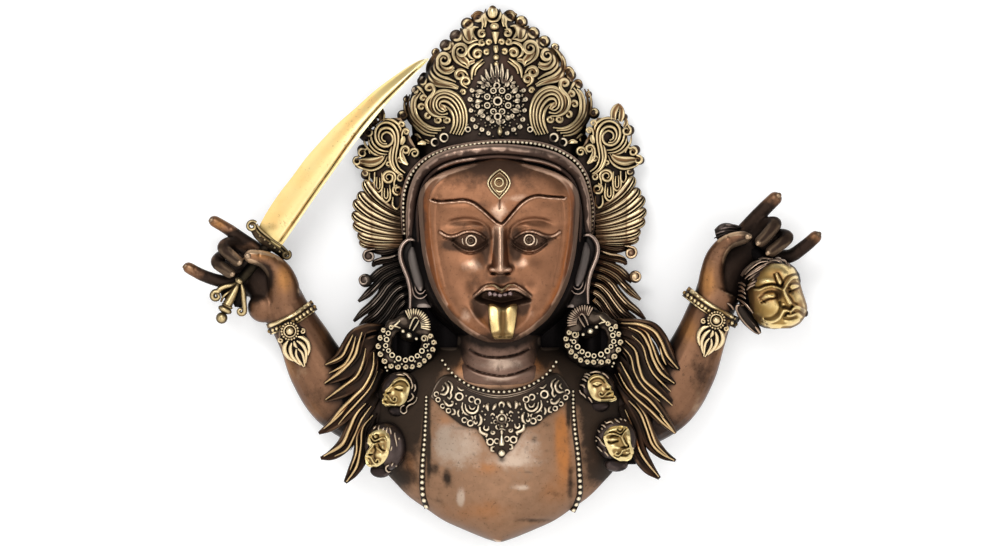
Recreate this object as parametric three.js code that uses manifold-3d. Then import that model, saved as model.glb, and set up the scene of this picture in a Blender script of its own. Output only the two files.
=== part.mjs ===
import * as THREE from 'three';
import { mergeVertices } from 'three/addons/utils/BufferGeometryUtils.js';
import Module from 'manifold-3d';

const wasm = await Module();
wasm.setup();

// Driving sizes in millimetres. X is right, Z is up and -Y points away from the wall.
// The origin is on the flat back of the crown, where the plaque hangs on its wall.
const plaqueHeight = 590;
const holdGap = 0.7;
const bladeThickness = 5;
const gripRadius = 6.5;
const twistRadius = 6.5;
const braceletRadius = 4.6;
const rimBeadRadius = 2.8;
const stringBeadRadius = 2.6;
const lobeRingRadius = 23;
const lobeRingThickness = 6.5;

// Most faces that each piece's skin keeps, and how far it may stray for that, in square millimetres
const mostFaces = { figure: 9000, sword: 420, severedHead: 620 };
const strayLimits = [0.001, 0.01, 0.04, 0.1, 0.2, 0.4];
const smallestTurn = 0.02;

// The carving is drawn in marks, which are shares of the plaque's height: x right, z up, d off the wall.
const markCount = 590;
const mark = plaqueHeight / markCount;
const front = new THREE.Vector3(0, -1, 0);
const place = (x, z, d) => new THREE.Vector3(x, -d, z).multiplyScalar(mark);
const clamp = THREE.MathUtils.clamp;
const lerp = THREE.MathUtils.lerp;

const bronze = new THREE.MeshStandardMaterial({ color: 0x7a4a2c, roughness: 0.42, metalness: 0.9 });
const paleBrass = new THREE.MeshStandardMaterial({ color: 0xd8b66a, roughness: 0.38, metalness: 0.95 });
const goldBrass = new THREE.MeshStandardMaterial({ color: 0xb08a45, roughness: 0.36, metalness: 0.95 });

// A closed solid from a three.js geometry, with its faces turned out
function solid(geometry) {
  geometry.deleteAttribute('normal');
  geometry.deleteAttribute('uv');
  const merged = mergeVertices(geometry, 1e-4);
  const points = merged.attributes.position.array;
  const faces = Uint32Array.from(merged.index.array);
  const [a, b, c] = [new THREE.Vector3(), new THREE.Vector3(), new THREE.Vector3()];
  let volume = 0;
  for (let i = 0; i < faces.length; i += 3) {
    a.fromArray(points, faces[i] * 3);
    b.fromArray(points, faces[i + 1] * 3);
    c.fromArray(points, faces[i + 2] * 3);
    volume += a.dot(b.cross(c));
  }
  if (volume < 0) {
    for (let i = 0; i < faces.length; i += 3) [faces[i], faces[i + 1]] = [faces[i + 1], faces[i]];
  }
  return new wasm.Manifold(new wasm.Mesh({ numProp: 3, vertProperties: points, triVerts: faces }));
}

function reshape(geometry, move) {
  const position = geometry.attributes.position;
  const point = new THREE.Vector3();
  for (let i = 0; i < position.count; i += 1) {
    move(point.fromBufferAttribute(position, i));
    position.setXYZ(i, point.x, point.y, point.z);
  }
  return solid(geometry);
}

const join = (bodies) => bodies.reduce((whole, body) => whole.add(body));

// Twice a triangle's area, along its normal
function turnOf(a, b, c) {
  return new THREE.Vector3().subVectors(b, a).cross(new THREE.Vector3().subVectors(c, a));
}

// Squared distance from a point to a set of planes, kept as the ten terms of a symmetric matrix
function planeTerms(a, b, c) {
  const across = turnOf(a, b, c);
  const area = across.length() / 2;
  const { x, y, z } = across.normalize();
  const w = -across.dot(a);
  const share = Math.min(area, 1);
  return [x * x, x * y, x * z, x * w, y * y, y * z, y * w, z * z, z * w, w * w].map((term) => term * share);
}

function strayFrom([xx, xy, xz, xw, yy, yz, yw, zz, zw, ww], { x, y, z }) {
  const square = xx * x * x + yy * y * y + zz * z * z + ww;
  return square + 2 * (xy * x * y + xz * x * z + yz * y * z + xw * x + yw * y + zw * z);
}

// Joins leave slivers. Edges collapse, least strays first, while the skin stays closed and no face turns over
function thin({ vertProperties, triVerts }, most) {
  const spots = Array.from({ length: vertProperties.length / 3 }, (_, i) => (
    new THREE.Vector3().fromArray(vertProperties, i * 3)
  ));
  const faces = Array.from({ length: triVerts.length / 3 }, (_, i) => [...triVerts.subarray(i * 3, i * 3 + 3)]);
  const touching = spots.map(() => new Set());
  const terms = spots.map(() => new Array(10).fill(0));
  faces.forEach((face, f) => {
    const own = planeTerms(...face.map((v) => spots[v]));
    face.forEach((v) => {
      touching[v].add(f);
      own.forEach((term, i) => { terms[v][i] += term; });
    });
  });
  const neighbours = (v) => new Set([...touching[v]].flatMap((f) => faces[f]).filter((other) => other !== v));

  const planOf = (a, b) => {
    const sum = terms[a].map((term, i) => term + terms[b][i]);
    const middle = new THREE.Vector3().lerpVectors(spots[a], spots[b], 0.5);
    return [spots[a], spots[b], middle]
      .map((spot) => ({ a, b, sum, spot, stray: strayFrom(sum, spot) }))
      .reduce((best, next) => (next.stray < best.stray ? next : best));
  };
  const keepsShape = ({ a, b, spot }) => {
    const shared = [...neighbours(a)].filter((v) => neighbours(b).has(v));
    if (shared.length !== 2) return false;
    const goes = (f) => faces[f].includes(a) && faces[f].includes(b);
    return [...touching[a], ...touching[b]].filter((f) => !goes(f)).every((f) => {
      const before = turnOf(...faces[f].map((v) => spots[v]));
      const after = turnOf(...faces[f].map((v) => (v === a || v === b ? spot : spots[v])));
      const size = after.length();
      return size > smallestTurn && after.dot(before) > 0.5 * size * before.length();
    });
  };
  const collapse = ({ a, b, spot, sum }) => {
    for (const f of [...touching[b]]) {
      if (faces[f].includes(a)) {
        faces[f].forEach((v) => touching[v].delete(f));
        faces[f] = null;
      } else {
        faces[f] = faces[f].map((v) => (v === b ? a : v));
        touching[a].add(f);
      }
    }
    touching[b].clear();
    spots[a] = spot.clone();
    terms[a] = sum;
  };

  let left = faces.length;
  for (const limit of strayLimits) {
    for (let fresh = 1; fresh > 0 && left > most;) {
      fresh = 0;
      const plans = faces.filter(Boolean)
        .flatMap(([a, b, c]) => [[a, b], [b, c], [c, a]])
        .filter(([a, b]) => a < b)
        .map(([a, b]) => planOf(a, b))
        .filter((plan) => plan.stray < limit)
        .sort((one, two) => one.stray - two.stray);
      const moved = new Set();
      for (const plan of plans) {
        if (left <= most) break;
        if (!moved.has(plan.a) && !moved.has(plan.b) && keepsShape(plan)) {
          neighbours(plan.b).forEach((v) => moved.add(v));
          moved.add(plan.a).add(plan.b);
          collapse(plan);
          left -= 2;
          fresh += 1;
        }
      }
    }
  }
  return { spots, faces: faces.filter(Boolean) };
}

// Smooth value along a short list of [key, value] pairs, with keys rising
function profile(pairs) {
  return (key) => {
    const last = pairs.length - 1;
    const at = clamp(key, pairs[0][0], pairs[last][0]);
    const i = clamp(pairs.findIndex(([edge]) => at <= edge), 1, last);
    const slope = (j) => {
      const [low, high] = [pairs[Math.max(j - 1, 0)], pairs[Math.min(j + 1, last)]];
      return (high[1] - low[1]) / (high[0] - low[0]);
    };
    const [[from, first], [to, second]] = [pairs[i - 1], pairs[i]];
    const span = to - from;
    const t = (at - from) / span;
    const bend = slope(i - 1) * span * t * (1 - t) ** 2 - slope(i) * span * t ** 2 * (1 - t);
    return first + (second - first) * t ** 2 * (3 - 2 * t) + bend;
  };
}

// A plate with a flat back: lay(u, v) gives its [x, z], front(x, z, u, v) its depth off the wall
function plate(cols, rows, lay, frontDepth, back = 0) {
  const geometry = new THREE.BoxGeometry(2, 1, 1, cols, 1, rows);
  return reshape(geometry, (point) => {
    const v = point.z + 0.5;
    const [x, z] = lay(point.x, v);
    const d = point.y < 0 ? frontDepth(x, z, point.x, v) : back;
    point.copy(place(x, z, d));
  });
}

// A rod along a route of [x, z, d], with radius(t) in marks, flattened towards the wall by flat
function rod(route, radius, { sides = 6, steps = 8, flat = 1, face = front } = {}) {
  const knots = route.map(([x, z, d]) => place(x, z, d));
  const path = new THREE.CatmullRomCurve3(knots, false, 'centripetal');
  return reshape(new THREE.CylinderGeometry(1, 1, 1, sides, steps), (point) => {
    const t = 0.5 - point.y;
    const along = path.getTangentAt(t);
    const side = new THREE.Vector3().crossVectors(along, face).normalize();
    const rise = new THREE.Vector3().crossVectors(side, along);
    const { x, z } = point;
    const r = radius(t) * mark;
    point.copy(path.getPointAt(t)).addScaledVector(side, x * r).addScaledVector(rise, z * r * flat);
  });
}

// A ball or egg of radii [across, up, off the wall], turned in the plane of the wall
function ball(x, z, d, [across, up, off], { sides = 7, rows = 4, turn = 0 } = {}) {
  const centre = place(x, z, d);
  return reshape(new THREE.SphereGeometry(1, sides, rows), (point) => {
    point.set(point.x * across, -point.y * off, point.z * up).multiplyScalar(mark);
    point.applyAxisAngle(front, -turn).add(centre);
  });
}

const even = (r) => () => r;
const lens = (middle, end) => (t) => lerp(end, middle, Math.sin(Math.PI * t) ** 0.8);
const lock = (r) => (t) => r * lerp(1, 0.16, t ** 1.7) * lerp(0.75, 1, Math.min(1, 4 * t));
const finger = (r) => (t) => r * lerp(1, 0.8, t) * Math.sqrt(1 - 0.75 * clamp((t - 0.82) / 0.18, 0, 1) ** 2);

// Route of a curl around [x, z], from its rim inwards; way is 1 for anticlockwise
function curl(x, z, r, from, turns, way) {
  const count = Math.ceil(turns * 6);
  return Array.from({ length: count + 1 }, (_, i) => {
    const t = i / count;
    const angle = THREE.MathUtils.degToRad(from) + way * turns * t * 2 * Math.PI;
    const reach = r * lerp(1, 0.32, t);
    return [x + reach * Math.cos(angle), z + reach * Math.sin(angle)];
  });
}

// Carving drawn on a carrier: the carrier's depth under each point of the route, less a small sink
function ridge(route, radius, carrier, options = {}, sink = 0) {
  return rod(route.map(([x, z]) => [x, z, carrier(x, z) - sink]), radius, options);
}

// A pointed stud stands for each small curl or roundel
function button(x, z, r, carrier) {
  return ball(x, z, carrier(x, z), [r * 1.1, r * 1.1, r], { sides: 5, rows: 2 });
}

const flip = (route) => route.map(([x, z, d]) => [-x, z, d]);

// Crown: a tall pierced-looking plate with a domed front that leans a little to the left
const crownLean = (z) => -0.05 * Math.max(0, z + 30);
const crownHalf = profile([
  [-80, 92], [-40, 97], [-12, 99], [10, 95], [30, 77], [48, 66], [62, 53], [76, 36], [90, 17], [101, 5],
]);

function crownFront(x, z) {
  const across = clamp(Math.abs(x - crownLean(z)) / crownHalf(z), 0, 1);
  const rise = 1 - 0.58 * clamp((z + 50) / 150, 0, 1) ** 1.2;
  return 16 + 62 * (1 - across ** 2) ** 0.6 * rise;
}

const onCrown = (route) => route.map(([x, z]) => [x + crownLean(z), z]);

// One half of the crown's carving, drawn for the right side; side is 1 or -1
function crownHalfCarving(side) {
  const carrier = (x, z) => crownFront(x, z);
  const draw = (route) => onCrown(route.map(([x, z]) => [side * x, z]));
  const strip = (route, radius, steps) => ridge(draw(route), radius, carrier, { steps, sides: 3 }, 1);
  const bodies = [
    strip([[45, -40], [37, -24], [38, -5], ...curl(60, -7, 20, 150, 1.2, -1)], lens(6, 2), 13),
    strip([[53, -31], [75, -38], [91, -22], [94, -4], [88, 14], [81, 12]], lens(6.6, 2), 7),
    strip([[60, -27], [76, -26], [81, -10], [74, 10]], lens(4, 1.6), 4),
    strip([[38, 16], [52, 21], [65, 25], [72, 38], [67, 50], [60, 57]], lens(5, 1.8), 6),
    strip([[42, 38], [55, 34], [63, 44], ...curl(53, 48, 8, 10, 0.9, 1)], lens(4.6, 1.8), 7),
    strip([[27, 37], [42, 44], [44, 56], ...curl(34, 57, 8, 0, 0.9, 1)], lens(4.6, 1.8), 7),
    strip([[8, 44], [22, 36], [27, 22], [34, 8], [34, -10]], lens(4, 1.8), 5),
    strip([[14, 66], [26, 70], [31, 78]], lens(5, 1.8), 3),
    strip([[6, 82], [15, 68], [28, 70], [30, 80]], lens(4.6, 1.6), 3),
  ];
  const curls = [
    [11, 91, 6.5], [24, 84, 6], [37, 73, 6], [49, 64, 6], [16, 56, 6], [79, 25, 6], [94, 11, 6], [101, -14, 6],
  ];
  for (const [x, z, r] of curls) {
    const [[px, pz]] = draw([[x, z]]);
    bodies.push(button(px, pz, r, (cx, cz) => Math.max(9, carrier(cx, cz) - 1)));
  }
  return bodies;
}

function crown() {
  const [top, bottom] = [101, -78];
  const lay = (u, v) => {
    const z = lerp(bottom, top, v);
    return [crownLean(z) + u * crownHalf(z), z];
  };
  const jewels = [[-7, 96, 6], [-5, 80, 5.5], [1, -40, 4.5]].map(([x, z, r]) => (
    ball(x, z, crownFront(x, z), [r, r * 1.35, r], { sides: 6, rows: 2 })
  ));
  return join([
    plate(6, 7, lay, crownFront),
    ...crownHalfCarving(1),
    ...crownHalfCarving(-1),
    ball(-1, -2, crownFront(-1, -2) - 3, [24, 26, 9], { sides: 8, rows: 4 }),
    ball(-1, -2, crownFront(-1, -2) + 4, [9, 9, 7], { sides: 6, rows: 2 }),
    ...jewels,
  ]);
}

// Side crowns, beside the brow: a lobed plate with a scroll and a flame leaf
function sideCrown(side) {
  const outer = profile([
    [-122, 112], [-108, 128], [-92, 138], [-78, 143], [-64, 150], [-48, 147], [-36, 142], [-27, 130],
  ]);
  const carrier = (x) => lerp(44, 17, clamp((Math.abs(x) - 92) / 58, 0, 1));
  const lay = (u, v) => {
    const z = lerp(-122, -27, v);
    return [side * lerp(86, outer(z), (u + 1) / 2), z];
  };
  const strip = (route, radius, steps) => (
    ridge(side > 0 ? route : flip(route), radius, carrier, { steps, sides: 3 }, 1)
  );
  const buttons = [[140, -32, 5], [151, -58, 5], [153, -68, 4.6], [110, -99, 6], [131, -93, 6], [120, -109, 6]];
  return join([
    plate(1, 6, lay, carrier),
    strip([[104, -76], [111, -56], [109, -38], ...curl(121, -42, 14, 150, 1.1, -1)], lens(5.6, 2), 9),
    strip([[122, -60], [138, -55], [144, -42], [139, -29]], lens(5, 1.6), 3),
    strip([[120, -64], [136, -70], [154, -66]], lens(5, 1.8), 3),
    strip([[104, -82], ...curl(118, -83, 9, 150, 0.9, -1)], lens(4.6, 1.8), 5),
    strip([[131, -36], [136, -24], [134, -6]], (t) => 6.6 * lerp(1, 0.16, t ** 1.5), 3),
    ...buttons.map(([x, z, r]) => button(side * x, z, r, carrier)),
  ]);
}

// Head: a deep block with the rolled hair band and the beaded rim over it
const rimRoute = [[103, -150, 48], [104, -105, 54], [95, -80, 66], [80, -65, 79], [60, -56, 90], [30, -50, 98],
  [0, -47, 101]];
const bandRoute = [[95, -190, 52], [96, -150, 60], [96, -110, 68], [86, -84, 84], [66, -69, 98], [35, -61, 106],
  [0, -58, 109]];
const around = (route) => [...route, ...flip(route.slice(0, -1)).reverse()];

const faceHalf = profile([
  [-266, 9], [-262, 17], [-255, 28], [-243, 41], [-225, 54], [-205, 66], [-180, 79], [-150, 85], [-120, 87],
  [-92, 82], [-76, 68], [-66, 45], [-60, 18],
]);
const faceCrest = profile([
  [-266, 116], [-260, 130], [-250, 138], [-235, 141], [-205, 138], [-160, 135], [-128, 136], [-100, 134],
  [-82, 127], [-68, 115], [-60, 104],
]);

function faceFront(x, z) {
  const across = clamp(Math.abs(x) / faceHalf(z), 0, 1);
  return 58 + (faceCrest(z) - 58) * (1 - across ** 2.5) ** 0.55;
}

function head() {
  const blockHalf = profile([
    [-262, 44], [-235, 74], [-200, 96], [-150, 103], [-105, 102], [-80, 93], [-64, 76], [-54, 52], [-48, 26],
  ]);
  const blockFront = (x, z, u) => lerp(46, 92, (1 - u ** 4) ** 0.5);
  const bodies = [
    plate(4, 6, (u, v) => {
      const z = lerp(-262, -48, v);
      return [u * blockHalf(z), z];
    }, blockFront),
    plate(10, 11, (u, v) => {
      const z = lerp(-266, -60, v);
      return [u * faceHalf(z), z];
    }, faceFront, 40),
    rod(around(rimRoute), even(rimBeadRadius / mark), { sides: 3, steps: 16 }),
    rod(around(bandRoute), lens(10.5, 8), { sides: 4, steps: 10, flat: 0.8 }),
  ];
  return join(bodies);
}

function eye(side) {
  const on = (x, z, lift) => [side * x, z, faceFront(side * x, z) + lift];
  const eyeball = ball(side * 32, -154, faceFront(32, -154) - 4, [17, 8.5, 8], { sides: 8, rows: 3 });
  const iris = ball(side * 32, -153, faceFront(32, -153) + 2.2, [6, 6, 3.4], { sides: 6, rows: 2 });
  const upperLid = [on(12, -160, 0), on(20, -149, 1), on(32, -144, 2), on(46, -147, 1), on(62, -155, -1)];
  const lowerLid = [on(12, -160, 0), on(22, -163, 0), on(34, -164, 1), on(47, -160, 0), on(58, -154, -1)];
  const brow = [on(6, -132, 1), on(15, -121, 1), on(29, -110, 1), on(46, -107, 1), on(73, -109, 0)];
  return [
    eyeball,
    iris,
    rod(upperLid, lens(3.6, 1.6), { sides: 3, steps: 4 }),
    rod(lowerLid, lens(2.6, 1.4), { sides: 3, steps: 3 }),
    rod(brow, lens(2.8, 1.2), { sides: 3, steps: 5 }),
  ];
}

function nose() {
  const half = profile([[-191, 11], [-184, 15], [-172, 9], [-150, 5.5], [-136, 8]]);
  const crest = profile([[-191, 150], [-187, 163], [-180, 164], [-160, 152], [-136, 136]]);
  const lay = (u, v) => {
    const z = lerp(-191, -136, v);
    return [1 + u * half(z), z];
  };
  return plate(4, 5, lay, (x, z, u) => {
    const side = faceFront(x, z) - 2;
    return lerp(Math.max(side, crest(z)), side, Math.abs(u) ** 1.2);
  }, 100);
}

function mouth() {
  const on = (x, z, lift) => [x, z, faceFront(x, z) + lift];
  const upper = [on(-28, -216, -3), on(-14, -206, 5), on(-4, -203, 8), on(4, -205, 7), on(12, -203, 8),
    on(22, -206, 5), on(38, -217, -3)];
  const lower = [on(-26, -218, -4), on(-17, -233, 0), on(0, -243, 2), on(10, -243, 2), on(27, -233, 0),
    on(35, -219, -4)];
  const teeth = plate(2, 1, (u, v) => [2 + u * 15, lerp(-217, -207, v)], () => 141, 120);
  const tongue = plate(4, 4, (u, v) => {
    const z = lerp(-263, -222, v);
    return [3 + u * lerp(11.5, 14.5, v), z];
  }, (x, z, u, v) => lerp(152, 148, v) + 5 * Math.sin(Math.PI * v) - 3 * (1 - u ** 2) + 2 * u ** 2, 118);
  return [
    rod(upper, lens(4.2, 1.4), { sides: 4, steps: 7, flat: 1.1 }),
    rod(lower, lens(3.6, 1.2), { sides: 4, steps: 5 }),
    teeth,
    tongue,
  ];
}

function thirdEye() {
  const on = (z) => faceFront(0, z);
  const drop = plate(2, 4, (u, v) => {
    const z = lerp(-110, -77, v);
    return [0.5 + u * lerp(1.5, 12, Math.sin(Math.PI * clamp(v, 0.02, 0.98)) ** 0.8), z];
  }, (x, z, u) => on(z) + 3.4 - 2 * Math.abs(u), 110);
  return [drop, ball(0.5, -92, on(-92) + 2.5, [6, 6, 4], { sides: 6, rows: 2 })];
}

function face() {
  const cavity = ball(4, -226, 146, [26, 15, 22], { sides: 10, rows: 6 });
  const flesh = join([head(), nose()]).subtract(cavity);
  return join([flesh, ...mouth(), ...thirdEye(), ...eye(1), ...eye(-1)]);
}

// Ears hang long beside the cheeks: a raised loop over a plain inner plate
function ear(side) {
  const rimLine = [[86, -158, 60], [94, -150, 66], [106, -156, 64], [109, -172, 62], [102, -194, 66],
    [98, -213, 70], [90, -216, 70], [87, -204, 66], [90, -184, 58]];
  const innerHalf = profile([[-214, 3], [-200, 6], [-175, 10], [-154, 8]]);
  const inner = plate(1, 2, (u, v) => {
    const z = lerp(-214, -154, v);
    return [side * (97 + (z + 175) * 0.05 + u * innerHalf(z)), z];
  }, () => 58);
  return join([
    rod(side > 0 ? rimLine : flip(rimLine), lens(5, 4), { sides: 4, steps: 9 }),
    inner,
  ]);
}

// Hair: a low mass behind the ears, with feathered plumes above and curling locks below
const massOuter = profile([
  [-312, 146], [-280, 146], [-245, 138], [-205, 126], [-175, 130], [-150, 138], [-120, 144], [-95, 138],
  [-75, 118],
]);
function massDepth(x, z) {
  const outwards = clamp((Math.abs(x) - 60) / 80, 0, 1);
  const downwards = clamp((-z - 200) / 50, 0, 1);
  return lerp(50, 20, outwards) + downwards * 26;
}

function hairMass() {
  return plate(6, 9, (u, v) => {
    const z = lerp(-312, -75, v);
    return [u * massOuter(z), z];
  }, massDepth);
}

function plumes(side) {
  const routes = [
    [[108, -122], [130, -112], [149, -84]],
    [[108, -131], [136, -119], [157, -97]],
    [[108, -138], [139, -128], [162, -108]],
    [[108, -144], [140, -137], [163, -122]],
    [[108, -150], [140, -146], [161, -136]],
    [[108, -156], [137, -155], [155, -151]],
    [[110, -163], [130, -163], [145, -168], [138, -174]],
    [[108, -172], [124, -180], [140, -182]],
    [[108, -180], [124, -192], [140, -192], [151, -196]],
    [[108, -190], [124, -204], [140, -208], [156, -220]],
    [[110, -202], [128, -220], [144, -226], [160, -246]],
  ];
  const width = (t) => {
    const tip = clamp((t - 0.7) / 0.3, 0, 1) ** 1.5;
    return 6 * lerp(0.6, 1, Math.min(1, 2.4 * t)) * lerp(1, 0.42, tip);
  };
  return join(routes.map((route) => {
    const line = side > 0 ? route : route.map(([x, z]) => [-x, z - 3]);
    return ridge(line, width, massDepth, { sides: 3, steps: 3, flat: 1.3 }, 0);
  }));
}

// Shoulder locks fall outwards over the arms
const rightLocks = [
  [[150, -232], [172, -255], [183, -280], [198, -297]],
  [[140, -238], [160, -262], [172, -292], [194, -312]],
  [[134, -246], [152, -275], [162, -302], [192, -332]],
  [[132, -262], [144, -292], [158, -322], [194, -367]],
  [[140, -318], [158, -350], [170, -380], [194, -397]],
  [[138, -330], [150, -366], [160, -396], [177, -416]],
];
const leftLocks = [
  [[-148, -242], [-168, -262], [-174, -280], [-191, -292]],
  [[-140, -246], [-156, -270], [-164, -292], [-192, -312]],
  [[-134, -252], [-147, -282], [-158, -306], [-191, -331]],
  [[-132, -266], [-140, -300], [-154, -326], [-198, -366]],
  [[-138, -318], [-156, -348], [-168, -374], [-196, -394]],
  [[-136, -330], [-150, -362], [-156, -396], [-169, -421]],
];

function shoulderLocks(routes) {
  return join(routes.map((route) => {
    const last = route.length - 1;
    const depth = (i) => lerp(64, 78, Math.sin((Math.PI * i) / last)) - 4 * (i / last);
    return rod(route.map(([x, z], i) => [x, z, depth(i)]), lock(9.5), { sides: 4, steps: 5, flat: 1.15 });
  }));
}

// Bust: neck, chest and shoulders, cut off below in a shallow point
const chestHalf = profile([
  [-485, 4], [-481, 16], [-472, 38], [-462, 60], [-450, 78], [-436, 98], [-420, 114], [-404, 128], [-385, 140],
  [-345, 150], [-310, 140], [-290, 110], [-272, 70],
]);
const chestCrest = profile([
  [-485, 62], [-470, 78], [-430, 96], [-380, 104], [-330, 100], [-300, 92], [-272, 80],
]);

function chestFront(x, z) {
  const across = clamp(Math.abs(x) / chestHalf(z), 0, 1);
  const low = Math.min(52, chestCrest(z) - 6);
  return low + (chestCrest(z) - low) * (1 - across ** 2) ** 0.75;
}

const neckFront = (across) => 56 + 42 * Math.sqrt(clamp(1 - across ** 2, 0, 1));

function bust() {
  const lay = (u, v) => {
    const z = lerp(-485, -272, v ** 1.6);
    return [u * chestHalf(z), z];
  };
  const neckHalf = profile([[-310, 70], [-292, 52], [-275, 45], [-240, 44]]);
  const neck = plate(6, 3, (u, v) => {
    const z = lerp(-310, -240, v);
    return [u * neckHalf(z), z];
  }, (x, z, u) => neckFront(u));
  const folds = [[[-28, -274], [4, -282], [32, -274]], [[-38, -288], [4, -299], [46, -287]]].map((route) => (
    ridge(route, lens(3.6, 1.2), (x) => neckFront(x / 52), { sides: 3, steps: 3 })
  ));
  return join([plate(8, 8, lay, chestFront), neck, ...folds]);
}

// Necklace: a beaded collar over a pointed plate, and the two bead strings at its sides
function necklace() {
  const top = profile([[-68, -300], [-50, -304], [-30, -315], [0, -321], [30, -315], [50, -304], [72, -299]]);
  const bottom = profile([[-72, -331], [-52, -345], [-26, -358], [-14, -374], [3, -392], [18, -374], [32, -358],
    [55, -345], [76, -331]]);
  const on = (x, z) => Math.max(chestFront(x, z), neckFront(x / 60) - 6);
  const collar = plate(10, 2, (u, v) => {
    const x = lerp(-72, 76, (u + 1) / 2);
    return [x, lerp(bottom(x), top(x), v)];
  }, (x, z, u, v) => on(x, z) + 8 - 3 * v, 60);
  const beads = [[-62, -289], [-50, -301], [-32, -313], [0, -321], [33, -313], [52, -301], [64, -290]];
  const roundels = [[-45, -328, 6], [-26, -336, 6], [52, -328, 6], [33, -336, 6], [3, -345, 6], [3, -365, 6],
    [3, -385, 5]];
  const strings = [
    [[-79, -322], [-81, -370], [-84, -425], [-80, -448]],
    [[81, -320], [82, -360], [88, -425], [81, -452]],
  ];
  return join([
    collar,
    ridge(beads, even(rimBeadRadius / mark), (x, z) => on(x, z) + 6, { sides: 3, steps: 9 }),
    ...roundels.map(([x, z, r]) => button(x, z, r, (cx, cz) => on(cx, cz) + 6)),
    ...strings.map((route) => ridge(route, (t) => (stringBeadRadius / mark) * lerp(0.8, 1.2, t), chestFront, {
      sides: 3, steps: 5,
    })),
  ]);
}

// Earrings: a fan over a heavy ring, close against the hair
function earring(x, z) {
  const ringDepth = 70;
  const fan = plate(5, 1, (u, v) => {
    const angle = (Math.PI * (u + 1)) / 2;
    const reach = lerp(4, 21, v);
    return [x * 0.93 - reach * Math.cos(angle), z + 18 + reach * Math.sin(angle)];
  }, () => 76, 40);
  const ring = reshape(
    new THREE.TorusGeometry(lobeRingRadius, lobeRingThickness, 5, 12),
    (point) => point.set(point.x, point.z * 1.2, point.y).add(place(x, z, ringDepth)),
  );
  return join([fan, ring]);
}

// One of the four small heads of the garland, looking outwards and down
function smallHead(x, z, size, side) {
  const depth = 86;
  const at = (dx, dz, off, radii, options) => (
    ball(x + side * dx * size, z + dz * size, depth + off * size, radii.map((r) => r * size), options)
  );
  const moustache = rod([-13, -6, 0, 6, 13].map((way) => (
    [x + (3 * side + way) * size, z - (10 - 0.02 * way ** 2) * size, depth + (17 - 0.05 * way ** 2) * size]
  )), lens(2.6 * size, 1.2 * size), { sides: 3, steps: 4 });
  return join([
    at(0, 0, 0, [17, 21, 17], { sides: 7, rows: 5 }),
    at(-4, 4, -14, [21, 23, 20], { sides: 7, rows: 4 }),
    at(3, -1, 16, [3.4, 7, 5], { sides: 4, rows: 2 }),
    moustache,
  ]);
}

// Arms rise from behind the locks; each wrist carries a bracelet and a leaf plaque
const leftArm = [[-96, -330, 34], [-135, -342, 34], [-172, -328, 34], [-197, -297, 36], [-214, -264, 39],
  [-229, -238, 42], [-240, -219, 42]];
const rightArm = [[96, -330, 34], [140, -344, 34], [180, -330, 34], [205, -297, 36], [221, -262, 39],
  [234, -228, 42], [243, -208, 42]];
const armRadius = profile([[0, 38], [0.25, 40], [0.5, 38], [0.68, 34], [0.85, 28], [1, 24]]);

function arm(route) {
  return rod(route, armRadius, { sides: 10, steps: 8, flat: 0.85 });
}

function bracelet(from, to, depth) {
  const middle = [(from[0] + to[0]) / 2, (from[1] + to[1]) / 2];
  const reach = Math.hypot(to[0] - from[0], to[1] - from[1]) / 2;
  const turn = Math.atan2(to[1] - from[1], to[0] - from[0]);
  const centre = place(middle[0], middle[1], depth);
  const ring = new THREE.TorusGeometry(reach * mark, braceletRadius, 4, 14);
  return reshape(ring, (point) => {
    point.set(point.x, point.y * 0.92, point.z * 1.15);
    point.applyAxisAngle(front, -turn).add(centre);
  });
}

function leafPlaque(x, z, turn, depth) {
  const angle = THREE.MathUtils.degToRad(turn);
  const lay = (u, v) => {
    const along = lerp(9, -40, v);
    const across = u * profile([[0, 3], [0.2, 13], [0.45, 15], [0.75, 9], [1, 1.2]])(v);
    return [x + across * Math.cos(angle) - along * Math.sin(angle), z + across * Math.sin(angle)
      + along * Math.cos(angle)];
  };
  return join([
    plate(2, 4, lay, (px, pz, u, v) => depth - 6 * u ** 2 - 5 * v, depth - 30),
    ball(x, z, depth, [7, 7, 5], { sides: 6, rows: 2 }),
  ]);
}

// The raised fist that grips the sword: palm, three bent fingers and two held out straight
function swordFist() {
  const straight = { sides: 5, steps: 3 };
  const bent = { sides: 5, steps: 4 };
  return join([
    rod([[-232, -234, 42], [-244, -213, 38], [-262, -192, 34], [-276, -176, 34]], lens(27, 22),
      { sides: 8, steps: 4, flat: 0.72 }),
    ball(-263, -224, 42, [18, 17, 17], { sides: 6, rows: 4 }),
    rod([[-268, -172, 42], [-287, -150, 46], [-318, -132, 50]], finger(8.4), straight),
    rod([[-282, -190, 40], [-304, -199, 46], [-348, -180, 50]], finger(8.4), straight),
    rod([[-280, -168, 40], [-298, -158, 54], [-304, -166, 66], [-286, -178, 70]], finger(8.2), bent),
    rod([[-288, -182, 38], [-306, -172, 52], [-312, -182, 63], [-293, -193, 68]], finger(7.8), bent),
    rod([[-230, -196, 46], [-236, -177, 56], [-256, -169, 66], [-284, -170, 72]], finger(8), bent),
  ]);
}

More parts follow.
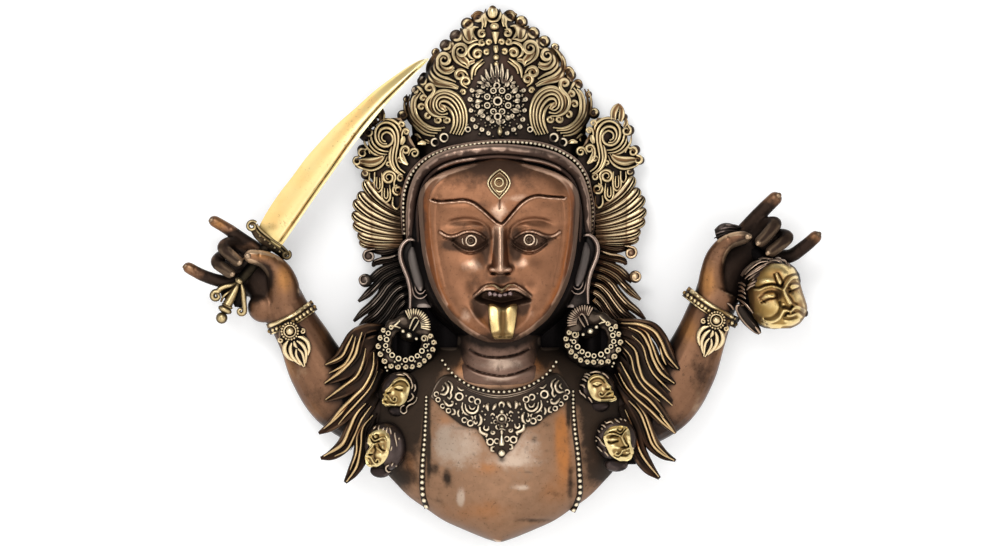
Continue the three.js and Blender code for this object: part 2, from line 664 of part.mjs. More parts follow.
// The other fist, which holds the twisted hair of the severed head
function hairFist() {
  const digit = { sides: 5, steps: 3 };
  return join([
    rod([[238, -216, 42], [246, -196, 40], [262, -174, 36], [284, -158, 36]], lens(26, 22),
      { sides: 8, steps: 4, flat: 0.7 }),
    rod([[268, -152, 42], [284, -130, 46], [309, -103, 50]], finger(9.4), digit),
    rod([[296, -166, 40], [320, -172, 46], [353, -145, 50]], finger(8.8), digit),
    rod([[276, -148, 42], [296, -134, 54], [302, -142, 66], [284, -158, 70]], finger(8.8), digit),
    rod([[288, -158, 40], [310, -148, 52], [315, -156, 62], [298, -169, 67]], finger(8.4), digit),
    rod([[230, -196, 48], [234, -170, 58], [252, -152, 66], [281, -148, 71]], finger(8.4), digit),
  ]);
}

// What the fists hold, drawn with an extra width where a fist is cut for it
function hilt(extra = 0) {
  const grow = extra / mark;
  const grip = even(gripRadius / mark + grow);
  return join([
    rod([[-248, -150, 53], [-270, -186, 53], [-302, -238, 53]], grip, { sides: 6, steps: 2 }),
    rod([[-272, -134, 53], [-262, -146, 54], [-250, -155, 55], [-238, -164, 54], [-231, -169, 53]],
      lens(6 + grow, 7 + grow), { sides: 5, steps: 4 }),
  ]);
}

function headHair(extra = 0) {
  const grow = extra / mark;
  const locks = Array.from({ length: 4 }, (_, i) => {
    const spread = -1 + i / 1.5;
    return rod([[279 + 8 * spread, -220 + 14 * spread, 50], [285 + 12 * spread, -200 + 8 * spread, 58],
      [290 + 3 * spread, -184, 52]], lens(6.5 + grow, 3 + grow), { sides: 4, steps: 2 });
  });
  const twist = rod([[292, -196, 50], [284, -178, 52], [268, -162, 53], [252, -150, 55], [240, -146, 56]],
    even(twistRadius / mark + grow), { sides: 6, steps: 4 });
  const crownOfHair = ball(294, -210, 44, [27 + grow, 32 + grow, 26 + grow], { sides: 8, rows: 4, turn: -0.22 });
  return join([...locks, twist, crownOfHair]);
}

function sword() {
  const outerEdge = new THREE.SplineCurve([[-262, -142], [-240, -103], [-200, -42], [-150, 0], [-110, 31],
    [-76, 46]].map(([x, z]) => new THREE.Vector2(x, z)));
  const innerEdge = new THREE.SplineCurve([[-233, -153], [-200, -105], [-160, -50], [-120, -1], [-100, 20],
    [-77, 44]].map(([x, z]) => new THREE.Vector2(x, z)));
  const bladeDepth = 52;
  const half = bladeThickness / mark / 2;
  const lay = (u, v) => {
    const [left, right] = [outerEdge.getPointAt(v), innerEdge.getPointAt(v)];
    return [lerp(left.x, right.x, (u + 1) / 2), lerp(left.y, right.y, (u + 1) / 2)];
  };
  const bevel = (u) => (u > 0.9 ? 0.8 : lerp(0.15, 1, (u + 1) / 1.5));
  const blade = plate(2, 14, lay, (x, z, u) => bladeDepth + half * bevel(u), bladeDepth - half);
  return join([
    blade,
    hilt(),
    rod([[-291, -216, 53], [-308, -214, 53], [-312, -224, 53]], lens(5, 3), { sides: 5, steps: 3 }),
    rod([[-296, -226, 53], [-286, -236, 53], [-281, -234, 53]], lens(5, 3), { sides: 5, steps: 3 }),
    ball(-303, -240, 53, [8, 8, 8], { sides: 6, rows: 3 }),
  ]);
}

function severedHead() {
  const [x, z, d] = [305, -216, 50];
  const tilt = THREE.MathUtils.degToRad(12.6);
  const at = (dx, dz, off, radii, options = {}) => ball(
    x + dx * Math.cos(tilt) + dz * Math.sin(tilt),
    z - dx * Math.sin(tilt) + dz * Math.cos(tilt),
    d + off,
    radii,
    { ...options, turn: -tilt },
  );
  return join([
    at(4, 0, 4, [29, 32, 30], { sides: 9, rows: 6 }),
    at(6, -5, 33, [5, 10, 7], { sides: 6, rows: 2 }),
    at(-8, 3, 29, [9, 3.6, 5], { sides: 6, rows: 2 }),
    at(20, 3, 27, [9, 3.6, 5], { sides: 6, rows: 2 }),
    at(7, -21, 29, [9, 3.4, 5], { sides: 6, rows: 2 }),
    at(-4, -15, 30, [10, 2.6, 4], { sides: 6, rows: 2 }),
    at(18, -15, 29, [10, 2.6, 4], { sides: 6, rows: 2 }),
    at(-26, -8, 4, [5, 13, 6], { sides: 6, rows: 2 }),
    headHair(),
    rod([[246, -147, 54], [238, -148, 58], [233, -154, 58]], lens(8, 6), { sides: 7, steps: 4 }),
  ]);
}

function figure() {
  const bodies = [
    crown(),
    sideCrown(1),
    sideCrown(-1),
    hairMass(),
    plumes(1),
    plumes(-1),
    face(),
    ear(1),
    ear(-1),
    bust(),
    necklace(),
    shoulderLocks(rightLocks),
    shoulderLocks(leftLocks),
    earring(-101, -265),
    earring(102, -264),
    smallHead(-110, -324, 1, -1),
    smallHead(-128, -386, 1.15, -1),
    smallHead(108, -320, 0.95, 1),
    smallHead(127, -376, 1.1, 1),
    arm(leftArm),
    arm(rightArm),
    bracelet([-252, -252], [-203, -225], 42),
    bracelet([205, -210], [262, -245], 42),
    leafPlaque(-228, -254, 22, 78),
    leafPlaque(238, -242, -18, 78),
    swordFist().subtract(hilt(holdGap)),
    hairFist().subtract(headHair(holdGap)),
  ];
  return join(bodies);
}

function meshOf(name, body, material, most) {
  const { spots, faces } = thin(body.getMesh(), most);
  const geometry = new THREE.BufferGeometry().setFromPoints(spots);
  geometry.setIndex(faces.flat());
  const merged = mergeVertices(geometry, 1e-4);
  merged.computeVertexNormals();
  const mesh = new THREE.Mesh(merged, material);
  mesh.name = name;
  return mesh;
}

const plaque = new THREE.Group();
plaque.name = 'kali_plaque';
plaque.add(meshOf('figure', figure(), bronze, mostFaces.figure));
plaque.add(meshOf('sword', sword(), paleBrass, mostFaces.sword));
plaque.add(meshOf('severed_head', severedHead(), goldBrass, mostFaces.severedHead));

export default plaque;
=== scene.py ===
import math

import bpy
import numpy as np
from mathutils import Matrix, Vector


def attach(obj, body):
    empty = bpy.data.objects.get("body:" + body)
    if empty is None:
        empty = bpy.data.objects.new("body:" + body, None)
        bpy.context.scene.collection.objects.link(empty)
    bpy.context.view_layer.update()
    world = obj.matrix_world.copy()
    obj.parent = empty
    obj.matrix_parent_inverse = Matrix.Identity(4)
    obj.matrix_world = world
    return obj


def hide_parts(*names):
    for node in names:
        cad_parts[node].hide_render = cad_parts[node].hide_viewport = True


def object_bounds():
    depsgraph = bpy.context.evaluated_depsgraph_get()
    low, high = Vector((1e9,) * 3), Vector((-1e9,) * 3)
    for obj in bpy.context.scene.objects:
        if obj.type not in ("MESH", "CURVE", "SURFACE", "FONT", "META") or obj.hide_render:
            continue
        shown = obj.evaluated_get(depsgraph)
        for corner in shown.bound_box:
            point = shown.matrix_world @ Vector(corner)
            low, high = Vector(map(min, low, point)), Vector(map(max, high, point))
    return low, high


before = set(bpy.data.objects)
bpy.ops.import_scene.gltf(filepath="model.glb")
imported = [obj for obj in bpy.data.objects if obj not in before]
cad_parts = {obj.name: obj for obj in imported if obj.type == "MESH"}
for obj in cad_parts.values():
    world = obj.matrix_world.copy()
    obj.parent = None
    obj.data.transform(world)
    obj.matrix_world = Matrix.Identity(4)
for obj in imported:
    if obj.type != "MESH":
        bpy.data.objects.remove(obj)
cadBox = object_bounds()
print("frame loaded")

# Marks are millimetres on the plaque: x right, z up, d off the wall. Blender works in metres.
mark = 0.001
smoothAngle = 60  # degrees between faces up to which they shade as one surface
pieces = {}


def clamp(value, low=0.0, high=1.0):
    return np.clip(value, low, high)


def lerp(a, b, t):
    return a + (b - a) * t


def ramp(value, low, high):
    t = clamp((value - low) / (high - low))
    return t * t * (3 - 2 * t)


def bell(x, z, cx, cz, rx, rz):
    return np.exp(-(((x - cx) / rx) ** 2) - ((z - cz) / rz) ** 2)


def along(*pairs):
    # smooth value between a few [key, value] pairs, with keys rising
    keys, values = np.array(pairs, float).T
    before = np.r_[0, np.arange(len(keys) - 1)]
    after = np.r_[np.arange(1, len(keys)), len(keys) - 1]
    slopes = (values[after] - values[before]) / (keys[after] - keys[before])

    def at(key):
        key = np.clip(key, keys[0], keys[-1])
        i = np.clip(np.searchsorted(keys, key) - 1, 0, len(keys) - 2)
        span = keys[i + 1] - keys[i]
        t = (key - keys[i]) / span
        bend = slopes[i] * span * t * (1 - t) ** 2 - slopes[i + 1] * span * t * t * (1 - t)
        return values[i] + (values[i + 1] - values[i]) * t * t * (3 - 2 * t) + bend

    return at


def smoothLine(knots, step):
    # points about one step apart on a smooth line through a few chosen ones; further columns run along
    knots = np.array(knots, float)
    ends = np.vstack([2 * knots[0] - knots[1], knots, 2 * knots[-1] - knots[-2]])
    gaps = np.sqrt(np.linalg.norm(np.diff(ends[:, :2], axis=0), axis=1)) + 1e-6
    line = []
    for i in range(len(knots) - 1):
        a, b, c, d = ends[i:i + 4]
        count = max(2, round(gaps[i + 1] ** 2 / step))
        t = np.linspace(0, 1, count + 1)[:-1, None]
        lead = ((b - a) / gaps[i] - (c - a) / (gaps[i] + gaps[i + 1]) + (c - b) / gaps[i + 1]) * gaps[i + 1]
        tail = ((c - b) / gaps[i + 1] - (d - b) / (gaps[i + 1] + gaps[i + 2]) + (d - c) / gaps[i + 2])
        tail = tail * gaps[i + 1]
        line.append(
            b + lead * t + (3 * (c - b) - 2 * lead - tail) * t ** 2 + (2 * (b - c) + lead + tail) * t ** 3
        )
    line.append(knots[-1:])
    return np.vstack(line)


def curl(x, z, r, start, turns, way=-1, inner=0.3):
    # a curl from its rim inwards; way is 1 anticlockwise and -1 clockwise, start in degrees
    t = np.linspace(0, 1, max(5, math.ceil(turns * 9)))
    angle = math.radians(start) + way * turns * t * 2 * math.pi
    reach = r * lerp(1, inner, t)
    return [(x + a * math.cos(b), z + a * math.sin(b)) for a, b in zip(reach, angle)]


def stroke(width, knots, start=0.35, end=0.5, step=1.3):
    # a carved line: its smoothed points with a half width that swells from start and narrows to end
    line = smoothLine([k[:2] for k in knots], step)
    run = np.r_[0, np.cumsum(np.linalg.norm(np.diff(line, axis=0), axis=1))]
    t = run / run[-1]
    swell = lerp(start, 1, ramp(t, 0, 0.3)) * lerp(1, end, ramp(t, 0.7, 1))
    return np.column_stack([line, width * swell])


def leaf(knots, step=1.3):
    # a stroke whose half width is given at each of its points
    return smoothLine(knots, step)


def flipped(strokes, lean, shift=0.0, drop=0.0):
    # the other half of a pair of carvings, about an axis that leans to the left
    out = []
    for line in strokes:
        x, z, width = np.array(line, float).T
        high = np.maximum(0, z + 30)
        share = clamp(high / 60)
        out.append(np.column_stack([-x - 2 * lean * high - shift, z - 2 * lean * x * share - drop, width]))
    return out


def deselect():
    bpy.ops.object.select_all(action="DESELECT")


def pick(*things):
    deselect()
    for thing in things:
        thing.select_set(True)
    bpy.context.view_layer.objects.active = things[0]
    return things[0]


def spotsOf(thing):
    spots = np.zeros(len(thing.data.vertices) * 3, np.float32)
    thing.data.vertices.foreach_get("co", spots)
    return spots.reshape(-1, 3).astype(float)


def moveSpots(thing, spots):
    thing.data.vertices.foreach_set("co", np.ascontiguousarray(spots, np.float32).ravel())
    thing.data.update()


def place(x, z, d):
    return np.column_stack([x, -d * np.ones_like(x), z]) * mark


def joined(name, things):
    pick(*things)
    if len(things) > 1:
        bpy.ops.object.join()
    piece = bpy.context.object
    piece.name = name
    piece.data.name = name
    return piece


def done(piece, finish):
    # a finished piece is smooth shaded and kept under its name, with the name of its finish
    pick(piece)
    bpy.ops.object.shade_smooth_by_angle(angle=math.radians(smoothAngle))
    pieces[piece.name] = (piece, finish)
    return piece


# Sections of the carved ridges: across the ridge, and up from the ground, in half widths
sections = {
    "round": [
        (-1, -1.4), (-1, -0.1), (-0.86, 0.5), (-0.5, 0.95), (0, 1.12), (0.5, 0.95), (0.86, 0.5), (1, -0.1),
        (1, -1.4)],
    "double": [
        (-1, -1), (-1, 0.0), (-0.82, 0.44), (-0.52, 0.56), (-0.24, 0.4), (0, 0.1), (0.24, 0.4), (0.52, 0.56),
        (0.82, 0.44), (1, 0.0), (1, -1)],
    "leaf": [
        (-1, -1), (-1, 0.0), (-0.84, 0.42), (-0.62, 0.46), (-0.35, 0.28), (0, 0.2), (0.35, 0.28),
        (0.62, 0.46), (0.84, 0.42), (1, 0.0), (1, -1)],
    "swell": [
        (-1, -0.7), (-1, 0.0), (-0.8, 0.28), (-0.45, 0.46), (0, 0.52), (0.45, 0.46), (0.8, 0.28), (1, 0.0),
        (1, -0.7)],
    "plume": [
        (-1, -1), (-1, 0.05), (-0.88, 0.36), (-0.72, 0.42), (-0.58, 0.16), (-0.5, 0.2), (-0.38, 0.42),
        (-0.24, 0.42), (-0.14, 0.2), (0, 0.3), (0.3, 0.46), (0.62, 0.42), (0.86, 0.22), (1, -0.1), (1, -1)],
    "hair": [
        (-1, -1), (-1, 0.0), (-0.84, 0.34), (-0.66, 0.3), (-0.5, 0.12), (-0.34, 0.42), (-0.12, 0.5),
        (0.06, 0.24), (0.24, 0.46), (0.46, 0.42), (0.6, 0.1), (0.74, 0.26), (0.88, 0.2), (1, -0.1), (1, -1)]
}


def curveOf(lines, cyclic=False, section=None):
    # a curve object drawn flat, one line for each row of [x, y, half width] points
    deselect()
    bpy.ops.curve.primitive_bezier_curve_add()
    drawn = bpy.context.object
    data = drawn.data
    data.splines.clear()
    data.dimensions = "2D"
    data.fill_mode = "NONE"
    for line in lines:
        spline = data.splines.new("POLY")
        spline.points.add(len(line) - 1)
        flat = np.column_stack([line[:, :2], np.zeros(len(line)), np.ones(len(line))])
        spline.points.foreach_set("co", flat.astype(np.float32).ravel())
        if line.shape[1] > 2:
            spline.points.foreach_set("radius", line[:, 2].astype(np.float32))
        spline.use_cyclic_u = cyclic
    if section:
        data.bevel_mode = "OBJECT"
        data.bevel_object = section
        data.use_fill_caps = True
    return drawn


def carve(lines, kind, carrier, lift, height):
    # carved ridges of one section, laid over a carrier's depth
    outline = curveOf([np.array(sections[kind]) * [1, height]], cyclic=True)
    drawn = curveOf(lines, section=outline)
    pick(drawn)
    bpy.ops.object.convert(target="MESH")
    ridges = bpy.context.object
    bpy.ops.object.mode_set(mode="EDIT")
    bpy.ops.mesh.select_all(action="SELECT")
    bpy.ops.mesh.remove_doubles(threshold=0.0005)
    bpy.ops.mesh.normals_make_consistent(inside=False)
    bpy.ops.object.mode_set(mode="OBJECT")
    x, z, up = spotsOf(ridges).T
    moveSpots(ridges, place(x, z, carrier(x, z) + lift + up))
    bpy.data.objects.remove(outline)
    return ridges


def sheet(cols, rows, lay, back=0.0):
    # a closed plate: its front follows lay(u, v), which gives x, z, d, and its back is flat at one depth
    deselect()
    bpy.ops.mesh.primitive_grid_add(x_subdivisions=cols, y_subdivisions=rows, size=2)
    plate = bpy.context.object
    u, v, _ = spotsOf(plate).T
    x, z, d = lay(u, (v + 1) / 2)
    moveSpots(plate, place(x, z, d))
    bpy.ops.object.mode_set(mode="EDIT")
    bpy.ops.mesh.select_mode(type="EDGE")
    bpy.ops.mesh.select_all(action="DESELECT")
    bpy.ops.mesh.select_non_manifold()
    bpy.ops.mesh.extrude_edges_move()
    bpy.ops.object.mode_set(mode="OBJECT")
    chosen = np.zeros(len(plate.data.vertices), bool)
    plate.data.vertices.foreach_get("select", chosen)
    spots = spotsOf(plate)
    spots[chosen, 1] = -back * mark
    moveSpots(plate, spots)
    bpy.ops.object.mode_set(mode="EDIT")
    bpy.ops.mesh.edge_face_add()
    bpy.ops.mesh.select_all(action="SELECT")
    bpy.ops.mesh.normals_make_consistent(inside=False)
    bpy.ops.object.mode_set(mode="OBJECT")
    return plate


def pattern(kind, **sizes):
    # a small part that is modelled once, lying in the drawing plane with its height up
    deselect()
    getattr(bpy.ops.mesh, "primitive_" + kind + "_add")(**sizes)
    made = bpy.context.object
    spots = spotsOf(made)
    faces = [tuple(face.vertices) for face in made.data.polygons]
    bpy.data.objects.remove(made)
    return spots, faces


def copies(shape, rows):
    # copies of a small part, one for each row of x, z, d, size across, size up, height and turn in degrees
    spots, faces = shape
    verts = []
    polys = []
    for x, z, d, wide, tall, high, turn in rows:
        c, s = math.cos(math.radians(turn)), math.sin(math.radians(turn))
        a, b = spots[:, 0] * wide, spots[:, 1] * tall
        polys += [tuple(i + len(verts) * len(spots) for i in face) for face in faces]
        verts.append(place(x + a * c - b * s, z + a * s + b * c, d + spots[:, 2] * high))
    mesh = bpy.data.meshes.new("copies")
    mesh.from_pydata(np.vstack(verts).tolist(), [], polys)
    made = bpy.data.objects.new("copies", mesh)
    bpy.context.scene.collection.objects.link(made)
    return made


ballShape = pattern("ico_sphere", subdivisions=2, radius=1)
ballShapeFine = pattern("uv_sphere", segments=20, ring_count=12, radius=1)
ringShape = pattern("torus", major_segments=16, minor_segments=6, major_radius=1, minor_radius=0.32)
ringFine = pattern("torus", major_segments=28, minor_segments=8, major_radius=1, minor_radius=0.17)


def depthAt(carrier, x, z):
    return float(np.asarray(carrier(np.array([float(x)]), np.array([float(z)])))[0])


def bead(x, z, depth, size, tall=1.0, high=1.0):
    return (x, z, depthAt(depth, x, z), size, size * tall, size * high, 0)


def beadRow(route, radius, spacing, depth, ends=(1, 1)):
    # beads in a row along a smooth line, with a size that may grow from one end to the other
    line = smoothLine(route, 0.5)
    run = np.r_[0, np.cumsum(np.linalg.norm(np.diff(line[:, :2], axis=0), axis=1))]
    rows = []
    at = 0
    while at < run[-1]:
        size = radius * lerp(ends[0], ends[1], at / run[-1])
        x, z = np.interp(at, run, line[:, 0]), np.interp(at, run, line[:, 1])
        rows.append((x, z, depthAt(depth, x, z), size, size, size, 0))
        at += spacing * lerp(ends[0], ends[1], at / run[-1])
    return rows


# Crown: a tall plate with a domed front, carved all over with curls and leaves
crown = {
    "halfWidth": along(
        [-80, 92], [-40, 95], [-12, 97], [10, 93], [30, 74], [48, 64], [62, 51], [76, 34], [90, 15],
        [101, 4]),
    "lean": 0.045, "top": 100, "bottom": -78, "cells": (100, 100), "rise": 60, "edge": 14
}


def crownAxis(z):
    return -0.05 * np.maximum(0, z + 30)


def crownDepth(x, z):
    half = crown["halfWidth"](z) + 3
    across = clamp(np.abs(x - crownAxis(z)) / half, 0, 0.995)
    fall = 1 - 0.58 * clamp((z + 50) / 150) ** 1.2
    return crown["edge"] + crown["rise"] * (1 - across ** 2) ** 0.6 * fall


def crownCurls():
    # the right half's carving, as strokes on the drawing plane
    line = [
        stroke(1.6, [(9, 78), (7.2, 84), (7.6, 89)] + curl(12.3, 91, 5, 185, 1.35)),
        stroke(1.4, [(5.4, 80), (4.2, 86), (5, 92), (9, 96.6), (14, 97), (18.4, 93.6)], 0.6, 0.6),
        stroke(1.5, [(16.5, 87), (18.6, 89)] + curl(24, 84.6, 5, 140, 1.3)),
        stroke(1.3, [(16.5, 80), (19.6, 76), (18.6, 71), (15, 66.5)]),
        stroke(1.4, [(13.4, 66.2), (19, 66.2), (24.4, 64.6), (29, 67.6), (30.6, 73), (31.6, 79)]),
        stroke(1.3, [(12.6, 80.4), (18, 81), (22, 79), (27, 78.4), (32, 80.6)]),
        stroke(1.6, [(31.6, 66)] + curl(37, 72.4, 6, 215, 1.45)),
        stroke(1.5, [(44.4, 57.6)] + curl(49, 63.6, 5.6, 215, 1.4)),
        stroke(1.3, [(46.5, 69), (42.6, 66.4), (41.8, 61.4), (44.6, 57), (50, 55.6)]),
        stroke(1.7, [
            (40, 16.4), (46, 20.4), (53, 23), (60, 26), (66, 31), (69.4, 37.6), (68.6, 45), (64.6, 52),
            (59.4, 57)] + curl(61.6, 58.6, 3, 200, 1.1)),
        stroke(1.6, [
            (60, 19.6), (65.6, 23), (70, 28.6), (72.2, 35), (71.8, 42), (68.8, 49), (65, 55)], 0.4, 0.3),
        stroke(1.5, [
            (42.6, 22.6), (50, 27), (57, 30), (62.4, 34.6), (65, 40.6), (63.8, 47), (60, 53)], 0.4, 0.3),
        stroke(1.8, [(43, 36), (49, 33.2), (56, 35), (60.8, 41)] + curl(53, 48.6, 8, -15, 1.45, 1)),
        stroke(1.3, [(44, 41), (50, 38.6), (55, 40.4), (57.6, 45.6), (57, 50)], 0.4, 0.4),
        stroke(1.8, [(27.4, 36.6), (34, 40.6), (40, 46), (42.6, 53)] + curl(34, 56.4, 8.6, -10, 1.5, 1)),
        stroke(1.3, [(28.6, 41), (34.6, 45), (38.4, 50.4), (39.2, 56)], 0.4, 0.4),
        stroke(1.6, curl(16, 51.4, 5.2, 170, 1.45)),
        stroke(1.6, [(19.6, 45.2), (24.8, 49), (26.2, 55), (22.4, 60.4), (15.8, 62.4), (13, 60.6)]),
        stroke(1.3, curl(9.2, 73, 4.6, 130, 1.3)), stroke(1.2, curl(10, 63, 3.6, 110, 1.2)),
        stroke(1.2, curl(2.8, 63, 3.2, 200, 1.3)), stroke(1.2, curl(6, 52.6, 3.2, 150, 1.3)),
        stroke(1.5, [(11, 45), (17, 41), (22, 36.6), (24.2, 31), (25, 24.6)]),
        stroke(1.1, [(9.6, 42), (15, 38.4), (19.4, 34.4), (21, 29)]),
        stroke(1.6, [(28, 26.6), (30.4, 32)] + curl(37, 30, 6, 130, 1.4)),
        stroke(1.6, [(30.6, 14.6), (35.6, 18.6)] + curl(31.6, 22.4, 5.2, 0, 1.35, 1)),
        stroke(1.2, curl(35.8, 10, 3.2, 0, 1.2, 1)),
        stroke(2.0, [
            (53, -20.4), (57, -18.4), (65, -17.8), (72, -14.6), (76, -8.6), (77.3, -2), (75, 4), (70, 9),
            (67, 14)] + curl(72, 18, 5, 190, 1.35)),
        stroke(1.4, [(76.4, 3)] + curl(79.8, 6, 3.6, 190, 1.3)),
        stroke(1.4, [(77.6, -7)] + curl(83, -5, 4.1, 190, 1.3)),
        stroke(1.4, [(72, -14)] + curl(76.6, -16.6, 3.9, 150, 1.3)),
        stroke(1.4, [(69.6, -18)] + curl(66, -21.6, 3.9, 30, 1.3)),
        stroke(1.4, [(59.6, -18)] + curl(56, -21.8, 3.9, 30, 1.3)),
        stroke(1.6, [(78, 10), (81, 16)] + curl(86.8, 17.4, 4.2, 165, 1.25)),
        stroke(1.4, [(71.6, 27), (72.4, 33), (77, 35.4), (81.2, 31), (82, 25)]),
        stroke(1.5, [(83, -45), (87, -41.4)] + curl(92, -43, 4.8, 150, 1.35)),
        stroke(1.5, [(99.6, -21)] + curl(104, -14.6, 5, 190, 1.4))
    ]
    # the great scroll: ridges run up its left side, over the top and into its eye
    great = [
        [
            (41, -39), (36.2, -29), (34.4, -17), (36, -5), (41.4, 5.4), (49.6, 11.8), (58, 13.6),
            (66.4, 10.6), (71.6, 4), (73.2, -4), (71.4, -11.4), (66.4, -15)],
        [
            (44, -39), (39.4, -29), (37.8, -17), (39.6, -5.6), (44.6, 3.6), (51.4, 9), (58, 10.4),
            (64.8, 7.6), (68.8, 1.4), (69.8, -5.4), (67.6, -11.6), (62, -15.2), (55.4, -14.4)],
        [
            (47, -38.6), (42.8, -29), (41.2, -18), (43, -7.4), (47.6, 0.8), (53, 5), (59, 6.2), (64.2, 3.2),
            (66.4, -2.6), (65, -8.6), (60.4, -11.8), (55.4, -9.6)],
        [
            (50.2, -38), (46.4, -29), (44.8, -19), (46.6, -9.6), (51, -2.6), (56, 0.8), (60.6, 0.4),
            (63, -3.4), (61.6, -7.6), (58.6, -8.2)],
        [(53.6, -37), (50, -29), (48.6, -20), (50.4, -12), (53.6, -7.4), (57, -5)]
    ]
    band = [
        [(97.6, 12), (100.2, 5), (101.2, -5), (99.8, -15), (95.6, -25), (88.6, -33), (80, -38.4), (71, -40)],
        [(94, 12), (96.8, 4), (97.8, -5), (96.4, -14.6), (92.4, -23.4), (86, -30.4), (78, -35.4), (68, -37)],
        [
            (85.6, 12), (90.6, 8), (93.2, 1), (94, -6.4), (92.8, -15), (88.8, -22.8), (82.6, -29), (75, -33),
            (64, -34)],
        [
            (82, 13), (86.6, 7), (89.4, 0), (90, -8), (88.6, -16), (84.6, -23.2), (78.6, -28.6), (70, -31.6),
            (60, -31)]
    ]
    line += [stroke(1.75, knots, 0.5, 0.5) for knots in great]
    line += [stroke(1.75, knots, 0.4, 0.4) for knots in band]
    return line


def crownLeaves():
    return [
        leaf([(24, 80.6, 7.4), (24, 76, 6), (23.6, 71, 4.6), (23, 66, 1.6)]),
        leaf([(41, 14.6, 1), (48, 17.6, 2), (56, 20, 3), (63, 22, 3.4), (69, 27, 2.6), (72, 33, 1)]),
        leaf([(27.6, 38, 1), (28.4, 42.6, 3), (32, 47, 4), (35.8, 52, 2.6)]),
        leaf([(20, 43.4, 1.6), (25, 42.4, 2.4), (29, 38.4, 1)]),
        leaf([(43, 39, 1), (48, 36.6, 2.2), (53, 36.6, 2.2), (57.6, 39.4, 1.4)]),
        leaf([(80, 20, 1.4), (79, 26, 4), (76, 31.6, 3.6), (74, 34.4, 1)]),
        leaf([(57, -10, 1.4), (59.4, -6.4, 3), (62, -4.4, 2)]),
        leaf([(76, -47.4, 1.2), (80, -46, 2.4), (84.4, -46.2, 1)]),
        leaf([(88, 10, 1), (91.4, 4, 1.8), (93.6, -2, 1)]),
    ]


def crownRoundel():
    # the round ornament at the crown's middle: rings, beads and petals about one centre
    cx, cz = -1.4, -2
    rings = [(cx, cz, 4.2), (cx, cz - 17, 3.4), (cx - 1, cz + 17, 3)]
    beads = []
    petals = []
    for count, reach, size in ((14, 7, 0.85), (22, 17.6, 1.05), (30, 27.4, 0.9)):
        for i in range(count):
            a = 2 * math.pi * i / count
            beads.append((cx + reach * math.cos(a), cz + reach * math.sin(a), size))
    for i in range(8):
        a = 2 * math.pi * (i + 0.5) / 8
        rings.append((cx + 12.4 * math.cos(a), cz + 12.4 * math.sin(a), 2.9))
        beads.append((cx + 12.4 * math.cos(a), cz + 12.4 * math.sin(a), 1.1))
    for i in range(12):
        a = 2 * math.pi * i / 12
        root, tip = 18.6, 26 if i % 2 else 24
        petals.append(leaf([
            (cx + r * math.cos(a + s), cz + r * math.sin(a + s), w) for r, w, s in (
                (root, 1.4, 0), (22, 3, 0.03), (tip, 1, 0.08))
        ]))
        b = a + math.pi / 12
        petals.append(stroke(0.9, curl(
            cx + 23 * math.cos(b), cz + 23 * math.sin(b), 2.4, math.degrees(b), 1.3)))
    for i, (x, top, wide) in enumerate((
            (0, 42, 2.4), (6, 39, 2.2), (12, 33, 2), (17, 26, 1.8), (21, 19, 1.6))):
        for side in (-1, 1) if i else (1,):
            root = (cx + side * x * 0.72, cz + 18.6)
            petals.append(leaf([
                (root[0], root[1] + (5 - i), 0.9),
                (cx - 0.6 + side * x * 0.9, (top + 18) / 2, wide),
                (cx - 1.4 + side * x, top, 0.8)
            ]))
    for side in (-1, 1):
        for x, z, r in (
                (27, -22, 2.6), (24, -30, 2.4), (17, -33, 2.4), (10, -37, 2.2), (29, -12, 2.2), (30, 0, 2.4),
                (28, 10, 2.2)):
            petals.append(stroke(0.9, curl(cx + side * x, z, r, 90, 1.3, -side)))
        for x, z in (
                (21, -27), (13, -29), (6, -31), (24, -17), (28, -6), (27, 5), (33, -28), (5, -41),
                (20, -38)):
            beads.append((cx + side * x, z, 1.1))
    return rings, beads, petals


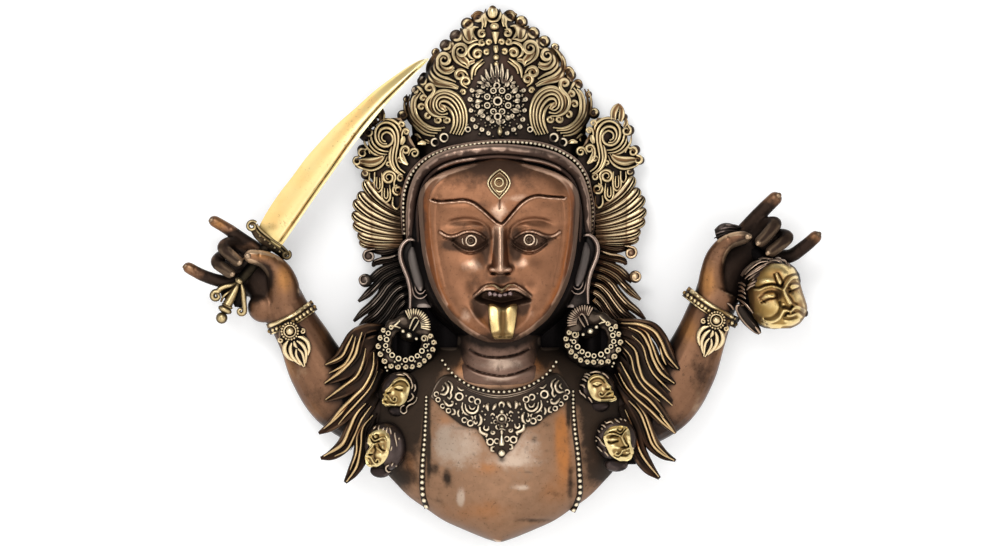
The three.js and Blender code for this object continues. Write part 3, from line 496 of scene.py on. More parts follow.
def makeCrown():
    def lay(u, v):
        z = lerp(crown["bottom"], crown["top"], v)
        x = crownAxis(z) + u * crown["halfWidth"](z)
        return x, z, crownDepth(x, z) - 1.6

    ground = sheet(*crown["cells"], lay)
    done(joined("crown_ground", [ground]), "crownGround")
    right = crownCurls()
    leaves = crownLeaves()
    for side, curls, blades in (
            ("right", right, leaves),
            ("left", flipped(right, crown["lean"]), flipped(leaves, crown["lean"]))
        ):
        rims = [
            (12.5, 91.5, 7), (24.4, 85.4, 7.4), (37.6, 73, 7.6), (50, 64, 7), (62, 57.6, 4.6), (79, 27, 6),
            (88, 16, 4.4), (98.4, 6, 4), (104.4, -14.8, 6.4)]
        if side == "left":
            rims = flipped([rims], crown["lean"])[0]
        bosses = copies(ballShapeFine, [
            (x, z, crownDepth(np.array([x]), np.array([z]))[0] - 3, r, r, 6, 0) for x, z, r in rims
        ])
        snails = []
        for x, z, r in rims:
            turn = curl(x, z, 0.74 * r, 60, 1.2, 1 if x > -5 else -1)
            snails.append(stroke(0.26 * r, turn, 0.7, 0.6))
        for line in curls:
            line[:, 2] *= lerp(1.08, 1.3, ramp(line[:, 1], 0, 40))
        eyes = [line[-1] for line in curls]
        dots = copies(ballShape, [bead(x, z, crownDepth, w * 1.6) for x, z, w in eyes])
        done(joined("crown_scrolls_" + side, [
            carve(curls, "round", crownDepth, 0.6, 1.25), carve(blades, "leaf", crownDepth, 0.8, 1.3), dots,
            carve(snails, "round", crownDepth, 1.2, 1.2)]), "crownGold")
        done(joined("crown_rim_" + side, [bosses]), "tuftGold")
    rings, beads, petals = crownRoundel()
    hoops = [(60, -42, 4.3), (70, -47, 4), (34, -33, 2.6)]
    hoops += [tuple(row) for row in flipped([hoops], crown["lean"])[0]]
    roundel = [
        copies(ringShape, [bead(x, z, lambda a, b: crownDepth(a, b) + 2.6, r) for x, z, r in rings]),
        copies(ringShape, [bead(x, z, lambda a, b: crownDepth(a, b) + 0.6, r) for x, z, r in hoops]),
        copies(ballShape, [bead(x, z, lambda a, b: crownDepth(a, b) + 2.2, r, 1, 1.5) for x, z, r in beads]),
        carve(petals, "leaf", crownDepth, 1.6, 1.3),
    ]
    done(joined("crown_roundel", roundel), "crownDark")
    jewels = [
        copies(ballShapeFine, [
            bead(-7, 95.6, crownDepth, 5.4, 1.45), bead(-5, 80, crownDepth, 5, 0.86),
            bead(-3.2, 46, crownDepth, 3.4), bead(-3, 38.6, crownDepth, 2.8)]),
        carve([stroke(1.5, [
            (-14.4, 100), (-15.6, 94), (-12.4, 87.6), (-6.6, 85.4), (-1, 87.6), (2, 94), (0.6, 100)],
            0.5, 0.5)], "round", crownDepth, 0.4, 1.2),
        carve([
            leaf([(-4, 74, 4.4), (-4, 69, 3.6), (-3.8, 64, 2), (-3.6, 61, 1)]),
            leaf([(-3.6, 59, 2.6), (-3.4, 55, 3.2), (-3.2, 51, 1.6)]),
            leaf([(1, -30, 1.2), (1, -35, 3), (1, -40.6, 1.4)])
        ], "swell", crownDepth, 0.6, 2.2)
    ]
    done(joined("crown_jewels", jewels), "crownGold")


makeCrown()
print("crown carved")


# Head: the block behind the face, the bead rim and the rolled hair band
head = {"cells": (60, 60), "low": -262, "top": -46, "edge": 44, "front": 90, "bead": 1.75, "beadStep": 4.7}
headHalf = along(
    [-262, 44], [-235, 74], [-200, 96], [-150, 103], [-105, 102], [-80, 93], [-64, 76], [-54, 52],
    [-46, 30])


batch = 4000  # points worked out at a time


def nearestDepth(route):
    # a carrier that takes the depth of the closest point of a route
    line = smoothLine(route, 1.5)

    def at(x, z):
        x, z = np.asarray(x, float), np.asarray(z, float)
        out = np.zeros(len(x))
        for i in range(0, len(x), batch):
            apart = (x[i:i + batch, None] - line[:, 0]) ** 2 + (z[i:i + batch, None] - line[:, 1]) ** 2
            out[i:i + batch] = line[np.argmin(apart, axis=1), 2]
        return out

    return at


def bothSides(right, shift):
    # a route's right half from its outer end to the middle, with its mirror image
    left = [(-x - shift, *rest) for x, *rest in right[::-1]]
    return right + left[1:]


def makeHead():
    def lay(u, v):
        z = lerp(head["low"], head["top"], v)
        return u * headHalf(z), z, lerp(head["edge"], head["front"], (1 - u ** 4) ** 0.5)

    done(joined("head_block", [sheet(*head["cells"], lay)]), "hairDark")
    rim = [
        (101, -147, 49), (102, -120, 52), (99, -103, 55), (95, -86, 63), (84, -69, 78), (70, -59.4, 86),
        (58, -54, 92), (40, -49.4, 98), (20, -47.6, 101), (0, -47.4, 102)]
    left = [
        (0, -47.4, 102), (-20, -49, 101), (-40, -52, 98), (-60, -56.6, 90), (-80, -66, 79), (-95, -81, 66),
        (-101, -94, 57), (-104, -106, 54), (-104.4, -126, 51), (-103, -148, 48)]
    route = rim + left[1:]
    lifted = nearestDepth([(x, z, d + 4.4) for x, z, d in route])
    beads = copies(ballShape, beadRow([row[:2] for row in route], head["bead"], head["beadStep"], lifted))
    done(joined("rim_beads", [beads]), "beadGold")
    ledge = carve([stroke(3.4, [row[:2] for row in route], 1, 1)], "swell", nearestDepth(route), 0, 1.4)
    outer = [
        (89, -190, 56), (94, -170, 60), (95, -150, 64), (95, -126, 70), (92, -104, 76), (83, -82, 88),
        (69, -69.4, 100), (51, -61.6, 106), (27, -57.4, 111), (0, -55.6, 113)]
    inner = [
        (79, -205, 62), (85, -180, 68), (88, -150, 76), (88.6, -125, 82), (85, -104, 87), (79, -89, 94),
        (66, -76.6, 104), (50, -69.6, 110), (26, -65.4, 115), (0, -63.2, 117)]
    rolls = [ledge]
    for route, width, high in ((bothSides(outer, 1), 6.8, 0.8), (bothSides(inner, 0), 2.6, 1.0)):
        roll = stroke(width, [row[:2] for row in route], 0.8, 0.8)
        rolls.append(carve([roll], "round", nearestDepth(route), -2, high))
    done(joined("hair_band", rolls), "hairBand")


# Side crowns: a spiral, curls and drops beside the head
sideCrown = {"cells": (30, 60), "low": -130, "top": -20}


def sideDepth(x, z):
    return lerp(46, 20, clamp((np.abs(x) - 92) / 58))


sideOuter = along(
    [-126, 108], [-112, 122], [-100, 131], [-86, 141], [-76, 148], [-66, 152], [-56, 148], [-46, 142],
    [-36, 140], [-27, 133], [-20, 118])
sideInner = along([-126, 84], [-66, 86], [-52, 92], [-40, 98], [-28, 103], [-20, 108])


def drop(x, high, low, r):
    return [(x - r, high), (x - r * 1.05, low + r), (x, low), (x + r * 1.05, low + r), (x + r, high)]


def sideCurls():
    thick = [
        [
            (100, -79), (106.6, -73.6), (110.2, -64), (109.2, -54), (107.6, -44), (108.4, -34), (112.6, -27),
            (119.6, -23.4), (127, -25), (132, -31), (132.8, -39.4), (129.4, -46.6), (122.8, -50),
            (116, -47.8), (113.4, -41.8), (115.8, -36.2), (120.8, -34.2), (125.4, -37.4), (125.2, -42.6),
            (121.4, -44.6)],
        [
            (102.6, -81.6), (110, -75.4), (113.8, -66), (113, -55), (111, -46), (111.8, -37), (115.8, -31),
            (121.2, -29.4), (126.6, -31.4), (129.2, -36.6), (128.6, -42.4), (125, -46.6), (120, -47)],
        [(104.4, -82.4), (112.8, -75), (116.8, -65), (116.4, -56), (114.6, -50)]
    ]
    line = [stroke(1.7, knots, 0.5, 0.6) for knots in thick]
    line += [
        stroke(1.5, [
            (103.6, -33), (107.4, -26), (113.6, -21.4), (120.6, -20), (128, -21.8), (133.4, -27.4)]),
        stroke(1.4, [(136, -31), (137.6, -38), (135.6, -46), (130.4, -52), (123.4, -55), (118.4, -55.4)]),
        stroke(1.3, [(140.4, -40), (139.4, -47), (134.8, -53.4), (127.6, -57.6), (120, -58.6)], 0.4, 0.4),
        stroke(1.4, [(145.4, -38), (144.6, -46), (140.6, -52.6), (133.6, -58.4), (124, -61)], 0.4, 0.4),
        stroke(1.6, [(136.4, -27), (141, -26.6)] + curl(140, -34, 5.2, 60, 1.4)),
        stroke(1.5, [(138.6, -58), (142, -52)] + curl(147, -57, 5, 130, 1.35)),
        stroke(1.6, [(146, -60.6), (150, -60)] + curl(152.6, -66, 4.8, 100, 1.2)),
        stroke(1.5, [
            (119.6, -61), (123, -68), (129, -73.4), (137, -76), (145, -74.6), (152, -71.6), (156, -67)]),
        stroke(1.2, [(122, -59.6), (125.6, -66), (131.6, -70), (139, -71.4), (147, -69.4), (152, -66.4)]),
        stroke(1.3, curl(143.6, -79, 3.4, 60, 1.3)),
        stroke(1.4, [(106, -36), (105, -31)] + curl(103.6, -26, 3.8, -60, 1.2, 1)),
        stroke(1.4, [(103, -43), (103.6, -38)] + curl(99, -34, 3.6, 0, 1.3, 1)),
        stroke(1.5, [(104.6, -62), (105.4, -56)] + curl(99.6, -54, 4.8, 10, 1.4, 1)),
        stroke(1.5, [(96.4, -60)] + curl(89.6, -57.4, 5.4, 10, 1.3, 1)),
        stroke(1.3, curl(105, -65, 3.8, -30, 1.3, 1)),
        stroke(1.7, [(109, -92), (111.4, -96)] + curl(118, -84, 7.8, 220, 1.8, -1)),
        stroke(1.2, curl(118.4, -69.4, 3.2, -90, 1.3)), stroke(1.4, curl(105, -84.6, 4.2, 140, 1.4)),
        stroke(1.5, curl(108, -98, 6.2, 80, 1.5)), stroke(1.3, drop(121, -92, -111, 4)),
        stroke(1.0, drop(121, -96, -107, 1.6)), stroke(1.3, drop(129.6, -79, -100, 3.8)),
        stroke(1.0, drop(129.6, -84, -96.6, 1.5)), stroke(1.2, drop(136.6, -79, -90.6, 2.6)),
        stroke(1.3, drop(109.6, -106, -118.6, 3.8))
    ]
    leaves = [
        leaf([(102, -39, 1.6), (102.4, -43, 3), (104, -48, 1.4)]),
        leaf([(124, -61, 1.6), (130, -65, 4), (138, -66.6, 4.6), (146, -66, 3.4), (151, -66, 2)]),
        leaf([(97, -70, 1), (101, -66.6, 3), (104, -59, 2.6), (104, -53, 1)]),
        leaf([(125.6, -22, 3), (126, -14, 4), (129, -8, 3.4), (132, -4.4, 1)]),
        leaf([(133, -24, 2.4), (134.6, -17, 3.6), (134.6, -11, 2.8), (132.6, -5, 0.8)]),
        leaf([(137, -30, 1.6), (139.6, -25.6, 2.6), (139, -20, 1)]),
        leaf([(86, -47, 1), (81, -46, 2.6), (77, -47, 1.6)]),
    ]
    return line, leaves


def makeSideCrowns():
    right, leaves = sideCurls()
    lumps = [
        (150, -55, 5.4), (155, -66.4, 5), (143.6, -79.6, 5.6), (143, -33.6, 6), (128, -17, 5),
        (137.6, -19, 4), (133, -10, 3.6)]
    others = [(-146, -38, 8), (-139, -24, 6), (-132, -17, 4), (-150, -55, 6), (-153, -70, 6), (-146, -82, 6)]
    sides = {
        "right": (right, leaves, lumps),
        "left": (flipped(right, 0, 3, 1.5), flipped(leaves, 0, 3, 1.5), others),
    }
    for side, (curls, blades, rims) in sides.items():
        sign = 1 if side == "right" else -1

        def lay(u, v):
            z = lerp(sideCrown["low"], sideCrown["top"], v)
            x = lerp(sideInner(z), sideOuter(z), (u + 1) / 2) * sign
            return x, z, sideDepth(x, z) - 2

        eyes = copies(ballShape, [bead(*line[-1][:2], sideDepth, line[-1][2] * 1.6) for line in curls[3:]])
        bosses = copies(ballShapeFine, [
            (x, z, sideDepth(np.array([x]), 0)[0] - 4, r, r, 6, 0) for x, z, r in rims
        ])
        done(joined("side_ground_" + side, [sheet(*sideCrown["cells"], lay), bosses]), "crownGround")
        done(joined("side_scrolls_" + side, [
            carve(curls, "round", sideDepth, 0.8, 1.3), carve(blades, "leaf", sideDepth, 1.2, 1.3), eyes]),
            "crownGold")


# Hair beside the face: a low mass, feathered plumes above and curling locks below
mass = {"cells": (30, 90), "low": -312, "top": -75, "inner": 28}
massOuter = along(
    [-312, 146], [-280, 150], [-258, 153], [-245, 151], [-225, 144], [-205, 135], [-190, 132], [-175, 133],
    [-150, 138], [-120, 144], [-95, 138], [-75, 118])


def massDepth(x, z):
    outwards = clamp((np.abs(x) - 60) / 80)
    downwards = clamp((-z - 200) / 50)
    return lerp(50, 20, outwards) + downwards * 26 * ramp(np.abs(x), 72, 104)


def plume(knots, width):
    line = smoothLine(knots, 1.1)
    t = np.linspace(0, 1, len(line))
    rounded = np.sqrt(1 - 0.96 * clamp((t - 0.86) / 0.14) ** 2)
    return np.column_stack([line, width * lerp(0.5, 1, ramp(t, 0, 0.65)) * rounded])


def hairStrands():
    # the right half: rows of points for the plumes, then strands and curls below them
    plumes = [plume(knots, width) for width, knots in (
        (6.4, [(106, -121), (120, -114.6), (134, -104), (143, -93), (147.6, -84)]),
        (6.6, [(106, -128), (122, -123), (138, -114), (149, -104), (153.4, -97)]),
        (6.6, [(106, -134), (124, -130), (140, -123), (152, -114), (159, -106)]),
        (6.6, [(106, -140), (124, -137.4), (140, -132.4), (153, -126), (161, -119.6)]),
        (6.4, [(106, -145.4), (124, -144), (140, -140.6), (152, -136), (160, -131)]),
        (6.0, [(106, -150.6), (122, -150.6), (138, -149), (149, -146), (155, -142.4)]),
        (4.8, [(106, -156), (120, -156.6), (134, -156.4), (146, -154.6), (153.6, -151.4)]),
    )]
    strands = [
        leaf([(110, -160, 2), (119, -163, 3.6), (129, -164.4, 4.2), (138, -163, 3.6), (145, -160.6, 2)]),
        leaf([
            (110, -171, 2.4), (121, -173.4, 3.4), (131, -175, 4), (137.6, -177.6, 3.4),
            (139.6, -181.6, 1.4)]),
        leaf([(108, -177, 2.4), (120, -180.6, 3.6), (131, -186, 4.4), (139, -193, 4.4), (146, -200, 2.4)]),
        leaf([
            (104, -184, 2.4), (116, -187, 3.8), (128, -193.6, 4.4), (136, -202, 4.6), (145, -211, 4.4),
            (155.4, -219.6, 1.6)]),
        leaf([
            (102, -192, 2.4), (113, -195, 3.8), (123, -202, 4.6), (131, -213, 4.8), (141, -224, 4.8),
            (151, -232, 4), (160.4, -241.4, 1.6)]),
        leaf([
            (100, -201, 2.4), (111, -204, 3.6), (119, -211, 4.4), (127, -222, 4.8), (136, -233, 4.8),
            (147, -241, 4), (156, -250, 1.6)]),
        leaf([
            (100, -210, 2.4), (109, -213.6, 3.4), (116, -221, 4), (124, -233, 4.4), (134, -244, 4.4),
            (146, -254, 3.4)]),
        leaf([(104, -219, 2.2), (111, -226, 3.4), (119, -238, 4.4), (129, -250, 4.8), (141, -262, 4)])
    ]
    curls = [
        stroke(1.9, [(138, -160.4)] + curl(144.6, -168, 6.6, 95, 1.45)),
        stroke(1.3, [(112, -166), (122, -169.6), (132, -171), (139, -173.6)], 0.4, 0.4),
        stroke(1.6, curl(150, -194.4, 5.6, 100, 1.3))
    ]
    return plumes, strands, curls


def makeFan(side):
    sign = 1 if side == "right" else -1

    def lay(u, v):
        z = lerp(mass["low"], mass["top"], v)
        x = lerp(mass["inner"], massOuter(z) - 4, (u + 1) / 2) * sign
        return x, z, massDepth(x, z) - 3

    ground = sheet(*mass["cells"], lay)
    plumes, strands, curls = hairStrands()
    balls = [(149.6, -194.4, 7), (145, -168.6, 6.4)]
    if side == "right":
        plumes, strands = [line[::-1] for line in plumes], [line[::-1] for line in strands]
    else:
        plumes, strands, curls = flipped(plumes, 0, 0, 4), flipped(strands, 0, -1, 2), flipped(
            curls, 0, -2, 3.6)
        balls = [(-146.6, -198.6, 7.6), (-143.4, -172, 6)]
    done(joined("hair_mass_" + side, [ground]), "hairDark")
    done(joined("plumes_" + side, [carve(plumes, "plume", massDepth, 3.6, 1.7)]), "plumeGold")
    bosses = copies(ballShapeFine, [(x, z, 24, r, r, 6, 0) for x, z, r in balls])
    done(joined("strands_" + side, [
        carve(strands, "hair", massDepth, 2.6, 1.9), bosses, carve(curls, "round", massDepth, 8, 1.2)]),
        "hairGold" if side == "right" else "hairGrey")


makeHead()
makeSideCrowns()
makeFan("right")
makeFan("left")
print("head, side crowns and hair fan carved")


# Face: one fine grid whose depth adds the features up, with eyes, lips and tongue read off it
face = {"cells": (210, 240), "low": -266, "top": -64, "back": 40, "nose": 0.66, "mouthDeep": 19}
faceHalf = along(
    [-266, 14], [-262, 24], [-255, 36], [-248, 45], [-241, 53], [-230, 61], [-218, 68], [-205, 74],
    [-190, 79], [-170, 83.5], [-150, 86], [-120, 88], [-104, 87], [-94, 82], [-84, 71], [-76, 52], [-70, 30],
    [-64, 8])
faceCrest = along(
    [-266, 118], [-260, 130], [-250, 137], [-235, 140], [-205, 138], [-160, 134], [-128, 135], [-100, 134],
    [-82, 129], [-70, 121], [-62, 113])
noseHalf = along(
    [-191.4, 5], [-189, 11.6], [-186, 12.6], [-182, 10], [-172, 8.4], [-158, 7.2], [-146, 7], [-138, 8.4])
noseRise = along(
    [-192.4, 0], [-190.6, 17], [-188, 25], [-184, 26], [-178, 23.4], [-168, 19], [-156, 13], [-146, 7.4],
    [-138, 2.4], [-133, 0])
browLine = smoothLine([
    (-72.4, -110), (-66, -111.6), (-52, -111), (-38, -110), (-28, -112.8), (-18, -120), (-8, -129),
    (-1, -134.8), (3, -136), (8, -131.4), (15, -123), (24, -113.4), (33, -107.6), (42, -105.4), (55, -106.6),
    (64, -107.2), (70.6, -107.6)], 0.8)
lidTop = along(
    [13, -156.4], [18, -151.6], [24, -148.2], [31, -146.6], [38, -147.4], [45, -150.6], [50, -153.4],
    [53, -155.2])
lidFoot = along(
    [13, -156.6], [18, -161], [25, -164.8], [32, -166], [39, -164.8], [46, -160.8], [50, -157.4],
    [53, -155.4])
lidRidge = smoothLine([
    (17, -151.6), (21, -148.6), (27, -145.8), (33, -145), (40, -146.4), (46, -149), (53, -150.6),
    (59, -149.6), (65, -146)], 0.8)
lidCrease = smoothLine([
    (11, -151), (13, -142), (19, -136.4), (28, -132.8), (39, -131.6), (50, -133.4), (62, -136.6)], 0.8)
planeEdge = smoothLine([
    (60, -84), (72, -96), (77, -112), (76.4, -148), (72.6, -174), (67, -203), (58, -224)], 0.8)
innerEdge = smoothLine([(67, -108), (69, -125), (68.6, -150), (65, -176), (59, -203)], 0.8)
lipOuter = smoothLine([
    (-36.6, -220), (-33.4, -225), (-30, -231), (-26, -238), (-20.6, -244.4), (-13, -251), (-8, -257),
    (3, -260), (14, -257.6), (21, -252), (28, -245.4), (33, -238), (36.4, -230), (37.4, -221)], 0.8)
lipTop = smoothLine([
    (-27, -215.4), (-22, -211), (-18, -207), (-14, -204.4), (-9, -203.4), (-5, -203.8), (-1, -206.4),
    (3, -208.6), (7, -206), (11, -203.4), (17, -203.2), (22, -205.6), (28, -210), (34, -215.4)], 0.8)
mouthTop = along(
    [-28, -217.4], [-22, -213.4], [-16, -209.6], [-8, -209.2], [-2, -210.6], [3, -212.4], [8, -210.4],
    [15, -208.8], [21, -210.6], [28, -214.6], [38, -219.4])
mouthFoot = along(
    [-28, -217.6], [-20, -221], [-10, -223.4], [3, -226.6], [16, -223.8], [28, -221.6], [38, -219.4])


def away(line, x, z):
    # distance from a line, worked out only near it
    low, high = line[:, :2].min(0) - 9, line[:, :2].max(0) + 9
    near = np.nonzero((x > low[0]) & (x < high[0]) & (z > low[1]) & (z < high[1]))[0]
    out = np.full(len(x), 99.0)
    for i in range(0, len(near), batch):
        some = near[i:i + batch]
        gaps = (x[some, None] - line[:, 0]) ** 2 + (z[some, None] - line[:, 1]) ** 2
        out[some] = np.sqrt(gaps.min(axis=1))
    return out


def hump(distance, width):
    return np.exp(-((distance / width) ** 2))


def faceBase(x, z):
    # a broad front plane that turns quickly into the side planes
    across = clamp(np.abs(x) / faceHalf(z), 0, 1)
    return faceCrest(z) - 5 * across ** 2 - 27 * (1 - (1 - across ** 9) ** 0.6)


def faceDepth(x, z):
    x, z = np.broadcast_arrays(np.asarray(x, float), np.asarray(z, float))
    d = faceBase(x, z)
    side = np.abs(x - 1)
    # sockets, lids and sunken eyes
    d = d - 6.0 * bell(side, z, 17, -152, 9, 17) - 3.2 * bell(side, z, 44, -137, 22, 6)
    d = d + 2.0 * bell(side, z, 36, -120, 26, 7) - 2.0 * hump(away(lidCrease, side, z), 2.4) * ramp(
        -side, -62, -48)
    d = d + 3.4 * bell(side, z, 34, -139.6, 17, 4.4)
    inside = (z < lidTop(side)) & (z > lidFoot(side)) & (side > 13) & (side < 53)
    ball = np.sqrt(clamp(1 - ((side - 32) / 22) ** 2 - ((z + 156) / 13) ** 2))
    d = d + np.where(inside, 4.4 * ball - 4.4, 0)
    d = d + 3.8 * hump(away(lidRidge, side, z), 1.7)
    foot = np.abs(z - lidFoot(side)) + np.where((side > 13) & (side < 52), 0, 20)
    d = d + 1.5 * hump(foot - 0.2, 1.2) - 1.6 * hump(foot - 2.8, 1.1)
    d = d - 1.4 * hump(away(smoothLine([(47, -153.6), (54, -154), (62, -152)], 0.8), side, z), 1.0)
    # brows: a fine cut with a lit lip below it, meeting over the nose
    cut = away(browLine, x, z)
    below = z < np.interp(x, browLine[:, 0], browLine[:, 1])
    d = d - 2.8 * hump(cut, 1.0) + np.where(below, 2.0 * hump(cut - 2.2, 1.2), 0)
    d = d - 1.2 * hump(np.abs(x - 1) + np.where((z < -110) & (z > -121), 0, 30), 0.8)
    d = d + 1.6 * bell(x, z, 2, -126, 9, 7)
    # nose: a thin bright ridge, steep flanks and small wings
    over = clamp((np.abs(x - 1.6) - 1.8) / (noseHalf(z) - 1.8), 0, 1)
    d = d + face["nose"] * noseRise(z) * (1 - over ** 1.05) + 0.8 * hump(x - 1.6, 1) * ramp(
        noseRise(z), 4, 12)
    d = d + 5.5 * (bell(x, z, -9, -186.2, 3.2, 3.4) + bell(x, z, 12, -186.2, 3.2, 3.4))
    d = d - 3.5 * (bell(x, z, -6, -190.8, 3.4, 1.2) + bell(x, z, 9, -190.8, 3.4, 1.2))
    # cheeks, muzzle and the sharp edge of the front plane
    d = d + 3.0 * bell(side, z, 30, -184, 14, 10) - 1.2 * bell(side, z, 16, -172, 6, 18)
    d = d - 4.2 * bell(side, z, 27, -204, 9, 11) - 1.8 * bell(x, z, 1.5, -198, 3.4, 5)
    d = d + 1.2 * hump(away(planeEdge, side, z), 2.6) - 1.0 * hump(away(innerEdge, side, z), 2.2)
    # lips: a lit bow above, a wide ridged lower lip and a narrow dark gap
    d = d + 3.2 * hump(away(lipTop, x, z), 1.3)
    d = d + 1.8 * hump(away(lipOuter, x, z), 4.2) * ramp(-z, 222, 236)
    d = d + 3 * bell(x, z, 3, -207.6, 17, 2.6)
    lower = ((x - 1) / 35) ** 2 + ((z + 219) / 37) ** 2
    d = d - 4.5 * ramp(1 - lower, 0.0, 0.8) * ramp(-z, 214, 224)
    ends = ramp(x, -30, -17) * ramp(-x, -39, -25)
    opening = ramp(mouthTop(x) - z, 0, 2.0) * ramp(z - mouthFoot(x), -3, 4.5)
    return d - face["mouthDeep"] * opening * ends


tongue = {"cells": (60, 90), "low": -262.6, "top": -225.6, "back": 126, "tip": 150.5, "root": 147.5}


def makeFace():
    def lay(u, v):
        z = lerp(face["low"], face["top"], v)
        x = u * faceHalf(z)
        return x, z, faceDepth(x, z)

    done(joined("face", [sheet(*face["cells"], lay, face["back"])]), "skin")

    def tongueLay(u, v):
        lobes = ramp(v, 0.8, 1) * (3 - 5.6 * np.exp(-((u * 1.9) ** 2)) - 2.6 * np.abs(u) ** 5)
        z = lerp(tongue["low"], tongue["top"], v) + lobes
        corner = np.sqrt(1 - 0.42 * clamp(1 - v / 0.09) ** 2)
        x = 4 + u * lerp(10.4, 16.4, v ** 0.75) * corner
        d = lerp(tongue["tip"], tongue["root"], v) + 3.2 * np.sin(math.pi * v ** 0.8)
        d = d - 1.7 * np.exp(-((u / 0.24) ** 2))
        d = d - 1.6 * ramp(0.26 - v, 0, 0.16) + 2.2 * hump(z + 261.2, 1.3) - 1.6 * u ** 2
        return x, z, d - 1.4 * ramp(np.abs(u), 0.9, 1) - 2 * ramp(v, 0.94, 1)

    done(joined("tongue", [sheet(*tongue["cells"], tongueLay, tongue["back"])]), "tongueGold")
    rowOf = (-212.8, -213.4, -214.4, -213.4, -212.6)
    teeth = [(-9.6 + 5.4 * i, z, 136 - 0.3 * abs(i - 2), 2.9, 3.1, 2, 0) for i, z in enumerate(rowOf)]
    done(joined("teeth", [copies(ballShapeFine, teeth)]), "teethDim")
    eyes = [(-30.4, -155, 134.0), (33, -154, 134.2)]
    irises = [(x, z, d + 0.4, 5.5, 5.5, 4, 0) for x, z, d in eyes]
    inner = [(x - 0.4, z - 0.2, d + 0.4, 2.5, 2.5, 5, 0) for x, z, d in eyes]
    rims = [
        stroke(0.8, curl(-31, -155.4, 9.4, 150, 0.16, 1, 0.9)),
        stroke(0.8, curl(33, -154.4, 9, -40, 0.2, 1, 0.9))
    ]
    done(joined("irises", [copies(ringFine, irises), carve(rims, "round", faceDepth, 0.4, 1.0)]), "eyeGold")
    done(joined("pupils", [copies(ringFine, inner)]), "eyeDim")
    bow = [
        stroke(1.3, [
            (-15, -204.8), (-9, -203.4), (-5, -203.8), (-1, -206.4), (3, -208.8), (7, -206.2), (11, -203.4),
            (18, -203.4)], 0.4, 0.4),
        leaf([(3, -207, 1), (3.4, -210, 1.6), (3.4, -212.6, 0.8)])
    ]
    done(joined("lip_bow", [carve(bow, "round", faceDepth, -0.6, 1.0)]), "thirdGold")
    outline = [
        stroke(1.0, [
            (1, -77.4), (-5, -81.6), (-10, -87), (-12, -92.4), (-8.6, -100), (-3, -106), (0.6, -109.4)],
            0.7, 0.7),
        stroke(1.0, [
            (1, -77.4), (6.4, -81.6), (10.6, -87), (12, -92.4), (8.6, -100), (3.4, -106), (0.6, -109.4)],
            0.7, 0.7),
        stroke(0.9, [
            (0.6, -81), (-4, -84.6), (-8, -89), (-8.8, -93), (-6, -98.6), (-2, -103), (0.6, -105.4)],
            0.7, 0.7),
        stroke(0.9, [
            (0.6, -81), (5, -84.6), (8.4, -89), (8.8, -93), (6, -98.6), (2.6, -103), (0.6, -105.4)],
            0.7, 0.7),
        stroke(1.2, [(-4.6, -98.6), (-1.6, -101), (1, -101.6), (3.8, -100.6), (5.6, -98.2)], 0.5, 0.5)
    ]
    top = float(depthAt(faceBase, 0, -91))
    rings = [(0, -91.4, top + 2.8, r, r, 6, 0) for r in (4.6, 2.0)]
    third = [carve(outline, "round", faceBase, 0.8, 1.3), copies(ringFine, rings)]
    done(joined("third_eye", third), "thirdGold")
    bed = [leaf([(0.8, -78.6, 1), (0.6, -85, 7), (0, -92, 10.4), (0, -99, 7), (0.4, -108, 1)])]
    done(joined("third_eye_bed", [carve(bed, "swell", faceBase, 0.2, 0.5)]), "thirdDim")


# Ears: a long raised loop round a broad slip, with a plain lobe that runs down to the earring
ear = {"cells": (20, 60), "low": -228, "top": -149, "back": 30, "high": 67}
earInner = along([-228, 68], [-212, 75], [-200, 79], [-180, 83], [-160, 88], [-149, 95])
earOuter = along(
    [-228, 97], [-212, 96.6], [-200, 97.4], [-188, 101], [-180, 104.4], [-170, 107.4], [-162, 107.8],
    [-155, 105.4], [-149, 99])


def makeEar(side):
    sign, low = (1, 0) if side == "right" else (-1, -5)

    def lay(u, v):
        z = lerp(ear["low"], ear["top"], v)
        x = lerp(earInner(z), earOuter(z), (u + 1) / 2) * sign
        return x, z + low * ramp(z, -228, -205), ear["high"] - 3 * u ** 2

    def turned(rows):
        return [(x * sign, z + low, *rest) for x, z, *rest in rows]

    def flat(x, z):
        return 68 + 6 * ramp(-z, 150, 215)

    rim = turned([
        (86.6, -160), (88.4, -154), (92.6, -149.4), (98, -148.6), (103.4, -152), (107, -158), (108, -165),
        (106.6, -173), (103.6, -181), (100.4, -189), (98, -198), (97, -207), (97, -216), (97.4, -224)])
    lobe = turned([(79, -209), (83, -212.4), (88, -213), (92.4, -210), (94.6, -204), (95.6, -196)])
    fold = turned([(80.6, -204), (84, -207.6), (88, -207.6), (91, -204), (92.4, -198)])
    slip = turned([
        (95, -157, 2), (95, -163, 5), (93.6, -172, 6), (91.4, -182, 6), (88.6, -192, 6), (86.4, -200, 4.4),
        (85.6, -204.6, 1.6)])
    lines = [
        carve([stroke(2.5, rim, 0.5, 0.6)], "round", flat, 1, 1.2),
        carve([stroke(0.9, lobe, 0.5, 0.5), stroke(0.8, fold, 0.5, 0.5)], "round", flat, 0.2, 1.2)
    ]
    done(joined("ear_" + side, [sheet(*ear["cells"], lay, ear["back"])]), "earGrey")
    done(joined("ear_rim_" + side, lines), "earDark")
    done(joined("ear_slip_" + side, [carve([leaf(slip)], "swell", flat, 0.4, 0.9)]), "earSlip")


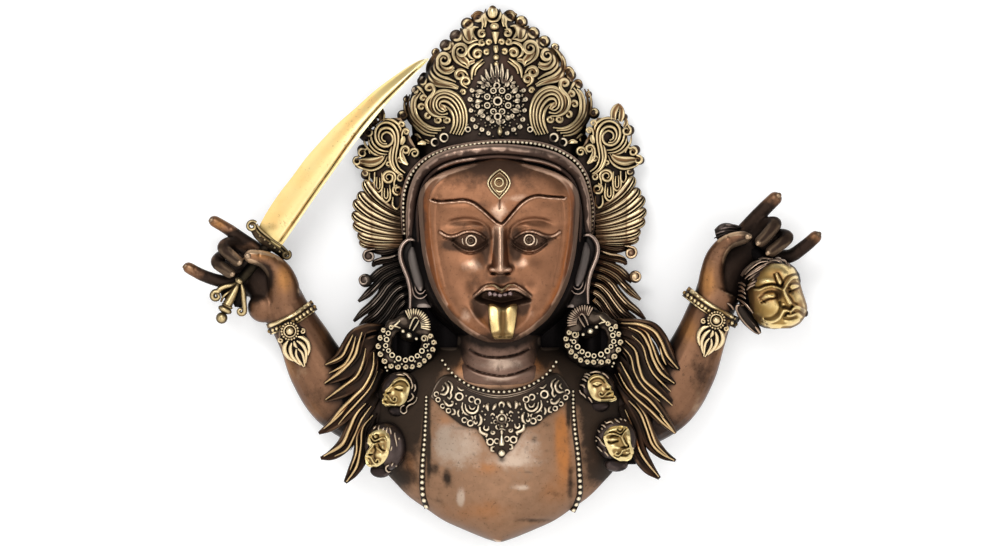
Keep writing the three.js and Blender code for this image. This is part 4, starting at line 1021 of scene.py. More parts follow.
# Earrings: a ribbed fan on the lobe and an open wheel of small rings and curls below it
wheelRings = [
    (82, -265.4, 2.6), (86, -271, 3.1), (91, -276.4, 2.8), (97.4, -279.6, 3.2), (104, -281, 2.8),
    (111.6, -279.4, 3.2), (118.6, -275.6, 3.2), (122.6, -270.6, 2.6), (125.6, -265.2, 2.8),
    (124.6, -258.6, 3.1), (122.8, -251.6, 2.8)]
wheelCurls = [
    (73, -262, 2.8, 30), (74.4, -269.6, 2.8, 60), (78.6, -276.6, 3, 100), (83.6, -281.6, 2.6, 120),
    (89, -286, 2.8, 150), (96.6, -288, 2.6, 170), (103.6, -288.4, 2.8, 190), (112, -288.4, 3, 200),
    (119.6, -287.4, 2.8, 220), (126.6, -282, 3.2, 240), (131, -274.6, 3, 260), (133.4, -266, 3, 280),
    (131.4, -257, 2.8, 300), (128, -248.6, 2.6, 320), (83.4, -257.6, 4, 40), (119.4, -245.4, 2.8, 0),
    (76.6, -255, 2.8, 20)]
wheelBalls = [
    (100, -254, 3.1), (92, -257.6, 1.8), (106.6, -249.4, 2.1), (125.6, -289, 1.5), (108, -285.4, 1.1),
    (93.6, -282.4, 1.1), (87, -277.6, 1.1), (79.6, -270.6, 1.1), (115.6, -283, 1.1), (128, -269.6, 1.1),
    (78.6, -263.6, 1.2), (124, -292.6, 1.2), (127, -254.6, 1.1)]


def makeEarring(side):
    sign, low, shift = (1, 0, 0) if side == "right" else (-1, -4.6, -1.6)

    def turned(rows):
        return [((x + shift) * sign, z + low, *rest) for x, z, *rest in rows]

    def flat(x, z):
        return 75 + 0 * np.asarray(x, float)

    hub = turned([(103, -264)])[0]
    fan = (93.6, -244.6) if side == "right" else (-94, -248.4)
    ribs = []
    for i in range(15):
        a = math.radians(lerp(190, 62, i / 14) if side == "right" else lerp(-12, 116, i / 14))
        ribs.append(leaf([
            (fan[0] + r * math.cos(a), fan[1] + r * math.sin(a), w) for r, w in (
                (8.6, 0.5), (12.6, 0.8), (17.4, 1.0), (19.2, 0.5))
        ], 0.8))
    loop = [(-5, 8), (-3.4, 9.6), (-1.2, 8.6), (2.6, 1.4), (4, -3)], [
        (-6.4, 6.6), (-5, 3.6), (-1.6, -2), (0.4, -5)]
    loops = [stroke(0.9, [(fan[0] + x * sign, fan[1] + z) for x, z in row], 0.7, 0.7, 0.8) for row in loop]
    done(
        joined("earring_fan_" + side, [
            carve(ribs, "swell", flat, -0.5, 2.2), carve(loops, "round", flat, 1, 1.3)]),
        "ribGold" if side == "right" else "earringGold"
    )
    balls = [(x, z, 77, r, r, r, 0) for x, z, r in turned(wheelBalls)]
    done(joined("earring_balls_" + side, [copies(ballShapeFine, balls[:3]), copies(ballShape, balls[3:])]),
        "beadGold")
    curls = [
        stroke(0.95, curl(x, z, r, sign * turn, 1.3, -sign), 0.6, 0.6, 0.9) for (x, z, r),
        turn in zip(turned([row[:3] for row in wheelCurls]), [row[3] for row in wheelCurls])
    ]
    curls.append(stroke(1.1, turned([
        (110, -237.6), (113, -241), (116, -243.4), (112.6, -244.6), (109.6, -246)]), 0.6, 0.6))
    hoops = copies(ringShape, [(x, z, 75.6, r * 0.78, r * 0.78, 3, 0) for x, z, r in turned(wheelRings)])
    done(joined("earring_wheel_" + side, [hoops, carve(curls, "round", flat, 0, 1.4)]), "earringGold")
    deselect()
    bpy.ops.mesh.primitive_torus_add(major_segments=72, minor_segments=12, major_radius=24, minor_radius=8)
    disc = bpy.context.object
    x, z, up = spotsOf(disc).T
    ragged = 1 + 0.035 * np.sin(12 * np.arctan2(z, x))
    moveSpots(disc, place(hub[0] + x * ragged, hub[1] + z * ragged, 70 + up * 0.5))
    back = copies(ballShapeFine, [(fan[0] * 1.01, fan[1] + 1, 60, 19.6, 19, 9, 0)])
    done(joined("earring_disc_" + side, [disc, back]), "wheelDark")


makeFace()
for side in ("right", "left"):
    makeEar(side)
    makeEarring(side)
print("face, ears and earrings made")


# Bust: neck and chest as fine grids
bust = {
    "chestCells": (180, 140), "low": -485, "top": -272, "neckCells": (110, 84), "neckLow": -328,
    "neckTop": -240, "neckBack": 30}
chestHalf = along(
    [-485, 4], [-481, 16], [-472, 38], [-462, 60], [-450, 78], [-436, 98], [-420, 114], [-404, 128],
    [-385, 140], [-345, 150], [-310, 140], [-290, 110], [-272, 70])
chestCrest = along([-485, 62], [-470, 78], [-430, 96], [-380, 104], [-330, 100], [-300, 92], [-272, 80])
neckHalf = along([-330, 112], [-316, 88], [-302, 66], [-288, 52], [-275, 47], [-240, 45])
neckFolds = [
    [(-32, -273.6), (-25, -278), (-14, -281.4), (0, -282.4), (14, -280.4), (24, -277.4), (32, -273.6)],
    [
        (-40, -287.6), (-34, -292), (-22, -298), (-8, -301.4), (4, -302.8), (16, -300.6), (28, -296.4),
        (38, -291), (47, -284.6)]
]


def chestFront(x, z):
    across = clamp(np.abs(x) / chestHalf(z))
    low = np.minimum(50, chestCrest(z) - 6)
    d = low + (chestCrest(z) - low) * (1 - across ** 2) ** 0.75
    d = d - 1.6 * bell(x, z, 40, -461, 26, 3) + 0.8 * bell(x, z, -42, -438, 7, 16)
    return d - 1.0 * bell(x, z, -57, -414, 6, 10)


def neckFront(x, z):
    d = 56 + 42 * np.sqrt(clamp(1 - (x / neckHalf(z)) ** 2))
    for fold in neckFolds:
        line = smoothLine(fold, 1)
        gap = away(line, x, z)
        under = z < np.interp(x, line[:, 0], line[:, 1])
        near = ramp(50 - np.abs(x), 0, 20)
        d = d - 2.4 * hump(gap, 0.9) * near + np.where(under, 1.3, 0.2) * hump(gap - 4, 3.6) * near
    return d - 1.2 * bell(x, z, 1, -293, 2.4, 6)


def bustDepth(x, z):
    x, z = np.broadcast_arrays(np.asarray(x, float), np.asarray(z, float))
    return np.maximum(chestFront(x, z), np.where(z > -318, neckFront(x, z) - 4, 0))


def makeBust():
    def chestLay(u, v):
        z = lerp(bust["low"], bust["top"], v ** 1.3)
        x = u * chestHalf(z)
        return x, z, chestFront(x, z)

    def neckLay(u, v):
        z = lerp(bust["neckLow"], bust["neckTop"], v)
        x = u * neckHalf(z)
        return x, z, neckFront(x, z) - 5 * ramp(-z, 304, 326)

    done(joined("chest", [sheet(*bust["chestCells"], chestLay)]), "chestSkin")
    done(joined("neck", [sheet(*bust["neckCells"], neckLay, bust["neckBack"])]), "neckSkin")


collar = {
    "cells": (100, 36), "left": -74, "right": 80, "lift": 4, "back": 60, "carving": 1.22, "bead": 1.6,
    "beadStep": 5.7, "string": 1.85, "stringStep": 5.2}


def makeNecklace():
    top = along(
        [-74, -325], [-70, -313], [-62, -303], [-50, -302], [-30, -312.4], [0, -318], [30, -313], [52, -302],
        [64, -300], [72, -308], [80, -322])
    foot = along(
        [-74, -326], [-66, -334], [-54, -346], [-42, -355.6], [-34, -358.6], [-24, -360.6], [-16, -372],
        [-9, -383], [-3, -387], [3, -393], [9, -387], [15, -382], [21, -373], [29, -359], [40, -357],
        [52, -347], [66, -338], [80, -324])

    def collarDepth(x, z):
        return bustDepth(x, z) + collar["lift"]

    def lay(u, v):
        x = lerp(collar["left"], collar["right"], (u + 1) / 2)
        z = lerp(foot(x), top(x), v)
        return x, z, collarDepth(x, z) - 1.2 * ramp(np.abs(v - 0.5), 0.44, 0.5)

    done(joined("collar_ground", [sheet(*collar["cells"], lay, collar["back"])]), "bandDark")
    # the great crescents, then the leaves and hooks round them, from the middle outwards
    right = [
        stroke(1.5, [
            (28.6, -332.4), (29.4, -337), (33, -340.6), (38, -340.6), (42, -337), (43.2, -331.4)], 0.6, 0.4),
        stroke(1.0, [(32, -333.6), (34, -336.6), (37, -336.4), (39, -332.6)], 0.5, 0.5),
        stroke(1.2, [(45.8, -329.4), (46.6, -335), (44, -340.6), (38.4, -344)], 0.4, 0.5),
        stroke(1.7, [(27.8, -342.4), (25.6, -347), (26.4, -352), (29.4, -355)], 0.5, 0.4),
        stroke(1.1, curl(31.4, -350.6, 2.4, 90, 1.1)),
        stroke(1.1, [(30.4, -342.6), (32.6, -345.4), (31, -348.4)]),
        stroke(1.1, [(38, -343.8), (35, -345.4), (35.4, -348.8)]),
        stroke(1.2, [(49.4, -336.6), (51.2, -341), (49.6, -345)]),
        stroke(1.0, [(45.4, -339), (46.4, -342)]),
        stroke(1.2, [(57.4, -336), (54.8, -338), (54.6, -341.4), (57.8, -342.6)]),
        stroke(1.4, [(56.2, -328.4), (57.6, -332), (61.4, -332.8), (64.4, -330.4), (66.8, -327)], 0.4, 0.4),
        stroke(1.3, [
            (61.8, -306), (58.4, -309), (57.4, -313.6), (59, -318), (58.4, -322), (60.4, -325.4),
            (62.4, -323.4)]),
        stroke(1.6, [(65.4, -307.6), (62, -312), (62.4, -317), (66, -320.6), (70.4, -320)], 0.4, 0.5),
        stroke(1.0, [(68.4, -311), (66.4, -314), (69, -317)]),
        leaf([(9, -330.6, 0.8), (10.8, -333.6, 1.9), (13, -337.4, 1)]),
        leaf([(17.4, -330, 0.8), (19.2, -333.6, 2.2), (17.8, -338.6, 0.8)]),
        stroke(1.1, [(22, -331.4), (23.4, -335)]),
        stroke(1.0, [(10.6, -344.4), (12.8, -341.4), (15.4, -343.4)]),
        stroke(1.2, [(17.4, -355.2), (18, -358.6), (20.6, -359.8), (22.8, -357.6), (22, -354.8)]),
        stroke(1.7, [(27.2, -356), (26.6, -360.6), (23, -363.2), (19.4, -364.6), (20.4, -367.2)], 0.7, 0.5),
        stroke(1.0, curl(12.6, -362, 2.4, 60, 1.1)),
        stroke(1.1, [(11, -377.4), (14.2, -378.6), (14.4, -381.8), (11.4, -382.6)]),
        stroke(1.0, [(8, -343), (9.6, -347)]),
        stroke(1.0, [(8.4, -353), (9.4, -356.6), (7, -359)]),
        stroke(0.9, [(52, -312), (48, -316), (44.6, -315.6)]),
        stroke(0.9, [(54, -318), (53.6, -322), (55.4, -325)])
    ]
    rings = [
        (49.6, -323, 3.9), (29.6, -328.6, 3), (36, -326, 3), (37.4, -352, 3), (44, -348.6, 2.6),
        (15.8, -372.4, 3.4), (8.6, -371.6, 2.6), (61.4, -338.4, 2.4), (67.8, -333.4, 2.2),
        (74.6, -320.4, 2.4), (72.8, -326.4, 2.3), (10, -350.6, 2)]
    dots = [
        (21.2, -342.6, 1.3), (13, -346.4, 1.1), (22, -348, 1.2), (40.4, -348.4, 1.1), (57.6, -328.6, 1.2),
        (6.8, -354, 1.3), (6, -345, 1.1), (14.4, -351.6, 1.2), (19.4, -370, 1.1), (63.6, -336.6, 1.0),
        (53, -331, 1.1), (42, -322, 1.1), (24.6, -339, 1.1)]

    def mirrored(rows):
        return [(6.2 - x, z - 2.4, *rest) for x, z, *rest in rows]

    left = [np.column_stack([6.2 - line[:, 0], line[:, 1] - 2.4, line[:, 2]]) for line in right]
    lines = []
    for fall, width in ((6.6, 0.8), (8.8, 0.7)):
        lines.append(stroke(width, [(x, top(x) - fall * (1 - 0.3 * abs(x) / 60)) for x in range(-46, 51, 6)]))
    crest = [
        stroke(1.2, [(0.6, -337), (0.4, -333.4), (3, -331.4), (5.4, -333.6), (4.6, -337)]),
        stroke(1.0, [(-1, -362), (3, -360.4), (7, -362)]),
        leaf([(3, -361, 0.8), (3, -364, 1.6), (3, -367, 0.8)])
    ]
    for line in right + left + crest:
        line[:, 2] *= collar["carving"]
    carved = [
        carve(right + left + crest, "round", collarDepth, 0.5, 1.2),
        copies(ringShape, [
            bead(x, z, lambda a, b: collarDepth(a, b) + 0.8, r) for x, z, r in rings + mirrored(rings) + [
                (3, -349.4, 4.6), (3, -357.6, 2.6)]
        ]),
        copies(ballShape, [
            bead(x, z, lambda a, b: collarDepth(a, b) + 0.6, r) for x, z, r in dots + mirrored(dots)
        ])
    ]
    done(joined("collar_scrolls", carved), "collarGold")
    done(joined("collar_lines", [carve(lines, "round", collarDepth, 0.2, 0.9)]), "tuftGold")
    route = [
        (-62, -286), (-54, -296.6), (-44, -306), (-30, -314.6), (-14, -319), (2, -320.4), (16, -319),
        (33, -313.6), (46, -306), (56, -297), (63, -287)]
    drops = [(3, -342, 2.3, 2.3), (3, -349.6, 2.6, 2.6), (3, -357.6, 1.5, 1.5), (3, -387, 3.6, 3.6)]
    gems = [
        copies(ballShape, beadRow(
            route, collar["bead"], collar["beadStep"], lambda x, z: bustDepth(x, z) + 4.4)),
        copies(ballShapeFine, [(x, z, depthAt(bustDepth, x, z) + 5.4, w, t, 3, 0) for x, z, w, t in drops]),
        carve([leaf([(3, -367.6, 0.8), (3, -372, 2), (3, -377.4, 3.2), (3, -379, 2.2)])],
            "swell", collarDepth, 1, 2)
    ]
    done(joined("necklace_beads", gems), "beadGold")
    strings = [
        [(-79.4, -326), (-80.2, -350), (-81.2, -370), (-83.2, -395), (-84, -420), (-83, -435), (-79, -448)],
        [
            (81, -320), (81.4, -340), (83, -362), (86, -385), (88, -410), (88.4, -432), (84, -445),
            (80.6, -452)]
    ]

    def onChest(x, z):
        return chestFront(x, z) + 1.6

    size, step, growth = collar["string"], collar["stringStep"], (0.8, 1.4)
    beads = [copies(ballShape, beadRow(line, size, step, onChest, growth)) for line in strings]
    done(joined("bead_strings", beads), "beadGold")
    cords = [stroke(3.4, line, 0.6, 0.9) for line in strings]
    done(joined("bead_cords", [carve(cords, "swell", chestFront, 0, 0.5)]), "bandDark")


# Shoulder locks: dark bodies with bright ridges, falling outwards over the arms
lockBodies = {
    "right": [
        [
            (126, -243, 3), (148, -246, 6), (167, -251, 7.4), (177, -262, 7.4), (184, -277, 7),
            (190, -288, 5), (198.6, -296.6, 1.4)],
        [
            (126, -252, 4), (150, -258, 8), (163, -272, 8.6), (171, -290, 8), (181, -303, 6),
            (193.6, -312, 1.2)],
        [(128, -262, 5), (146, -274, 9), (155, -294, 9.4), (166, -311, 8), (190, -331, 1.4)],
        [
            (128, -282, 6), (141, -300, 9), (153, -318, 9.4), (170, -338, 9), (183, -354, 6),
            (193.6, -366, 1.6)],
        [
            (132, -312, 6), (145, -330, 9), (156, -350, 9.4), (166, -374, 8.6), (180, -389, 5.6),
            (193.6, -396, 1.6)],
        [(134, -335, 6), (145, -360, 9), (153, -386, 9), (164, -404, 7), (176, -415.4, 2)]
    ],
    "left": [
        [
            (-124, -250, 3), (-144, -251, 6), (-158, -259, 7.4), (-166, -271, 7.4), (-176, -283, 5),
            (-190.6, -291, 1.2)],
        [(-124, -260, 4), (-143, -268, 8), (-154, -284, 8.6), (-167, -299, 7), (-191, -312, 1.2)],
        [(-128, -272, 5), (-143, -290, 9), (-154, -308, 9), (-170, -320, 7), (-191, -330.6, 1.2)],
        [
            (-130, -295, 6), (-140, -312, 9), (-153, -328, 9.4), (-169, -345, 9), (-184, -358, 6),
            (-197.6, -366, 1.6)],
        [
            (-134, -325, 6), (-148, -342, 9), (-160, -362, 9.4), (-171, -380, 8), (-184, -390, 5.6),
            (-195.6, -393.4, 1.8)],
        [(-138, -342, 6), (-147, -365, 9), (-152, -392, 8.6), (-160, -408, 6.4), (-168.6, -420, 2)]
    ]
}
lockRidges = {
    "right": [
        (2.0, [(134, -245), (155, -247), (170, -254), (178, -266), (184, -280), (196, -295)]),
        (1.5, [(152, -249.6), (162, -256), (168, -270), (174, -286), (180, -296)]),
        (1.9, [(142, -249.6), (156, -256.6), (164, -270), (169, -285), (177, -299), (192, -311)]),
        (1.2, [(146, -259), (157, -270), (162, -286), (168, -299), (188, -320)]),
        (1.2, [(176, -270), (179, -282), (183, -291)]),
        (1.8, [(138, -264), (149, -275), (153, -292), (158, -306), (172, -319), (190, -335.4)]),
        (1.2, [(134, -270), (144, -282), (148, -298), (156, -312), (176, -331)]),
        (1.7, [(133, -288), (141, -303), (150, -318), (163, -328), (173, -339), (180, -348)]),
        (1.5, [(131, -300), (139, -315), (150, -327), (166, -341), (180, -355), (193, -366)]),
        (1.3, [(176, -345), (184, -355), (192, -365)]),
        (1.6, [(142, -330), (154, -343), (161, -360), (168, -378), (178, -388), (192, -395.6)]),
        (1.3, [(150, -332), (160, -346), (166, -362), (173, -379), (186, -392)]),
        (1.4, [(138, -340), (147, -362), (154, -385), (163, -399), (175, -413.6)])
    ],
    "left": [
        (1.5, [(-160, -258), (-166, -270), (-172, -281), (-190, -290.6)]),
        (2.1, [(-150, -255), (-154, -268), (-158, -281), (-170, -295), (-191, -311)]),
        (1.5, [(-157, -260), (-161, -276), (-169, -290), (-186, -300)]),
        (1.6, [(-146, -273), (-149, -288), (-156, -303), (-170, -314), (-190, -329)]),
        (2.0, [(-137, -277), (-138, -295), (-147, -314), (-160, -327), (-174, -341), (-186, -356)]),
        (1.3, [(-133, -298), (-141, -316), (-154, -331), (-167, -345), (-176, -356)]),
        (1.2, [(-166, -336), (-176, -347), (-192, -361)]),
        (2.0, [(-146, -333), (-157, -346), (-164, -362), (-172, -378), (-192, -391)]),
        (1.3, [(-140, -336), (-151, -352), (-158, -368), (-167, -384), (-180, -391)]),
        (1.6, [(-138, -346), (-149, -360), (-151, -380), (-156, -402), (-167, -419)]),
        (1.2, [(-146, -352), (-155, -368), (-156, -386), (-163, -406)])
    ]
}


def lockDepth(x, z):
    out = clamp((np.abs(x) - 125) / 80)
    return 60 + 14 * np.sin(math.pi * out ** 0.8) - 14 * clamp((-z - 355) / 65)


lockGround = {"cells": (20, 60), "low": -400, "top": -246, "inner": 112, "back": 20}


def makeLocks(side):
    sign = 1 if side == "right" else -1
    outer = along([-400, 150], [-380, 158], [-355, 168], [-325, 172], [-290, 172], [-262, 160], [-246, 140])

    def lay(u, v):
        z = lerp(lockGround["low"], lockGround["top"], v)
        x = lerp(lockGround["inner"], outer(z), (u + 1) / 2) * sign
        return x, z, lockDepth(x, z) - 6

    done(joined("lock_ground_" + side, [sheet(*lockGround["cells"], lay, lockGround["back"])]), "hairDark")
    bodies = [leaf(row) for row in lockBodies[side]]
    done(joined("lock_bodies_" + side, [carve(bodies, "leaf", lockDepth, 0, 1.1)]), "lockDark")
    ridges = [stroke(width, row, 0.3, 0.35) for width, row in lockRidges[side]]
    done(joined("lock_ridges_" + side, [carve(ridges, "round", lockDepth, 4.2, 1.1)]), "lockGold")
    between = []
    for width, row in lockRidges[side]:
        moved = [(x - 4.4 * sign, z - 0.6) for x, z in row[:-1]]
        between.append(stroke(width * 0.7, moved, 0.4, 0.4))
    done(joined("lock_folds_" + side, [carve(between, "round", lockDepth, 3.6, 1.1)]), "lockDark")


makeBust()
makeNecklace()
for side in ("right", "left"):
    makeLocks(side)
print("bust, necklace and locks made")


# Arms: tubes and balls melted into one skin
def limb(rows, flat=1.0, finger=False):
    # a tube through rows of x, z, d and radius
    line = smoothLine([(x, z, d, r) for x, z, d, r in rows], 2)
    if finger:
        t = np.linspace(0, 1, len(line))
        line[:, 3] *= np.sqrt(1 - 0.9 * clamp((t - 0.9) / 0.1) ** 2)
    deselect()
    bpy.ops.curve.primitive_bezier_curve_add()
    drawn = bpy.context.object
    data = drawn.data
    data.splines.clear()
    data.dimensions = "3D"
    data.twist_mode = "MINIMUM"
    data.bevel_depth = 1
    data.bevel_resolution = 8
    data.use_fill_caps = True
    spline = data.splines.new("POLY")
    spline.points.add(len(line) - 1)
    middle = line[:, 2].mean()
    deep = middle + (line[:, 2] - middle) / flat
    points = np.column_stack([line[:, 0], -deep, line[:, 1], np.ones(len(line))])
    spline.points.foreach_set("co", points.astype(np.float32).ravel())
    spline.points.foreach_set("radius", line[:, 3].astype(np.float32))
    pick(drawn)
    bpy.ops.object.convert(target="MESH")
    tube = bpy.context.object
    x, y, z = spotsOf(tube).T
    moveSpots(tube, place(x, z, middle + (-y - middle) * flat))
    return tube


def melted(name, things, voxel, rounds):
    body = joined(name, things)
    pick(body)
    melt = body.modifiers.new("melt", "REMESH")
    melt.mode = "VOXEL"
    melt.voxel_size = voxel * mark
    bpy.ops.object.modifier_apply(modifier="melt")
    soft = body.modifiers.new("soft", "SMOOTH")
    soft.factor = 0.6
    soft.iterations = rounds
    bpy.ops.object.modifier_apply(modifier="soft")
    return body


def creased(body, lines):
    # fine creases pressed into the front of a melted body
    spots = spotsOf(body) / mark
    for row in lines:
        gap = away(smoothLine(row, 0.6), spots[:, 0], spots[:, 2])
        front = -spots[:, 1] > arms["front"]
        spots[:, 1] += np.where(front, arms["crease"] * hump(gap, arms["creaseWidth"]), 0)
    moveSpots(body, spots * mark)


arms = {"voxel": 1.55, "rounds": 3, "crease": 0.9, "creaseWidth": 0.8, "front": 44}
armRoutes = {
    "left": [
        (-96, -330, 34, 38), (-135, -342, 34, 40), (-172, -328, 34, 37), (-197, -297, 36, 33.4),
        (-214, -264, 39, 28), (-229, -238, 42, 25), (-240, -219, 42, 24)],
    "right": [
        (96, -330, 34, 38), (140, -344, 34, 40), (180, -330, 34, 37), (205, -297, 36, 33.4),
        (221, -262, 39, 28), (234, -228, 42, 25), (243, -208, 42, 24)]
}


def digit(rows, r):
    last = len(rows) - 1
    return limb([(x, z, d, r * (1 - 0.17 * i / last)) for i, (x, z, d) in enumerate(rows)], 1, True)


def makeArms():
    left = melted("arm_left", [
        limb(armRoutes["left"], 0.85),
        limb([(-232, -234, 42, 25), (-244, -215, 38, 26), (-260, -194, 34, 24), (-274, -176, 34, 17)], 0.72),
        copies(ballShapeFine, [
            (-258, -228, 44, 18, 17, 16, 0), (-280, -195, 30, 22, 22, 12, 0),
            (-291, -177, 40, 15, 15, 9, 0)]),
        limb([
            (-236, -226, 44, 20), (-237, -202, 54, 17), (-243, -187, 60, 13.5), (-256, -176, 66, 10),
            (-270, -172.4, 70, 8), (-279, -171.8, 71, 7)], 0.9, True),
        digit([(-262, -166, 42), (-279, -155, 46), (-296, -143, 49), (-317.5, -130.4, 50)], 7.6),
        digit([(-280, -196, 40), (-298, -200, 46), (-322, -194, 49), (-346, -181.6, 50)], 7.6),
        digit([
            (-276, -166, 42), (-293, -157, 54), (-302, -162, 66), (-293, -172, 71), (-282, -181, 71)], 7.6),
        digit([
            (-284, -180, 40), (-301, -171, 52), (-309.6, -178, 63), (-301, -186, 69), (-290, -193, 69)], 7.2)
    ], arms["voxel"], arms["rounds"])
    creased(left, [
        [(-292, -152), (-296, -146), (-294, -138)], [(-305, -144), (-307, -136)],
        [(-317, -201), (-320, -191)], [(-333, -194), (-334, -184)], [(-243, -178), (-250, -166)],
        [(-262, -179), (-263, -166)]])
    done(left, "armSkin")
    right = melted("arm_right", [
        limb(armRoutes["right"], 0.85),
        limb([(238, -216, 42, 24), (246, -196, 38, 24), (260, -176, 34, 22), (280, -160, 34, 17)], 0.7),
        copies(ballShapeFine, [(280, -172, 30, 24, 20, 12, 0)]),
        limb([
            (236, -214, 44, 21), (234, -190, 52, 13.6), (238, -172, 58, 11), (249, -157.6, 64, 9),
            (262, -152.6, 69, 8), (276, -150.6, 71, 6.8)], 0.9, True),
        digit([(262, -152, 42), (276, -136, 46), (292, -119, 49), (308, -103.6, 50)], 9.0),
        digit([(296, -170, 40), (318, -172, 46), (334, -162, 49), (352, -146.4, 50)], 8.2),
        digit([(276, -150, 42), (293, -137, 54), (302.6, -136, 66), (295, -147, 71), (282, -160, 71)], 8.0),
        digit([(288, -160, 40), (306, -149, 52), (316, -151, 63), (306, -161, 69), (293, -170, 69)], 7.8)
    ], arms["voxel"], arms["rounds"])
    creased(right, [
        [(285, -134), (279, -124)], [(299, -120), (291, -112)], [(331, -170), (328, -159)],
        [(343, -160), (339, -151)], [(239, -178), (228, -174)], [(254, -160), (250, -148)]])
    done(right, "armSkin")
    nails = [
        (-315, -132.4, 55.4, 4.4, 3.2, 28), (-343.6, -183, 55, 4.4, 3, 28), (-284, -179, 77.4, 4.2, 3.4, 42),
        (-292, -191.4, 75, 4, 3.4, 40), (-275, -171.6, 77.4, 5, 3.8, -3), (306, -105.8, 56.6, 4.8, 3.8, 45),
        (350, -148.2, 55.6, 4.6, 3.4, 38), (284, -157.6, 77.6, 4.2, 3.4, 50),
        (295, -168.2, 74.8, 4.2, 3.4, 42), (273, -150.6, 77, 5.2, 3.8, 5)]
    plates = copies(ballShapeFine, [
        (x, z, d - 1.6, a * 0.85, b * 0.85, 2.2, turn) for x, z, d, a, b, turn in nails
    ])
    done(joined("nails", [plates]), "nailGold")


cuff = {"cord": 6.0, "bead": 2.4, "beadStep": 4.7, "cells": (20, 40), "foot": -42, "head": 10, "back": 50}


def makeCuff(name, start, end, plaque):
    # a bracelet of a smooth cord and a row of beads, and a leaf plaque hung on it
    (ax, az), (bx, bz) = start, end
    length = math.hypot(bx - ax, bz - az)
    nx, nz = -(bz - az) / length, (bx - ax) / length
    route = [(
        lerp(ax, bx, t), lerp(az, bz, t) - 3.4 * math.sin(math.pi * t),
        38 + 27 * math.sin(math.pi * t) ** 0.6) for t in np.linspace(0, 1, 13)]
    carrier = nearestDepth(route)

    def shifted(by):
        return [(x + nx * by, z + nz * by) for x, z, _ in route]

    cords = [stroke(width, shifted(by), 1, 1) for width, by in ((2.6, 3.6), (0.9, -5.8))]
    band = [stroke(cuff["cord"], shifted(-0.6), 1, 1)]
    done(joined("cuff_" + name, [carve(band, "swell", carrier, -1.5, 1.0)]), "crownGround")
    beads = copies(ballShape, beadRow(
        shifted(-2.4), cuff["bead"], cuff["beadStep"], lambda x, z: carrier(x, z) + 1.4))
    done(joined("cuff_cords_" + name, [carve(cords, "round", carrier, 0.4, 1.1), beads]), "hiltBrass")
    x, z, turn, side = plaque
    c, s = math.cos(math.radians(turn)), math.sin(math.radians(turn))

    def laid(rows):
        return [(x + side * a * c - b * s, z + side * a * s + b * c, *rest) for a, b, *rest in rows]

    def depth(px, pz):
        off = np.hypot(np.asarray(px, float) - x, np.asarray(pz, float) - z)
        return 74 - 0.16 * off

    width = along([-42, 1], [-34, 6], [-24, 12], [-12, 15], [-2, 14], [7, 9], [10, 2])

    def lay(u, v):
        b = lerp(cuff["foot"], cuff["head"], v)
        a = u * width(b)
        px, pz = x + a * c - b * s, z + a * s + b * c
        return px, pz, depth(px, pz) - 2 - 3 * u ** 2

    done(joined("plaque_ground_" + name, [sheet(*cuff["cells"], lay, cuff["back"])]), "crownGround")
    ring = [(9 * math.cos(a), 9 * math.sin(a)) for a in np.linspace(0, 2 * math.pi, 19)[:-1]]
    dots = [(*laid([row])[0], depth(*laid([row])[0]) + 1, 1.3, 1.3, 1.5, 0) for row in ring]
    rim = [(6.4 * math.cos(a), 6.4 * math.sin(a)) for a in np.linspace(0, 2 * math.pi, 30)]
    flames, hooks = [[(0, -12, 0.8), (-0.5, -16, 1.9), (0.4, -20, 0.6)]], []
    for way in (-1, 1):
        rows = [
            [(6, -9, 0.8), (11, -12.6, 2.1), (13.6, -19, 2.3), (12, -26.6, 1.8), (8.6, -32, 0.5)],
            [(3, -12.6, 0.8), (6.8, -18, 2.1), (8.2, -25, 2.1), (6.4, -32, 1.6), (3, -39, 0.5)],
            [(1, -21, 0.7), (3.4, -27, 1.5), (2.8, -33.6, 1.4), (0.6, -42, 0.5)]
        ]
        flames += [[(way * a, b, w) for a, b, w in row] for row in rows]
        hooks += [curl(way * 13, -5.4, 2.8, 90, 1.2, -way)]
    parts = [
        carve([leaf(laid(row), 0.9) for row in flames], "swell", depth, 0.4, 1.2),
        carve(
            [stroke(1.0, laid(row), 0.6, 0.6, 0.9) for row in hooks] + [stroke(1.1, laid(rim), 1, 1)],
            "round", depth, 0.4, 1.3
        ),
        copies(ballShape, dots),
        copies(ballShapeFine, [(x, z, 74, 4.4, 4.4, 4, 0)])
    ]
    done(joined("plaque_" + name, parts), "plumeGold")


makeArms()
makeCuff("left", (-253, -252), (-203, -225), (-229, -254, 22, 1))
makeCuff("right", (205, -210), (262, -245), (238, -242, -18, -1))
print("arms, hands and bracelets made")


# Sword: a blade swelling towards its point, its guard, grip and pronged pommel
sword = {"cells": (36, 170), "back": 48, "low": 50.4, "swell": 5.4, "groove": 2.2}
bladeOuter = smoothLine([
    (-268, -150), (-261.5, -136), (-253, -121), (-242, -104.5), (-227, -85), (-211, -63.4), (-194, -44.4),
    (-178, -27.6), (-158, -10), (-136, 9.8), (-114, 26.2), (-98, 37), (-87, 42.8), (-77.4, 45.4)], 1)
bladeInner = smoothLine([
    (-240, -163), (-200, -105), (-180, -77), (-160, -50), (-140, -25), (-120, -1), (-100, 20), (-77, 43.6)],
    1)
bladeLine = [
    (-240, -155.4), (-220, -127), (-200, -98), (-180, -70), (-170, -55.6), (-150, -28.6), (-130, -6),
    (-110, 14), (-90, 33.4), (-81, 41.4)]
bladeGroove = smoothLine(bladeLine, 0.8)


def evenly(line, t):
    run = np.r_[0, np.cumsum(np.linalg.norm(np.diff(line[:, :2], axis=0), axis=1))]
    return np.interp(t * run[-1], run, line[:, 0]), np.interp(t * run[-1], run, line[:, 1])


